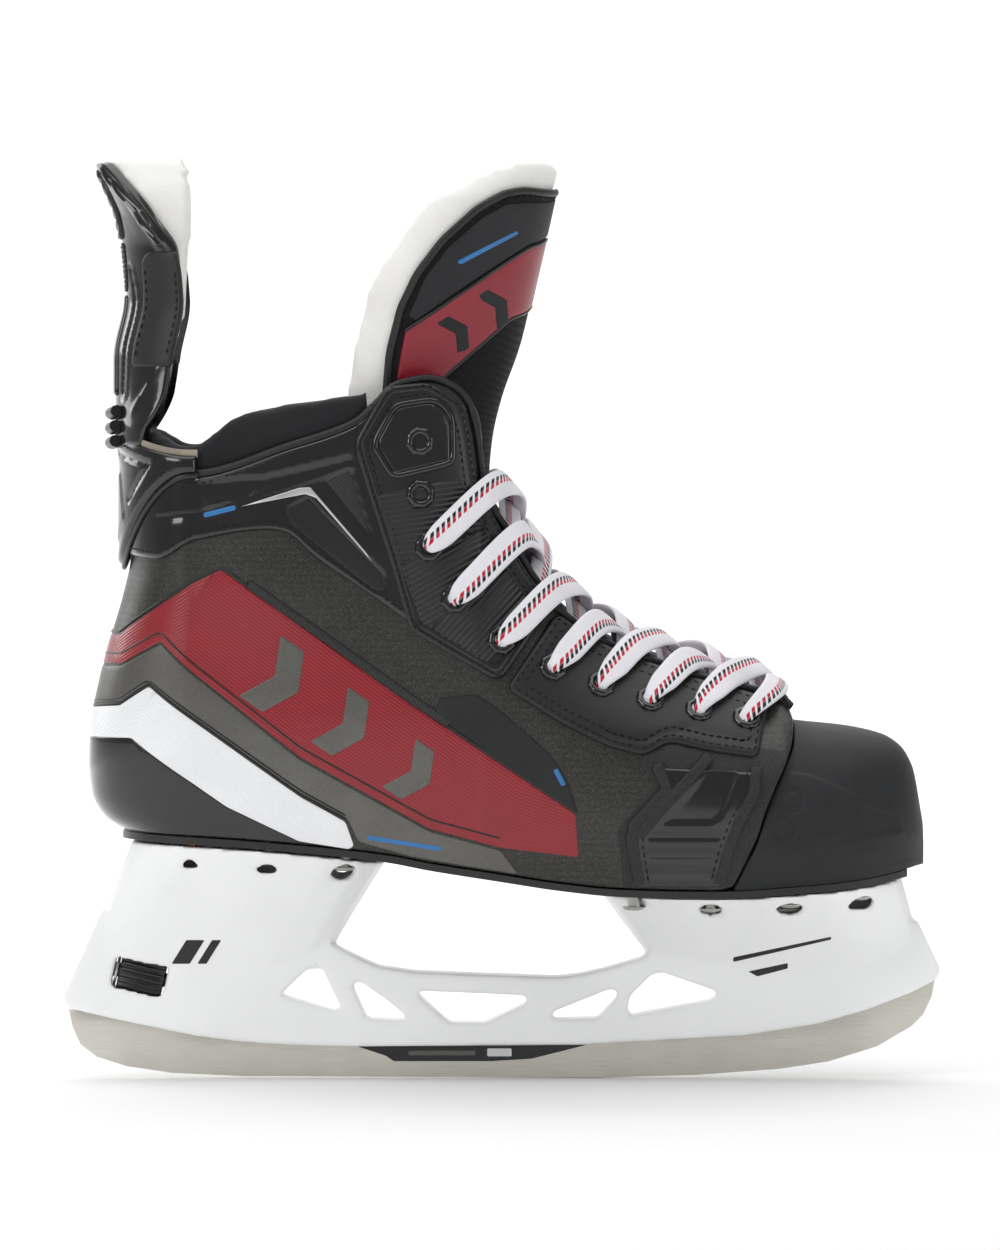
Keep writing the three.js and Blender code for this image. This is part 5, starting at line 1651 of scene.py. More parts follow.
@dataclass
class Puff:
    """Swells a padded piece by a short cloth simulation, then makes it its mesh.

    Attributes:
        voxel: the step of the even mesh that is simulated, in metres.
        pressure: how hard the filling pushes.
        frames: how long it runs.
        cap: how far a point may move, in metres.
    """

    voxel: float = 0.0022
    pressure: float = 4.0
    frames: int = 16
    cap: float = 0.0012

    def apply(self, piece: bpy.types.Object) -> None:
        """Runs the simulation on a piece and keeps its result.

        Args:
            piece: the piece, in place and not yet on a body.
        """
        remesh = piece.modifiers.new("even", "REMESH")
        remesh.mode, remesh.voxel_size, remesh.use_smooth_shade = "VOXEL", self.voxel, True
        apply_modifiers(piece)
        rest = self.positions(piece.data)
        cloth = piece.modifiers.new("cloth", "CLOTH")
        cloth.settings.use_pressure = True
        cloth.settings.uniform_pressure_force = self.pressure
        cloth.settings.effector_weights.gravity = 0.0
        cloth.settings.quality = 4
        cloth.point_cache.frame_start, cloth.point_cache.frame_end = 1, self.frames
        for step in range(1, self.frames + 1):
            bpy.context.scene.frame_set(step)
        apply_modifiers(piece)
        bpy.context.scene.frame_set(1)
        moved = self.positions(piece.data) - rest
        length = np.linalg.norm(moved, axis=1, keepdims=True)
        moved *= np.minimum(1.0, self.cap / np.maximum(length, 1e-9))
        piece.data.vertices.foreach_set("co", (rest + moved).astype(np.float32).ravel())
        smooth = piece.modifiers.new("even_out", "SMOOTH")
        smooth.factor, smooth.iterations = 0.5, 3
        subdivide = piece.modifiers.new("fine", "SUBSURF")
        subdivide.levels = subdivide.render_levels = 1
        apply_modifiers(piece)
        piece.data.shade_smooth()

    def positions(self, mesh: bpy.types.Mesh) -> np.ndarray:
        """A mesh's points, one per row.

        Args:
            mesh: the mesh.

        Returns:
            Its points.
        """
        found = np.zeros(len(mesh.vertices) * 3, np.float32)
        mesh.vertices.foreach_get("co", found)
        return found.reshape(-1, 3).astype(float)


@dataclass
class Collar:
    """The padded roll inside the ankle."""

    depth: float = 8.0
    front: float = -43.0
    low: SmoothCurve = field(default_factory=lambda: SmoothCurve([(-134, 150), (-100, 150), (-60, 165), (-43, 196)]))

    def build(self) -> None:
        """Builds the collar's padding and swells it."""
        seam = [(u - HEEL_SEAM, float(collar_seam(u)) - 0.7) for u in np.linspace(HEEL_SEAM + 50, -40, 50)]
        for side in Side:
            bead = make_piping(f"collar_welt_{tags(side)}", SKIN, on_side(seam, side), 3.2, 3.0, lift=0.0)
            dress(bead, "black_leather", "black_leather")
        us = np.linspace(HEEL_SEAM, self.front, 40)
        upper = [(u - HEEL_SEAM, float(top_line(u)) - 0.4) for u in us]
        lower = [(u - HEEL_SEAM, float(self.low(u))) for u in us]
        half = upper + lower[::-1]
        outline = half[:-1] + [(-a, b) for a, b in half[::-1]][:-1]

        def tuck(a: np.ndarray, b: np.ndarray) -> np.ndarray:
            """Draws the padding in behind the shell, below the collar seam."""
            return -3.2 * (1 - smoothstep(b - collar_seam(HEEL_SEAM + np.abs(a)), -1.5, 1.0))

        made = Panel("collar_padding", SKIN, outline, self.depth / 2, base=-self.depth / 2, under=self.depth / 2,
                     edge=3.4, corner=3, spacing=2.0, relief=tuck, pillow=True).build()
        Puff(cap=0.0006).apply(made)
        dress(made, "collar_lining", "padding", "collar_padding")


# ------------------------------------------------------------------ Facings, vamp guards and eyelets
EYELETS = (
    (-27.1, 209.3), (-26.8, 192.4), (-23.9, 175.2), (-15.4, 158.6), (-0.5, 145),
    (16.1, 136), (31.7, 130), (47.6, 125), (63.5, 121.4), (79, 118.6),
)
UPPER_REAR = ((-38, 227), (-48.5, 209), (-43.7, 193), (-36.2, 170), (-30, 148.5), (-1, 131.5))
UPPER_FRONT = ((-24, 228.5), (-13.5, 221.5), (-11, 213), (-8.6, 195), (-1, 180.5), (7.5, 166.5), (15.6, 155.4))
LOWER_REAR = ((1, 129.6), (18.7, 118.6), (34.3, 111), (46, 108), (54, 112.5), (66, 109.5), (83, 107))
LOWER_FRONT = ((17, 153.6), (28, 145.6), (38, 140.6), (55, 134.6), (65, 131.2), (78, 128), (87, 125))


@dataclass
class Facings:
    """The eyelet facings: the upper one ribbed and stiff, the lower one of soft leather."""

    thickness: float = 1.5
    base: float = 0.3
    welt_width: float = 3.0
    welt_height: float = 1.7
    frame_outline: Outline = ((-43, 208.5), (-35.8, 221.6), (-21.5, 223.6), (-16, 218), (-15.6, 201.8), (-36, 196.8))

    def build(self) -> None:
        """Builds both facings on both sides."""
        for side in Side:
            self.upper(side)
            self.lower(side)
            self.binding(side)

    def upper(self, side: Side) -> None:
        """The upper facing: its sheet, sewn welt, glossy frame and ribs.

        Args:
            side: the side of the boot.
        """
        tag, top = tags(side), self.base + self.thickness
        outline = on_side(SKIN.unrolled(list(UPPER_REAR) + list(UPPER_FRONT)[::-1]), side)
        sheet = Panel(f"facing_upper_{tag}", SKIN, outline, self.thickness, base=self.base, under=1.0, edge=1.0,
                      corner=4.0, spacing=1.3).build()
        dress(sheet, "black_satin", "black_satin", f"facing_upper_{tag}")
        welt = shrunk(outline, 1.6)
        bead = make_piping(f"facing_welt_{tag}", SKIN, welt, self.welt_width, self.welt_height, lift=top - 0.15)
        dress(bead, "black_satin", "black_satin")
        rows = [shrunk(outline, 1.6), shrunk(outline, 4.1)]
        lifts = (top + 0.72, top)
        threads = [
            make_stitches(f"row_{i}", SKIN, [row], lift=lift, pitch=2.4)
            for i, (row, lift) in enumerate(zip(rows, lifts))
        ]
        dress(joined(f"facing_upper_stitching_{tag}", threads), "thread", "black_matte")
        frame_outline = on_side(SKIN.unrolled(self.frame_outline), side)
        rim = make_piping(f"facing_frame_{tag}", SKIN, shrunk(frame_outline, 0.9), 2.0, 1.5, lift=top + 0.05)
        dress(rim, "black_gloss", "black_gloss")
        plate = Panel(f"facing_plate_{tag}", SKIN, shrunk(frame_outline, 2.0)[:-1], 0.3, base=top - 0.1, edge=0.5,
                      corner=1.0, under=0.4, spacing=1.3).build()
        dress(plate, "black_gloss", "black_gloss")
        ribbed = [(-41, 192), (-33.6, 170), (-26.6, 151), (-5, 137.5), (9.5, 154), (2.2, 165), (-6.4, 179.5),
                  (-13.2, 194), (-15.4, 197.5)]
        follow = band_coordinates(SKIN.unrolled([(-27, 200), (-24, 175), (-14.5, 158), (2, 143)]))
        ribs = Panel(f"facing_ribs_{tag}", SKIN, on_side(SKIN.unrolled(ribbed), side), 0.35, base=top - 0.1,
                     edge=0.6, corner=2.0, under=0.4, spacing=1.2, coordinates=follow).build()
        dress(ribs, "black_rib", "black_satin")

    def lower(self, side: Side) -> None:
        """The lower facing: leather with two rows of stitches along its rear edge.

        Args:
            side: the side of the boot.
        """
        tag, top = tags(side), self.base + self.thickness
        outline = on_side(SKIN.unrolled(list(LOWER_REAR) + list(LOWER_FRONT)[::-1]), side)
        fold = ridge(SKIN.unrolled([(24, 117.5), (43, 112.6), (60, 116), (84, 111)]), -0.35, 2.4)
        sheet = Panel(f"facing_lower_{tag}", SKIN, outline, self.thickness, base=self.base, under=1.0, edge=1.2,
                      corner=3.0, spacing=1.3, relief=fold).build()
        dress(sheet, "black_leather", "black_leather", f"facing_lower_{tag}")
        rows = [shrunk(outline, 1.9), shrunk(outline, 4.3)]
        made = make_stitches(f"facing_lower_stitching_{tag}", SKIN, rows, lift=top - 0.1, pitch=2.5)
        dress(made, "thread", "black_matte")

    def binding(self, side: Side) -> None:
        """The leather that binds the edge of the throat.

        Args:
            side: the side of the boot.
        """
        us = np.linspace(-42, 94, 90)
        line = [((u - HEEL_SEAM) * side.value, float(shell_top(u)) - 0.4) for u in us]
        bead = make_piping(f"throat_binding_{tags(side)}", SKIN, line, 2.8, 4.9, lift=-0.4)
        dress(bead, "black_leather", "black_leather")


@dataclass
class VampGuard:
    """The moulded guard between the facing and the toe cap."""

    thickness: float = 1.2
    base: float = 0.3
    rear: Outline = ((50, 104.5), (52, 97), (40.5, 86), (40, 80.5), (42.5, 66))
    front: Outline = ((84, 102.5), (83.5, 96), (78.5, 87), (75.5, 79), (72, 66))

    def build(self) -> None:
        """Builds the guard on both sides."""
        recess = SKIN.unrolled([(67.5, 104), (76.5, 103.5), (71, 89), (67.5, 86.8), (52, 86.8)])
        slots = total(*(
            ridge(SKIN.unrolled([(48, z), (70 - 0.2 * (84 - z), z)]), -0.8, 2.6) for z in (82.6, 76.5, 70.5)
        ))
        relief = total(plateau(recess, -0.7), slots)
        for side in Side:
            tag = tags(side)
            outline = on_side(SKIN.unrolled(list(self.rear) + list(self.front)[::-1]), side)
            made = Panel(f"vamp_guard_{tag}", SKIN, outline, self.thickness, base=self.base, under=0.8, edge=1.0,
                         corner=2.5, spacing=1.0, relief=relief).build()
            dress(made, "black_gloss", "black_gloss", f"vamp_guard_{tag}")
            self.cover(side)
            self.grit_bands(side)

    def cover(self, side: Side) -> None:
        """The rough sheet under the guard, from the flank to the toe cap.

        Args:
            side: the side of the boot.
        """
        rear = [(39.5, 65.6), (37.3, 84.5), (49.6, 98.3), (44.9, 105.2), (46, 110), (66, 111), (90, 110)]
        front = [(float(toe_join(z)), z) for z in (106, 98, 90, 82, 74, 65.4)]
        outline = on_side(SKIN.unrolled(rear + front), side)
        made = Panel(f"vamp_cover_{tags(side)}", SKIN, outline, 0.32, edge=0.5, corner=1.0, under=0.5,
                     spacing=1.6).build()
        dress(made, "black_grit", "black_matte")

    def grit_bands(self, side: Side) -> None:
        """The rough bands that cross the guard, and the thread beside them.

        Args:
            side: the side of the boot.
        """
        top = self.base + self.thickness
        paths = (
            [(50, 105.5), (53.4, 97.4), (42.6, 86), (42.4, 80), (44.6, 67)],
            [(67, 107.5), (56, 96), (44, 82.5)],
            [(82.2, 104), (81.4, 96), (76.4, 87), (73.4, 79), (70.2, 67)],
        )
        rows = []
        for i, path in enumerate(paths):
            outline = on_side(SKIN.unrolled(strip(resampled(path, 3.0), 3.6)), side)
            made = Panel(f"vamp_grit_{tags(side)}_{i + 1}", SKIN, outline, 0.55, base=top - 0.2, edge=0.6,
                         corner=0.8, under=0.4, spacing=1.0).build()
            dress(made, "black_grit", "black_matte")
            beside = [(x + 3.2, z - 0.6) for x, z in path] if i == 0 else [(x - 2.9, z) for x, z in path]
            rows.append(on_side(SKIN.unrolled(beside), side))
        made = make_stitches(f"vamp_stitching_{tags(side)}", SKIN, rows[::2], lift=top - 0.1, pitch=2.5)
        dress(made, "thread", "black_matte")


@dataclass
class Eyelets:
    """Twenty pressed eyelets, each with a crimped flange."""

    bore: float = 4.4
    barrel: float = 5.6
    flange: float = 9.4
    lip: float = 0.8
    outside: float = 2.1
    inside: float = -3.8
    teeth: int = 8

    def build(self) -> None:
        """Builds every eyelet in its seat."""
        bore, barrel, flange = self.bore / 2, self.barrel / 2, self.flange / 2
        profile = [
            (bore, self.inside - self.lip), (barrel + 1, self.inside - self.lip), (barrel + 1, self.inside),
            (barrel, self.inside), (barrel, self.outside), (flange - 0.1, self.outside - 0.2),
            (flange, self.outside + 0.25), (flange - 0.5, self.outside + 0.75), (flange - 1.2, self.outside + 0.95),
            (bore + 0.7, self.outside + 0.85), (bore + 0.25, self.outside + 0.55), (bore, self.outside + 0.1),
        ]
        for side in Side:
            for i, (x, z) in enumerate(EYELETS):
                a = np.array([SKIN.unroll(x, z) * side.value])
                b = np.array([float(z)])
                name = f"eyelet_{tags(side)}_{i + 1:02d}"
                made = make_turned(name, profile, SKIN.point(a, b)[0], SKIN.normal(a, b)[0], 48, self.crimp)
                dress(made, "eyelet_enamel", "black_gloss", name)

    def crimp(self, angle: np.ndarray, radius: float, height: float) -> np.ndarray:
        """The scalloped edge of the pressed flange.

        Args:
            angle: the places round the eyelet.
            radius: the distance from its middle.
            height: the height on it.

        Returns:
            How far each place moves.
        """
        if height < self.outside or radius < self.barrel / 2 + 0.4:
            return 0 * angle
        return -0.16 * (1 + np.cos(self.teeth * angle))


# ------------------------------------------------------------------ Toe cap and sole
roof_line = SmoothCurve([(70, 122), (97, 117.3), (113, 115.6), (125, 113), (131, 109.5), (135, 103), (138, 88)])
TOE_TIP = 138.0
TOE_ROUND_FROM = 92.0
TOE_JOIN_TOP = 95.5
CLEARANCE = 0.3


def nose_width(x: np.ndarray | float, width: np.ndarray | float) -> np.ndarray:
    """Half width of the toe at X, closing to the tip."""
    k = np.clip((np.asarray(x, float) - TOE_ROUND_FROM) / (TOE_TIP + 1 - TOE_ROUND_FROM), 0, 1)
    return width * (1 - k**2.5) ** (1 / 2.5)


def sole_outline(x: float, inset: float) -> float:
    """Half width of the sole, rounded at the heel and the toe.

    Args:
        x: the place along the sole.
        inset: how far inside the sole's edge.

    Returns:
        Half of the width there.
    """
    heel = min(1.0, max(0.0, (HEEL_TURN - x) / (HEEL_TURN + 125.5 - inset)))
    width = min(float(sole_width(x)), float(sole_width(TOE_JOIN_TOP)))
    return max(1.5, (float(nose_width(x + inset, width)) - inset) * math.sqrt(max(0.0, 1 - heel * heel)))


@dataclass
class ToeCap:
    """The moulded toe cap, with a seam line, two round dimples and a recess on each side."""

    wall: float = 2.6
    squareness: float = 3.1
    tuck: float = 0.12
    dimples: Outline = ((94.1, 93.3), (91.7, 84.3))
    plate: Outline = ((90.8, 101.6), (94, 102.6), (101, 101.4), (128.8, 89.4), (131.2, 81.4), (106.4, 78),
                      (82, 77), (85, 88))
    recess: Outline = ((104.6, 96.2), (128.2, 88.4), (130.4, 83), (101, 80.4))

    def arch(self, share: float, steps: int) -> tuple[np.ndarray, np.ndarray]:
        """One arch over the toe, slanted like the joint at its rear.

        Args:
            share: how far it stands from the joint to the tip.
            steps: how many steps it takes.

        Returns:
            The arch's points and their outward directions.
        """
        angle = np.linspace(0, np.pi, steps)
        rise = np.sin(angle) ** (2 / self.squareness)
        reach = np.sign(np.cos(angle)) * np.abs(np.cos(angle)) ** (2 / self.squareness)
        upright = lerp(TOE_JOIN_TOP, TOE_TIP, share)
        join = toe_join(lerp(sole_line(upright), roof_line(upright), rise)) + 0.6
        x = lerp(join, TOE_TIP, share)
        low = sole_line(x)
        z = lerp(low, roof_line(x), rise)
        tucked = 1 - self.tuck * (1 - smoothstep(z - low, 0, 12))
        y = -reach * nose_width(x, belly_width(TOE_JOIN_TOP)) * tucked + toe_swing(x)
        out = np.stack([np.zeros(steps), -reach, rise**2], axis=1)
        return np.stack([x, y, z], axis=1), out / np.linalg.norm(out, axis=1, keepdims=True)

    def relief(self, points: np.ndarray) -> np.ndarray:
        """Height of the cap's moulded detail at each point.

        Args:
            points: points of the cap, one per row.

        Returns:
            The height at each point, under 0 where it is sunk.
        """
        x, z = points[:, 0], points[:, 2]
        made = 0.55 * smoothstep(signed_distance(x, z, self.plate), -0.6, 0.7)
        made += -0.75 * smoothstep(signed_distance(x, z, self.recess), -0.4, 1.0)
        for cx, cz in self.dimples:
            made += -0.6 * np.exp(-(((np.hypot(x - cx, z - cz) - 3.3) / 0.55) ** 2))
        return made

    def build(self) -> None:
        """Builds the cap as one shell with a wall."""
        steps = 260
        rings = []
        for share in np.concatenate([np.linspace(0, 0.84, 72), np.linspace(0.85, 1, 26)]):
            points, out = self.arch(float(share), steps)
            rings.append(points + out * self.relief(points)[:, None])
        tip = rings[-1]
        centre = tip.mean(axis=0)
        centre[2] = tip[0, 2]
        for share in (0.85, 0.65, 0.4, 0.15):
            ring = centre + (tip - centre) * share
            ring[:, 0] = TOE_TIP + 0.9 * math.sqrt(1 - share**2)
            rings.append(ring)
        faces = grid_faces(len(rings), steps)
        last = (len(rings) - 1) * steps
        faces.append(tuple(range(last, last + steps)))
        made = make_mesh("toe_cap", np.vstack(rings), faces, crease=70)
        wall = made.modifiers.new("wall", "SOLIDIFY")
        wall.thickness, wall.offset = self.wall * MM, -1.0
        apply_modifiers(made)
        made.data.shade_smooth()
        dress(made, "black_matte", "black_matte", "toe_cap")


@dataclass
class Sole:
    """The carbon outsole and the footbed."""

    outsole: float = 2.4
    footbed: float = 4.0
    lift: float = 2.2
    wall: float = 2.6

    def plate(self, name: str, stations: np.ndarray, inset: float, low: float, high: float) -> bpy.types.Object:
        """A plate that follows the sole line.

        Args:
            name: the piece's name.
            stations: where its rings stand.
            inset: how far it stays inside the sole's outline.
            low: its underside, over the sole line.
            high: its top, over the sole line.

        Returns:
            The new object, with rounded edges.
        """
        rings = []
        for x in stations:
            width, z, y = sole_outline(float(x), inset), float(sole_line(x)), float(toe_swing(x))
            section = [(-1, low), (-1, high), (-0.9, high), (0.9, high), (1, high), (1, low), (0.9, low), (-0.9, low)]
            rings.append(np.array([[x, y + width * side, z + rise] for side, rise in section]))
        made = make_loft(name, rings, crease=80)
        bevel = made.modifiers.new("edge", "BEVEL")
        bevel.width, bevel.segments, bevel.limit_method = 0.5 * MM, 2, "ANGLE"
        apply_modifiers(made)
        return made

    def build(self) -> None:
        """Builds the outsole and the footbed."""
        stations = np.concatenate([-125 + 24 * np.linspace(0, 1, 12) ** 2, np.linspace(-98, 110, 50),
                                   110 + 22.5 * np.sqrt(np.linspace(0.05, 1, 12))])
        made = self.plate("outsole", stations, 0, -CLEARANCE - self.outsole, -CLEARANCE)
        dress(made, "sole_carbon", "black_satin", "outsole")
        inner = stations[(stations > -118) & (stations < 127)]
        made = self.plate("footbed", inner, self.wall + 1.4, self.lift, self.lift + self.footbed)
        dress(made, "collar_lining", "padding", "footbed")


# ------------------------------------------------------------------ Tongue
class TongueSurface(Surface):
    """The tongue's front. The first coordinate runs across it, the second up its ridge."""

    across_mm = 45.0
    along_mm = 17.0
    wing_angle = math.radians(80)
    ridge_points = np.array([
        (86, 117.5), (65, 124.5), (48, 130), (34, 135.5), (20, 145), (9, 159), (1, 175), (-4, 192),
        (-3.4, 209), (0, 224), (6, 241), (11, 262), (15, 279), (17.5, 290), (20.5, 300.5),
    ])
    widths = (22, 25, 26, 27, 28, 28.5, 28, 27, 27, 28, 32, 38, 38, 32, 20)
    depths = (4, 7, 9, 12, 17, 25, 36, 45, 50, 53, 55, 49, 40, 28, 11)

    def __init__(self) -> None:
        """Prepares the ridge and the wings' sizes."""
        flat = np.column_stack([self.ridge_points, np.zeros(len(self.ridge_points))])
        line = catmull(flat, 12)[:, :2]
        self.ridge_at = np.arange(len(line)) / 12
        self.ridge_line = line
        self.width = SmoothCurve(list(enumerate(self.widths)))
        self.depth = SmoothCurve(list(enumerate(self.depths)))

    def point(self, a: np.ndarray, b: np.ndarray) -> np.ndarray:
        """Points of the tongue, one per row.

        Args:
            a: the first coordinates.
            b: the second coordinates.

        Returns:
            The points.
        """
        a, b = np.broadcast_arrays(np.asarray(a, float), np.asarray(b, float))
        t = b / self.along_mm
        at = np.clip(t, 0, len(self.widths) - 1)
        x, z = (np.interp(at, self.ridge_at, self.ridge_line[:, k]) for k in (0, 1))
        ahead = np.stack([
            np.interp(at + 0.3, self.ridge_at, self.ridge_line[:, k])
            - np.interp(at - 0.3, self.ridge_at, self.ridge_line[:, k]) for k in (0, 1)
        ])
        ahead /= np.linalg.norm(ahead, axis=0)
        x, z = x + ahead[0] * (t - at) * self.along_mm, z + ahead[1] * (t - at) * self.along_mm
        angle = a / self.across_mm * self.wing_angle
        y = self.width(at) * np.sin(angle) / math.sin(self.wing_angle)
        sink = self.depth(at) * (1 - np.cos(angle)) / (1 - math.cos(self.wing_angle))
        swing = toe_swing(x - ahead[1] * sink)
        return np.stack([x - ahead[1] * sink, y + swing, z + ahead[0] * sink], axis=-1)

    def normal(self, a: np.ndarray, b: np.ndarray, step: float = 0.5) -> np.ndarray:
        """Normals that point forward, away from the shin."""
        return super().normal(a, b, step) * -1.0 * self.facing()

    def facing(self) -> float:
        """The sign that turns the normal forward at the middle of the ridge.

        Returns:
            Plus or minus 1.
        """
        if not hasattr(self, "_facing"):
            made = super().normal(np.array([0.0]), np.array([10 * self.along_mm]))
            self._facing = -1.0 if made[0, 0] > 0 else 1.0
        return self._facing

    def locate(self, points: Outline) -> list[tuple[float, float]]:
        """Coordinates of side-view points on the outer wing.

        Args:
            points: (x, z) pairs.

        Returns:
            The coordinates, found on a grid that closes in on each point.
        """
        found = []
        for x, z in resampled(points, 4.0):
            centre, reach = np.array([-self.across_mm / 2, 11 * self.along_mm]), np.array([22.5, 3 * self.along_mm])
            for _ in range(7):
                a, b = (g.ravel() for g in np.meshgrid(*(
                    np.linspace(c - w, c + w, 15) for c, w in zip(centre, reach)
                )))
                a = np.minimum(a, 0)
                grid = self.point(a, b)
                best = int(np.argmin((grid[:, 0] - x) ** 2 + (grid[:, 2] - z) ** 2))
                centre, reach = np.array([a[best], b[best]]), reach * 0.35
            found.append((float(centre[0]), float(centre[1])))
        return found


@dataclass
class Tongue:
    """The tongue: a felt pad in a cloth cover, with a sewn panel and a red band near its top."""

    cover: float = 1.2
    felt: float = 7.0
    felt_reach: float = 44.0
    flex_low: tuple[float, float, float] = (0.0, 0.0, 0.214)
    flex_high: tuple[float, float, float] = (0.004, 0.0, 0.25)
    rim: Outline = ((-38.2, 222), (-36.8, 238.2), (-33.3, 251.9), (-27.8, 263.6), (-19.3, 274.6), (-8, 284.7),
                    (0.5, 289.6), (7, 290.8))
    band_top: Outline = ((-31.7, 245.4), (8.5, 272.5))
    band_low: Outline = ((-34.6, 228), (-19.7, 229.8), (2.5, 249.6))
    panel_edge: Outline = ((-30.6, 250), (-25.4, 262), (-17.4, 272.4), (-6.8, 281.9), (1.2, 286.2), (8, 287))

    def build(self) -> None:
        """Builds the tongue's pieces."""
        self.surface = TongueSurface()
        self.peak = 13.05 * self.surface.along_mm
        self.felt_pad()
        self.cover_sheet()
        self.badge()

    def bend(self, piece: bpy.types.Object) -> None:
        """Bakes a piece's placing into its mesh; the tongue's flex points are worked out and left unused.

        Args:
            piece: one of the tongue's pieces.
        """
        scale = SCALE / MM
        start, end = (tuple(np.array(p) * scale) for p in (self.flex_low, self.flex_high))
        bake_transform(piece)
        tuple(start)
        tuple(end)

    def both_wings(self, half: Outline) -> list[tuple[float, float]]:
        """A closed outline from its outer half, which starts and ends on the ridge."""
        return list(half) + [(-a, b) for a, b in reversed(half)][1:-1]

    def felt_pad(self) -> None:
        """The thick felt behind the cover, swollen a little."""
        step = self.surface.along_mm
        reach = self.felt_reach
        outline = [(-reach, 0.1 * step), (-reach, 13.85 * step), (reach, 13.85 * step), (reach, 0.1 * step)]
        middle = -self.cover - CLEARANCE - self.felt / 2
        made = Panel("tongue_felt", self.surface, outline, self.felt / 2, base=middle, under=self.felt / 2,
                     edge=3.4, corner=5, spacing=2.2, pillow=True).build()
        Puff(cap=0.0008).apply(made)
        dress(made, "white_felt", "white_felt", "tongue_lower_felt", "tongue_upper_felt", body="")
        self.bend(made)

    def cover_sheet(self) -> None:
        """The cloth cover, and the piping round its edge."""
        edge = self.surface.locate(self.rim)
        low = [(0.0, 0.2 * self.surface.along_mm), (-34.0, 0.2 * self.surface.along_mm)]
        corner = [(-35.0, 5 * self.surface.along_mm), (-35.5, 8 * self.surface.along_mm)]
        half = low + corner + edge + [(0.0, self.peak)]
        made = Panel("tongue_cover", self.surface, self.both_wings(half), self.cover, base=-self.cover, under=0.4,
                     edge=1.0, corner=2.0, spacing=1.7).build()
        dress(made, "tongue_cloth", "black_matte", "tongue_lower_cover", "tongue_upper_cover", body="")
        self.bend(made)
        line = half[3:]
        line = line + [(-a, b) for a, b in reversed(line)][1:]
        bead = make_piping("tongue_piping", self.surface, line, 2.6, 2.2, lift=-0.1)
        dress(bead, "black_leather", "black_leather", body="")
        self.bend(bead)
        inner = [(a * 0.915, b - 2.6 * smoothstep(b, 12 * self.surface.along_mm, self.peak)) for a, b in line]
        thread = make_stitches("tongue_stitching", self.surface, [inner], lift=0.1, pitch=2.6)
        dress(thread, "thread", "black_matte", body="")
        self.bend(thread)

    def badge(self) -> None:
        """The grey panel near the top, the red band under it, and their plain marks."""
        locate = self.surface.locate
        top, low, edge = locate(self.band_top), locate(self.band_low), locate(self.panel_edge)
        top_ridge, low_ridge = (0.0, top[-1][1] + 0.32 * abs(top[-1][0])), (0.0, low[-1][1] + 0.32 * abs(low[-1][0]))
        panel = [(0.0, self.peak - 3.4)] + edge[::-1] + [(a, b + 1.2) for a, b in top[1:]]
        panel += [(0.0, top_ridge[1] + 1.2)]
        self.patch("tongue_panel", self.both_wings(panel), 0.5, "tongue_grey", "black_matte")
        band = [top_ridge] + top[::-1] + low + [low_ridge]
        self.patch("tongue_band", self.both_wings(band), 0.7, "tongue_red", "black_satin")
        for name, line in (("top", top + [top_ridge]), ("low", low[4:] + [low_ridge])):
            bead = make_piping(f"tongue_band_{name}", self.surface, line + [(-a, b) for a, b in reversed(line)][1:],
                               1.1, 0.9, lift=0.5)
            dress(bead, "black_satin", "black_satin", body="tongue_top")
        run = np.array([0.839, 0.544])
        up = np.array([-run[1], run[0]])
        shape = np.array([(-3.4, -6.2), (1.2, -6.2), (4.6, 0), (1.2, 6.2), (-3.4, 6.2), (0, 0)])
        for i, (x, z) in enumerate(((-15.5, 244.5), (-2.8, 253))):
            corners = [tuple(np.array([x, z]) + run * p + up * q) for p, q in shape]
            arrow = locate(corners + corners[:1])[:-1]
            for name, side in (("outer", 1), ("inner", -1)):
                self.patch(f"tongue_arrow_{i + 1}_{name}", [(side * a, b) for a, b in arrow], 0.35, "black_matte",
                           "black_matte", base=0.6)
        dash = locate([(-14.5, 267.2), (4.8, 277.4)])
        for name, side in (("outer", 1), ("inner", -1)):
            self.patch(f"tongue_dash_{name}", strip([(side * a, b) for a, b in dash], 1.3), 0.15, "print_blue",
                       "black_matte", base=0.45)

    def patch(self, name: str, outline: Outline, thickness: float, finish: str, slot: str, base: float = 0.0) -> None:
        """A thin piece sewn or printed on the cover.

        Args:
            name: the piece's name.
            outline: its closed outline.
            thickness: its thickness.
            finish: the name of its finish.
            slot: the CAD material slot.
            base: how far off the surface it starts.
        """
        made = Panel(name, self.surface, outline, thickness, base=base, edge=0.45, corner=0.5, under=0.5,
                     spacing=1.4).build()
        dress(made, finish, slot, body="tongue_top")


# ------------------------------------------------------------------ Tendon guard
class GuardSurface(Surface):
    """The outside of the tendon guard. The first coordinate runs across it, the second is the height."""

    across_mm = 36.0
    wing_angle = math.radians(78)
    back = SmoothCurve([(214.5, -127.5), (237, -127.3), (256, -123.8), (268, -124.6), (282, -126.6), (292, -130.5),
                        (299.5, -134)])
    depth = SmoothCurve([(214, 14), (226, 18), (243, 20), (262, 19), (272, 19), (282, 15), (292, 11), (300, 7)])
    width = SmoothCurve([(214, 31), (240, 29), (270, 28), (290, 26), (300, 20)])

    def point(self, a: np.ndarray, b: np.ndarray) -> np.ndarray:
        """Points of the guard, one per row.

        Args:
            a: the first coordinates.
            b: the second coordinates.

        Returns:
            The points.
        """
        a, b = np.broadcast_arrays(np.asarray(a, float), np.asarray(b, float))
        angle = a / self.across_mm * self.wing_angle
        x = self.back(b) + self.depth(b) * (1 - np.cos(angle)) / (1 - math.cos(self.wing_angle))
        y = self.width(b) * np.sin(angle) / math.sin(self.wing_angle)
        return np.stack([x, y, b], axis=-1)


GuardSurface.outward = -1.0


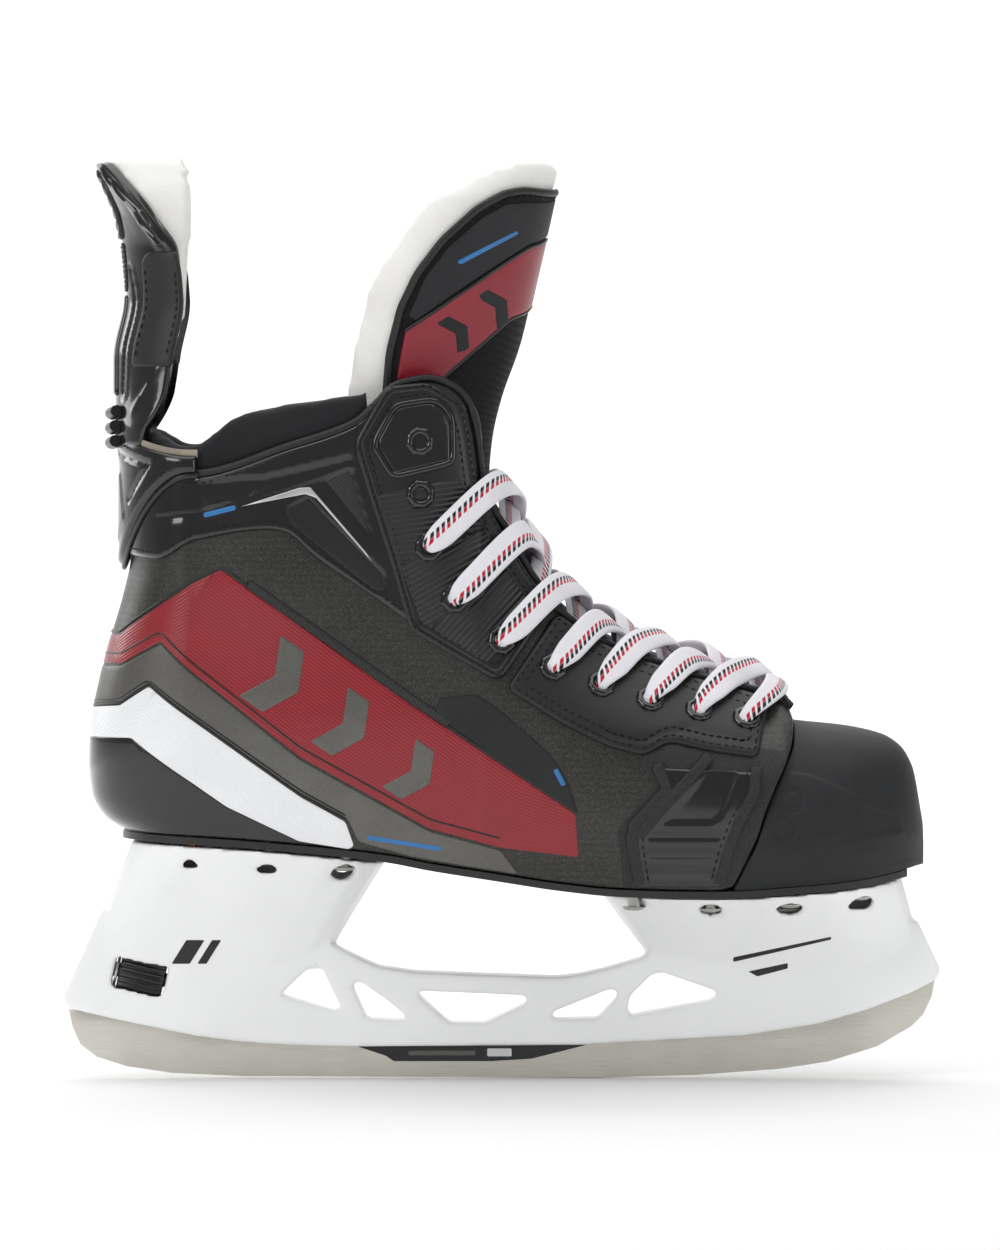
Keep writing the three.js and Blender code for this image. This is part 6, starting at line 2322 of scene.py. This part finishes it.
@dataclass
class TendonGuard:
    """The flexible guard over the tendon, on its base round the heel."""

    wall: float = 3.0
    felt: float = 6.0
    foot: float = 207.5
    top: float = 300.0
    reach: float = 35.5
    base_offset: float = 1.8
    flex_low: tuple[float, float, float] = (-0.1275, 0.0, 0.2106)
    flex_high: tuple[float, float, float] = (-0.1275, 0.0, 0.2176)

    def build(self) -> None:
        """Builds the guard, its spine, its felt and its base."""
        self.surface = GuardSurface()
        self.body()
        self.details()
        self.felt_pad()
        self.base()

    def body(self) -> None:
        """The guard's wall, with its moulded seams, its placing baked into its mesh."""
        reach = self.reach
        half = [(0.0, self.foot), (reach - 7, self.foot), (reach - 5.5, 212), (reach - 1.5, 218), (reach, 224),
                (reach, 262), (reach, 272), (26, self.top - 3), (18, self.top), (0.0, self.top)]
        outline = half[1:-1] + [(-a, b) for a, b in half[1:-1][::-1]]
        relief = total(
            ridge([(13.5, 224), (13.5, 258), (11, 266)], -0.9, 1.5),
            ridge([(16.5, 224), (16.5, 256), (14, 266)], 0.45, 1.2),
            ridge([(29, 272), (20.5, 290), (14, 297)], 0.9, 1.5),
            ridge([(33, 272), (24, 291), (18, 298)], 0.9, 1.5),
            ridge([(22, 219), (30, 231), (31, 234)], 0.5, 1.6),
        )
        made = Panel("tendon_guard", self.surface, outline, 1.2, base=-1.2, under=self.wall - 1.2, edge=1.4,
                     corner=2.5, spacing=1.3, relief=relief).build()
        dress(made, "black_gloss", "black_gloss", "tendon_guard", body="")
        scale = SCALE / MM
        start, end = (tuple(np.array(p) * scale) for p in (self.flex_low, self.flex_high))
        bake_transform(made)
        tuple(start)
        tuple(end)

    def details(self) -> None:
        """The sleeve on each side, the spine, and its bumps, notches and rough grip."""
        for name, side in (("outer", -1), ("inner", 1)):
            sleeve = [(side * a, b) for a, b in ((19.5, 233.5), (20.5, 268), (24, 271), (35.8, 271), (36.6, 264),
                                                 (36.4, 233.5))]
            made = Panel(f"guard_sleeve_{name}", self.surface, sleeve, 0.9, base=-0.1, under=0.6, edge=0.9, corner=2.0,
                         spacing=1.4).build()
            dress(made, "black_leather", "black_leather", body="guard")
            row = [(side * a, b) for a, b in ((21.6, 235), (22.4, 267))]
            front = [(side * a, b) for a, b in ((34.2, 236), (34.6, 266))]
            made = make_stitches(f"guard_stitching_{name}", self.surface, [row, front], lift=0.8, pitch=2.7)
            dress(made, "thread", "black_matte", body="guard")
        notches = total(*(ridge([(0, z), (7, z + 2.2)], -1.1, 1.7) for z in np.arange(277, 297, 3.9)))
        head = [(-8.5, 275), (-9.5, 282), (-8.5, 292), (-6, 298), (6, 298), (8.5, 292), (9.5, 282), (8.5, 275)]
        made = Panel("guard_head", self.surface, head, 1.3, base=-0.1, under=0.9, edge=1.2, corner=2.0, spacing=0.9,
                     relief=notches).build()
        dress(made, "black_satin", "black_satin", body="guard")
        grip = [(-6.5, 258), (-8, 264), (-8, 274), (8, 274), (8, 264), (6.5, 258)]
        knurl = total(*(ridge([(0, z), (8, z)], -0.5, 0.9) for z in np.arange(259, 274, 1.6)))
        made = Panel("guard_grip", self.surface, grip, 0.9, base=-0.1, under=0.9, edge=0.7, corner=1.5, spacing=0.8,
                     relief=knurl).build()
        dress(made, "black_grit", "black_satin", body="guard")
        spine = [(-9, 224), (-6, 257), (6, 257), (9, 224)]
        made = Panel("guard_spine", self.surface, spine, 1.0, base=-0.1, under=0.9, edge=1.0, corner=1.5,
                     spacing=1.3).build()
        dress(made, "black_gloss", "black_gloss", body="guard")
        for i, z in enumerate((208.6, 213.4, 218.2)):
            line = [(-13, z + 0.8), (-8, z), (8, z), (13, z + 0.8)]
            bump = make_piping(f"guard_bump_{i + 1}", self.surface, line, 4.2, 4.6, lift=1.2)
            dress(bump, "black_satin", "black_satin", body=("boot", "boot", "guard")[i])

    def felt_pad(self) -> None:
        """The felt inside the guard, which rolls forward at the top."""
        roll = SmoothCurve([(240, 0), (270, 5), (290, 14), (300, 20)])
        a = np.linspace(-28, 28, 45)
        b = np.linspace(224.5, 301.0, 40)
        grid_a, grid_b = (g.ravel() for g in np.meshgrid(a, b))
        outer = self.surface.lifted(grid_a, grid_b, -self.wall - CLEARANCE)
        inner = outer - self.surface.normal(grid_a, grid_b) * self.felt
        inner[:, 0] += roll(grid_b)
        count, rows, columns = len(grid_a), len(b), len(a)
        faces = grid_faces(rows, columns) + [tuple(reversed(f)) for f in grid_faces(rows, columns, start=count)]
        ring = list(range(columns)) + [i * columns + columns - 1 for i in range(1, rows)]
        ring += [(rows - 1) * columns + j for j in range(columns - 2, -1, -1)]
        ring += [i * columns for i in range(rows - 2, 0, -1)]
        faces += [(i, j, j + count, i + count) for i, j in zip(ring, ring[1:] + ring[:1])]
        made = make_mesh("guard_felt", np.vstack([outer, inner]), faces)
        Puff(cap=0.0006).apply(made)
        dress(made, "white_felt", "white_felt", "tendon_guard_felt", body="guard")

    def base(self) -> None:
        """The guard's base, its sewn edge, its moulded arrowheads and the lining over it."""
        us = np.linspace(HEEL_SEAM, -99, 30)
        wing = smoothstep(us, HEEL_SEAM, -101.5)
        low = lerp(168.0, 199.0, wing**0.8)
        high = lerp(213.0, 205.0, wing)
        half = [(u - HEEL_SEAM, h) for u, h in zip(us, high)] + [(u - HEEL_SEAM, h) for u, h in zip(us, low)][::-1]
        outline = half[:-1] + [(-a, b) for a, b in half[::-1]][:-1]
        relief = total(
            ridge([(8, 206), (34, 202), (20, 190)], -0.7, 1.6),
            plateau([(5, 176), (16, 184), (9, 199), (5, 199)], 0.5),
        )
        made = Panel("tendon_guard_base", SKIN, outline, 2.4, base=self.base_offset, under=0.3, edge=1.8, corner=2.5,
                     spacing=1.2, relief=relief).build()
        dress(made, "black_gloss", "black_satin", "tendon_guard_base")
        edge = [(u - HEEL_SEAM, h - 0.6) for u, h in zip(us, low)]
        bead = make_piping("guard_base_welt", SKIN, both_ways(edge), 2.2, 1.8, lift=self.base_offset)
        dress(bead, "black_satin", "black_satin")
        rows = [[(side * (u - HEEL_SEAM), h - 2.6) for u, h in zip(us, high)][4:] for side in (-1, 1)]
        thread = make_stitches("guard_base_stitching", SKIN, rows, lift=self.base_offset + 2.35, pitch=2.6)
        dress(thread, "thread", "black_matte")
        over = [(u - HEEL_SEAM, h + 0.4) for u, h in zip(us, high)]
        lining = make_piping("guard_lining", SKIN, both_ways(over), 2.6, 1.0, lift=self.base_offset + 0.7)
        dress(lining, "lining_beige", "padding")


# ------------------------------------------------------------------ Lace
@dataclass
class Lace:
    """One flat knitted lace: a bar across the front pair, then criss-cross up to the third pair."""

    laced_from: int = 2
    cad_diameter: float = 2.4
    out: float = 4.7
    under: float = 6.1
    width: float = 9.6
    thickness: float = 2.3
    throat_way: tuple[float, float] = (0.72, 0.7)
    beside_eyelet: float = 5.6

    def seat(self, side: float, i: int) -> tuple[np.ndarray, np.ndarray]:
        """An eyelet's middle and its outward direction."""
        return self.skin_at(side, *EYELETS[i])

    def skin_at(self, side: float, x: float, z: float) -> tuple[np.ndarray, np.ndarray]:
        """A skin point and its outward direction."""
        a, b = np.array([SKIN.unroll(x, z) * side]), np.array([float(z)])
        return SKIN.point(a, b)[0], SKIN.normal(a, b)[0]

    def towards_throat(self, i: int, distance: float) -> tuple[float, float]:
        """The side-view point at a distance from an eyelet towards the throat."""
        x, z = EYELETS[i]
        return x + self.throat_way[0] * distance, z + self.throat_way[1] * distance

    def throat_edge(self, side: float, i: int) -> tuple[np.ndarray, np.ndarray, np.ndarray]:
        """The throat's edge beside an eyelet: the point, its outward direction, and the way there.

        Args:
            side: the side of the boot.
            i: the eyelet's number from the top.

        Returns:
            The point, its outward direction, and the direction from the eyelet to it.
        """
        reach = 0.0
        for distance in np.arange(0, 30.5, 0.5):
            x, z = self.towards_throat(i, distance)
            if z <= float(top_line(x)):
                reach = distance
        point, out = self.skin_at(side, *self.towards_throat(i, reach))
        way = point - self.seat(side, i)[0]
        return point, out, way / np.linalg.norm(way)

    def crossing(self, start: int, end: int, side: float, other: float, lift: float) -> list[tuple]:
        """The lace from an eyelet to the next one on the other side.

        Args:
            start: the eyelet that it leaves, on the inside.
            end: the eyelet that it enters, from the outside.
            side: the side that it leaves.
            other: the side that it enters.
            lift: how far its middle stands off the tongue.

        Returns:
            (point, up, width share) for each step.
        """
        middle_up = np.array([0.6, 0.0, 0.8])
        here, here_out = self.seat(side, start)
        there, there_out = self.seat(other, end)
        near, near_out, near_way = self.throat_edge(side, start)
        far, far_out, far_way = self.throat_edge(other, end)
        under = near - near_out * self.under - near_way
        over = far + far_out * (self.out - 0.2) + far_way * self.cad_diameter
        beside, beside_out = self.skin_at(other, *self.towards_throat(end, self.beside_eyelet))
        return [
            (here - here_out * self.under, here_out, 0.4),
            (under, near_out, 0.8),
            (lerp(under, over, 0.5) + middle_up * lift, middle_up, 0.95),
            (over, far_out, 1.0),
            (beside + beside_out * (self.out - 0.4), beside_out, 0.92),
            (there + there_out * (self.out - 1.4), there_out, 0.5),
        ]

    def path(self) -> list[tuple]:
        """The whole lace from tail to tail.

        Returns:
            (point, up, width share) for each step.
        """
        last = len(EYELETS) - 1

        def strand(side: float, lift: float) -> list[tuple]:
            """One end of the lace, from the front pair up to its tail.

            Args:
                side: the side that it starts on.
                lift: how far its middle stands off the tongue.

            Returns:
                Its steps, as path gives them.
            """
            made: list[tuple] = []
            for i in range(last, self.laced_from, -1):
                made += self.crossing(i, i - 1, side, -side, lift)
                side = -side
            point, out = self.seat(side, self.laced_from)
            inside_it = point - out * self.under
            tail = inside_it + np.array([-7.0, 0, -4])
            return made + [(inside_it, out, 0.5), (tail, out, 0.8), (tail + np.array([-8.0, 0, -36]), out, 0.8)]

        def bar(side: float) -> list[tuple]:
            """Half of the bar across the front pair.

            Args:
                side: the side of the half.

            Returns:
                Its steps, as path gives them.
            """
            point, out = self.seat(side, last)
            edge, edge_out, _ = self.throat_edge(side, last)
            return [(point + out * (self.out - 1.4), out, 0.5), (edge + edge_out * self.out, edge_out, 0.9)]

        return strand(-1.0, 4.6)[::-1] + bar(-1.0) + bar(1.0)[::-1] + strand(1.0, 8.4)

    def build(self) -> None:
        """Builds the lace as one ribbon along its path."""
        steps = self.path()
        per_span = 9
        points = catmull(np.array([p for p, _, _ in steps]), per_span)
        ups = catmull(np.array([u for _, u, _ in steps]), per_span)
        shares = np.interp(np.arange(len(points)) / per_span, np.arange(len(steps)), [s for _, _, s in steps])
        ups /= np.linalg.norm(ups, axis=1, keepdims=True)
        sides = 18
        angle = np.linspace(0, 2 * np.pi, sides, endpoint=False)

        def section(i: int) -> np.ndarray:
            """The lace's soft flat section, narrower and rounder in an eyelet.

            Args:
                i: the section's number along the lace.

            Returns:
                The points round the section.
            """
            wide = self.width * shares[i]
            thick = self.thickness * (1.0 + 0.35 * (1 - shares[i]))
            across = np.sign(np.cos(angle)) * np.abs(np.cos(angle)) ** 0.75 * wide / 2
            up = np.sign(np.sin(angle)) * np.abs(np.sin(angle)) ** 0.9 * thick / 2
            return np.stack([across, up + 0.5 * (across / self.width) ** 2], axis=1)

        made = make_sweep("lace", points, ups, section)
        dress(made, "lace_knit", "lace", "lace", smooth_levels=1)


# ------------------------------------------------------------------ Holder, rivets, runner and lock
@dataclass
class Holder:
    """The moulded holder, its edges softened as they come out of a mould."""

    voxel: float = 0.85
    rounds: int = 7
    marks: Sequence[Outline] = (
        ((-109, 38), (-103, 38), (-98, 46), (-104, 46)),
        ((-100.5, 38), (-97.5, 38), (-92.5, 46), (-95.5, 46)),
        ((76, 38.6), (108, 46.4), (108, 47.4), (76, 40.2)),
        ((81, 35.4), (94, 38.2), (94, 36.4), (84, 33.8)),
    )

    def build(self) -> None:
        """Builds the holder's surface from the frame's own solid."""
        made = frame["nodes"]["holder"].copy()
        made.data = frame["nodes"]["holder"].data.copy()
        made.name = "holder_body"
        made.parent = None
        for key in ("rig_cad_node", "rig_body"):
            del made[key]
        bpy.context.scene.collection.objects.link(made)
        remesh = made.modifiers.new("even", "REMESH")
        remesh.mode, remesh.voxel_size, remesh.use_smooth_shade = "VOXEL", self.voxel * MM, True
        smooth = made.modifiers.new("soften", "SMOOTH")
        smooth.factor, smooth.iterations = 0.5, self.rounds
        apply_modifiers(made)
        made.data.shade_smooth()
        dress(made, "holder_nylon", "holder_nylon", "holder")
        for side in Side:
            face = HolderFace(side, made)
            for i, outline in enumerate(self.marks):
                mark = Panel(f"holder_mark_{tags(side)}_{i + 1}", face, outline, 0.1, base=0.03, under=0.3, edge=0.15,
                             corner=0.4, spacing=0.9).build()
                dress(mark, "print_black", "black_satin")


class HolderFace(Surface):
    """One outer face of the holder. The coordinates are X and the height."""

    def __init__(self, side: Side, holder: bpy.types.Object) -> None:
        """Prepares the search for the face.

        Args:
            side: the side of the holder.
            holder: the holder's object.
        """
        self.side = side.value
        self.outward = -side.value
        self.tree = BVHTree.FromPolygons([v.co for v in holder.data.vertices],
                                         [tuple(f.vertices) for f in holder.data.polygons])

    def point(self, a: np.ndarray, b: np.ndarray) -> np.ndarray:
        """Points of the face, found from outside.

        Args:
            a: the places along X.
            b: the heights.

        Returns:
            The points, one per row.
        """
        a, b = np.broadcast_arrays(np.asarray(a, float), np.asarray(b, float))
        found = []
        for x, z in zip(a, b):
            start = Vector(np.array([x, self.side * 80, z]) * SCALE)
            hit = self.tree.ray_cast(start, Vector((0, -self.side, 0)))[0]
            found.append(np.array(hit if hit else start) / SCALE)
        return np.array(found)


@dataclass
class Rivets:
    """The rivets that fasten the holder: copper at the back of the heel, steel elsewhere."""

    shank: float = 4.2
    head: float = 7.6
    head_height: float = 1.2
    flange: float = 3.2
    outsole: float = 2.4

    def build(self) -> None:
        """Builds all fourteen."""
        rows = {"heel": ((-102, 20), (-77, 21), (-52, 21)), "toe": ((43, 28), (68, 29), (94, 28), (117, 23))}
        head, shank = self.head / 2, self.shank / 2
        through = self.flange + self.outsole + 4 * CLEARANCE
        profile = [
            (0.01, -self.head_height), (head * 0.45, -self.head_height), (head * 0.75, -0.95), (head * 0.93, -0.55),
            (head, -0.15), (head, 0.0), (shank, 0.0), (shank, through + CLEARANCE), (shank + 1, through + CLEARANCE),
            (shank + 0.8, through + 0.7), (shank + 0.3, through + 0.9), (0.01, through + 0.9),
        ]
        for end, places in rows.items():
            for side in Side:
                for i, (x, y) in enumerate(places):
                    under = float(sole_line(x)) - self.outsole - 2 * CLEARANCE - self.flange - CLEARANCE
                    name = f"rivet_{end}_{tags(side)}_{i + 1}"
                    made = make_turned(name, profile, np.array([x, side.value * y, under]), np.array([0.0, 0, 1]), 28)
                    copper = end == "heel" and i == 0
                    dress(made, "rivet_copper" if copper else "rivet_steel", "copper" if copper else "steel", name)


@dataclass
class Runner:
    """The steel runner with its printed plate, and the lock that draws it into the holder."""

    thickness: float = 3.0
    plate: Outline = ((-48, 10.4), (-38.5, 7.3), (-35.9, 5.5), (-4, 5.5), (9.6, 6.3), (28, 10.9))

    def build(self) -> None:
        """Builds the runner, its plates and the lock's pieces."""
        self.softened("runner", "runner_steel", "steel", "runner_blade", 0.35)
        for side in Side:
            self.print_plate(side)
        self.dial()
        self.softened("lock_washer", "rivet_steel", "steel", "boot", 0.1)
        self.softened("lock_bolt", "rivet_steel", "steel", "bolt", 0.15)

    def softened(self, node: str, finish: str, slot: str, body: str, edge: float) -> None:
        """A machined piece from the frame's own solid, its edges broken.

        Args:
            node: the CAD node.
            finish: the finish's name.
            slot: the record's material slot.
            body: the body that it rides on.
            edge: the width of its broken edges, in millimetres.
        """
        source = frame["nodes"][node]
        work = bmesh.new()
        work.from_mesh(source.data)
        bmesh.ops.remove_doubles(work, verts=work.verts, dist=1e-6)
        bmesh.ops.dissolve_limit(work, angle_limit=math.radians(1.5), verts=work.verts, edges=work.edges)
        mesh = bpy.data.meshes.new(node + "_machined")
        work.to_mesh(mesh)
        work.free()
        made = bpy.data.objects.new(node + "_machined", mesh)
        bpy.context.scene.collection.objects.link(made)
        bevel = made.modifiers.new("edge", "BEVEL")
        bevel.width, bevel.segments, bevel.limit_method = edge * MM, 2, "ANGLE"
        bevel.angle_limit = math.radians(25)
        apply_modifiers(made)
        made.data.shade_smooth()
        made.data.set_sharp_from_angle(angle=math.radians(35))
        dress(made, finish, slot, node, body=body)

    def dial(self) -> None:
        """The thumb dial, with its fluted grip."""
        bore, grip, half, ribs = 2.7, 7.5, 7.5, 22
        profile = [(bore, -half), (grip - 0.9, -half), (grip, -half + 0.8), (grip, half - 0.8), (grip - 0.9, half),
                   (bore, half)]
        tilt = math.radians(13)

        def flutes(angle: np.ndarray, radius: float, _: float) -> np.ndarray:
            """How deep the grip's flutes are."""
            return (np.cos(ribs * angle) - 1) * (0.42 if radius > grip - 1 else 0.0)

        made = make_turned("lock_dial_grip", profile, np.array([-119.0, 0, 34]),
                           np.array([math.cos(tilt), 0, -math.sin(tilt)]), ribs * 8, flutes)
        dress(made, "black_satin", "black_satin", "lock_dial", body="dial")

    def print_plate(self, side: Side) -> None:
        """The dark printed shape on one face of the runner.

        Args:
            side: the side of the runner.
        """
        y = side.value * self.thickness / 2
        for name, outline, finish, depth in (
            ("runner_print", self.plate, "print_black", 0.06),
            ("runner_mark_rear", strip([(-31, 8.2), (-9, 8.2)], 1.5), "silver_film", 0.1),
            ("runner_mark_front", strip([(-5, 8.4), (3, 8.4)], 2.6), "print_silver", 0.1),
        ):
            ring = resampled(rounded(outline, 0.4), 2.0, closed=True)
            rings = [np.stack([ring[:, 0], np.full(len(ring), y + side.value * d), ring[:, 1]], axis=1)
                     for d in (-0.3, depth)]
            dress(make_loft(f"{name}_{tags(side)}", rings), finish, "black_satin", body="runner_blade")


# ------------------------------------------------------------------ Studio
@dataclass
class Studio:
    """A pale floor, soft lights, and the camera square to the outer side."""

    distance: float = 2.6
    view_height: float = 0.406
    elevation: float = 2.0
    centre: tuple[float, float, float] = (-0.0008, -0.04, 0.151)
    room_light: float = 0.33
    backdrop_start: float = 3.0
    backdrop_bend: float = 1.6

    def build(self) -> None:
        """Builds the floor, the lights and the camera."""
        bpy.context.scene.view_settings.view_transform = "Standard"
        self.floor()
        self.room()
        self.lights()
        self.camera()

    def floor(self) -> None:
        """A floor that curves up into a backdrop far behind."""
        mesh = bpy.data.meshes.new("floor")
        start, bend = self.backdrop_start, self.backdrop_bend
        back = [(start + bend * math.sin(t), bend - bend * math.cos(t)) for t in np.linspace(0, math.pi / 2, 10)]
        profile = [(-6.0, 0.0)] + back + [(start + bend, 5.0)]
        points = [(x, y, z - 0.0002) for y, z in profile for x in (-6, 6)]
        mesh.from_pydata(points, [], grid_faces(len(profile), 2))
        mesh.shade_smooth()
        made = bpy.data.objects.new("floor", mesh)
        bpy.context.scene.collection.objects.link(made)
        mesh.materials.append(Finish("floor_paper", (250, 250, 250), 0.9, variation=0.0, wear=0.0, dust=0.0,
                                     grain=(2.0, 0.0)).material())

    def room(self) -> None:
        """The pale room round the skate."""
        world = bpy.data.worlds.new("room")
        bpy.context.scene.world = world
        world.use_nodes = True
        world.node_tree.nodes["Background"].inputs[0].default_value = (1.0, 1.0, 1.0, 1.0)
        world.node_tree.nodes["Background"].inputs[1].default_value = self.room_light

    def lights(self) -> None:
        """Large soft boxes over, beside, in front of and behind the skate."""
        boxes = (
            ("top", (0.0, -0.2, 2.0), (0, 0, 0.0), 2.2, 24),
            ("front_left", (-1.3, -1.4, 1.0), (0, 0, 0.12), 0.8, 10),
            ("front_right", (1.5, -1.1, 0.5), (0, 0, 0.12), 0.6, 3),
            ("backdrop", (0.0, 2.0, 2.6), (0, 3.6, 0.6), 3.0, 80),
            ("rear_left", (-1.2, 0.9, 0.7), (0, 0, 0.15), 0.8, 5),
        )
        for name, place, target, size, power in boxes:
            light = bpy.data.lights.new(name, "AREA")
            light.size, light.energy = size, power
            lamp = bpy.data.objects.new(name, light)
            lamp.location = place
            lamp.rotation_euler = (Vector(target) - Vector(place)).to_track_quat("-Z", "Y").to_euler()
            bpy.context.scene.collection.objects.link(lamp)

    def camera(self) -> None:
        """A long lens, level with the skate and square to its outer side."""
        lens = bpy.data.cameras.new("camera")
        lens.sensor_width = 36
        lens.lens = 36 * self.distance / self.view_height
        made = bpy.data.objects.new("camera", lens)
        rise = math.radians(self.elevation)
        centre = Vector(self.centre)
        made.location = centre + Vector((0, -math.cos(rise), math.sin(rise))) * self.distance
        made.rotation_euler = (centre - made.location).to_track_quat("-Z", "Y").to_euler()
        bpy.context.scene.collection.objects.link(made)
        bpy.context.scene.camera = made


def main() -> None:
    """Builds the skate and its studio."""
    logging.basicConfig(level=logging.INFO, format="%(name)s %(message)s")
    Studio().build()
    assemblies = (BootShell(), AnkleCuff(), Collar(), Facings(), VampGuard(), Eyelets(), ToeCap(), Sole(), Tongue(),
                  TendonGuard(), Lace(), Holder(), Rivets(), Runner())
    for assembly in assemblies:
        log.info("building %s", type(assembly).__name__)
        assembly.build()


if __name__ == "__main__":
    main()
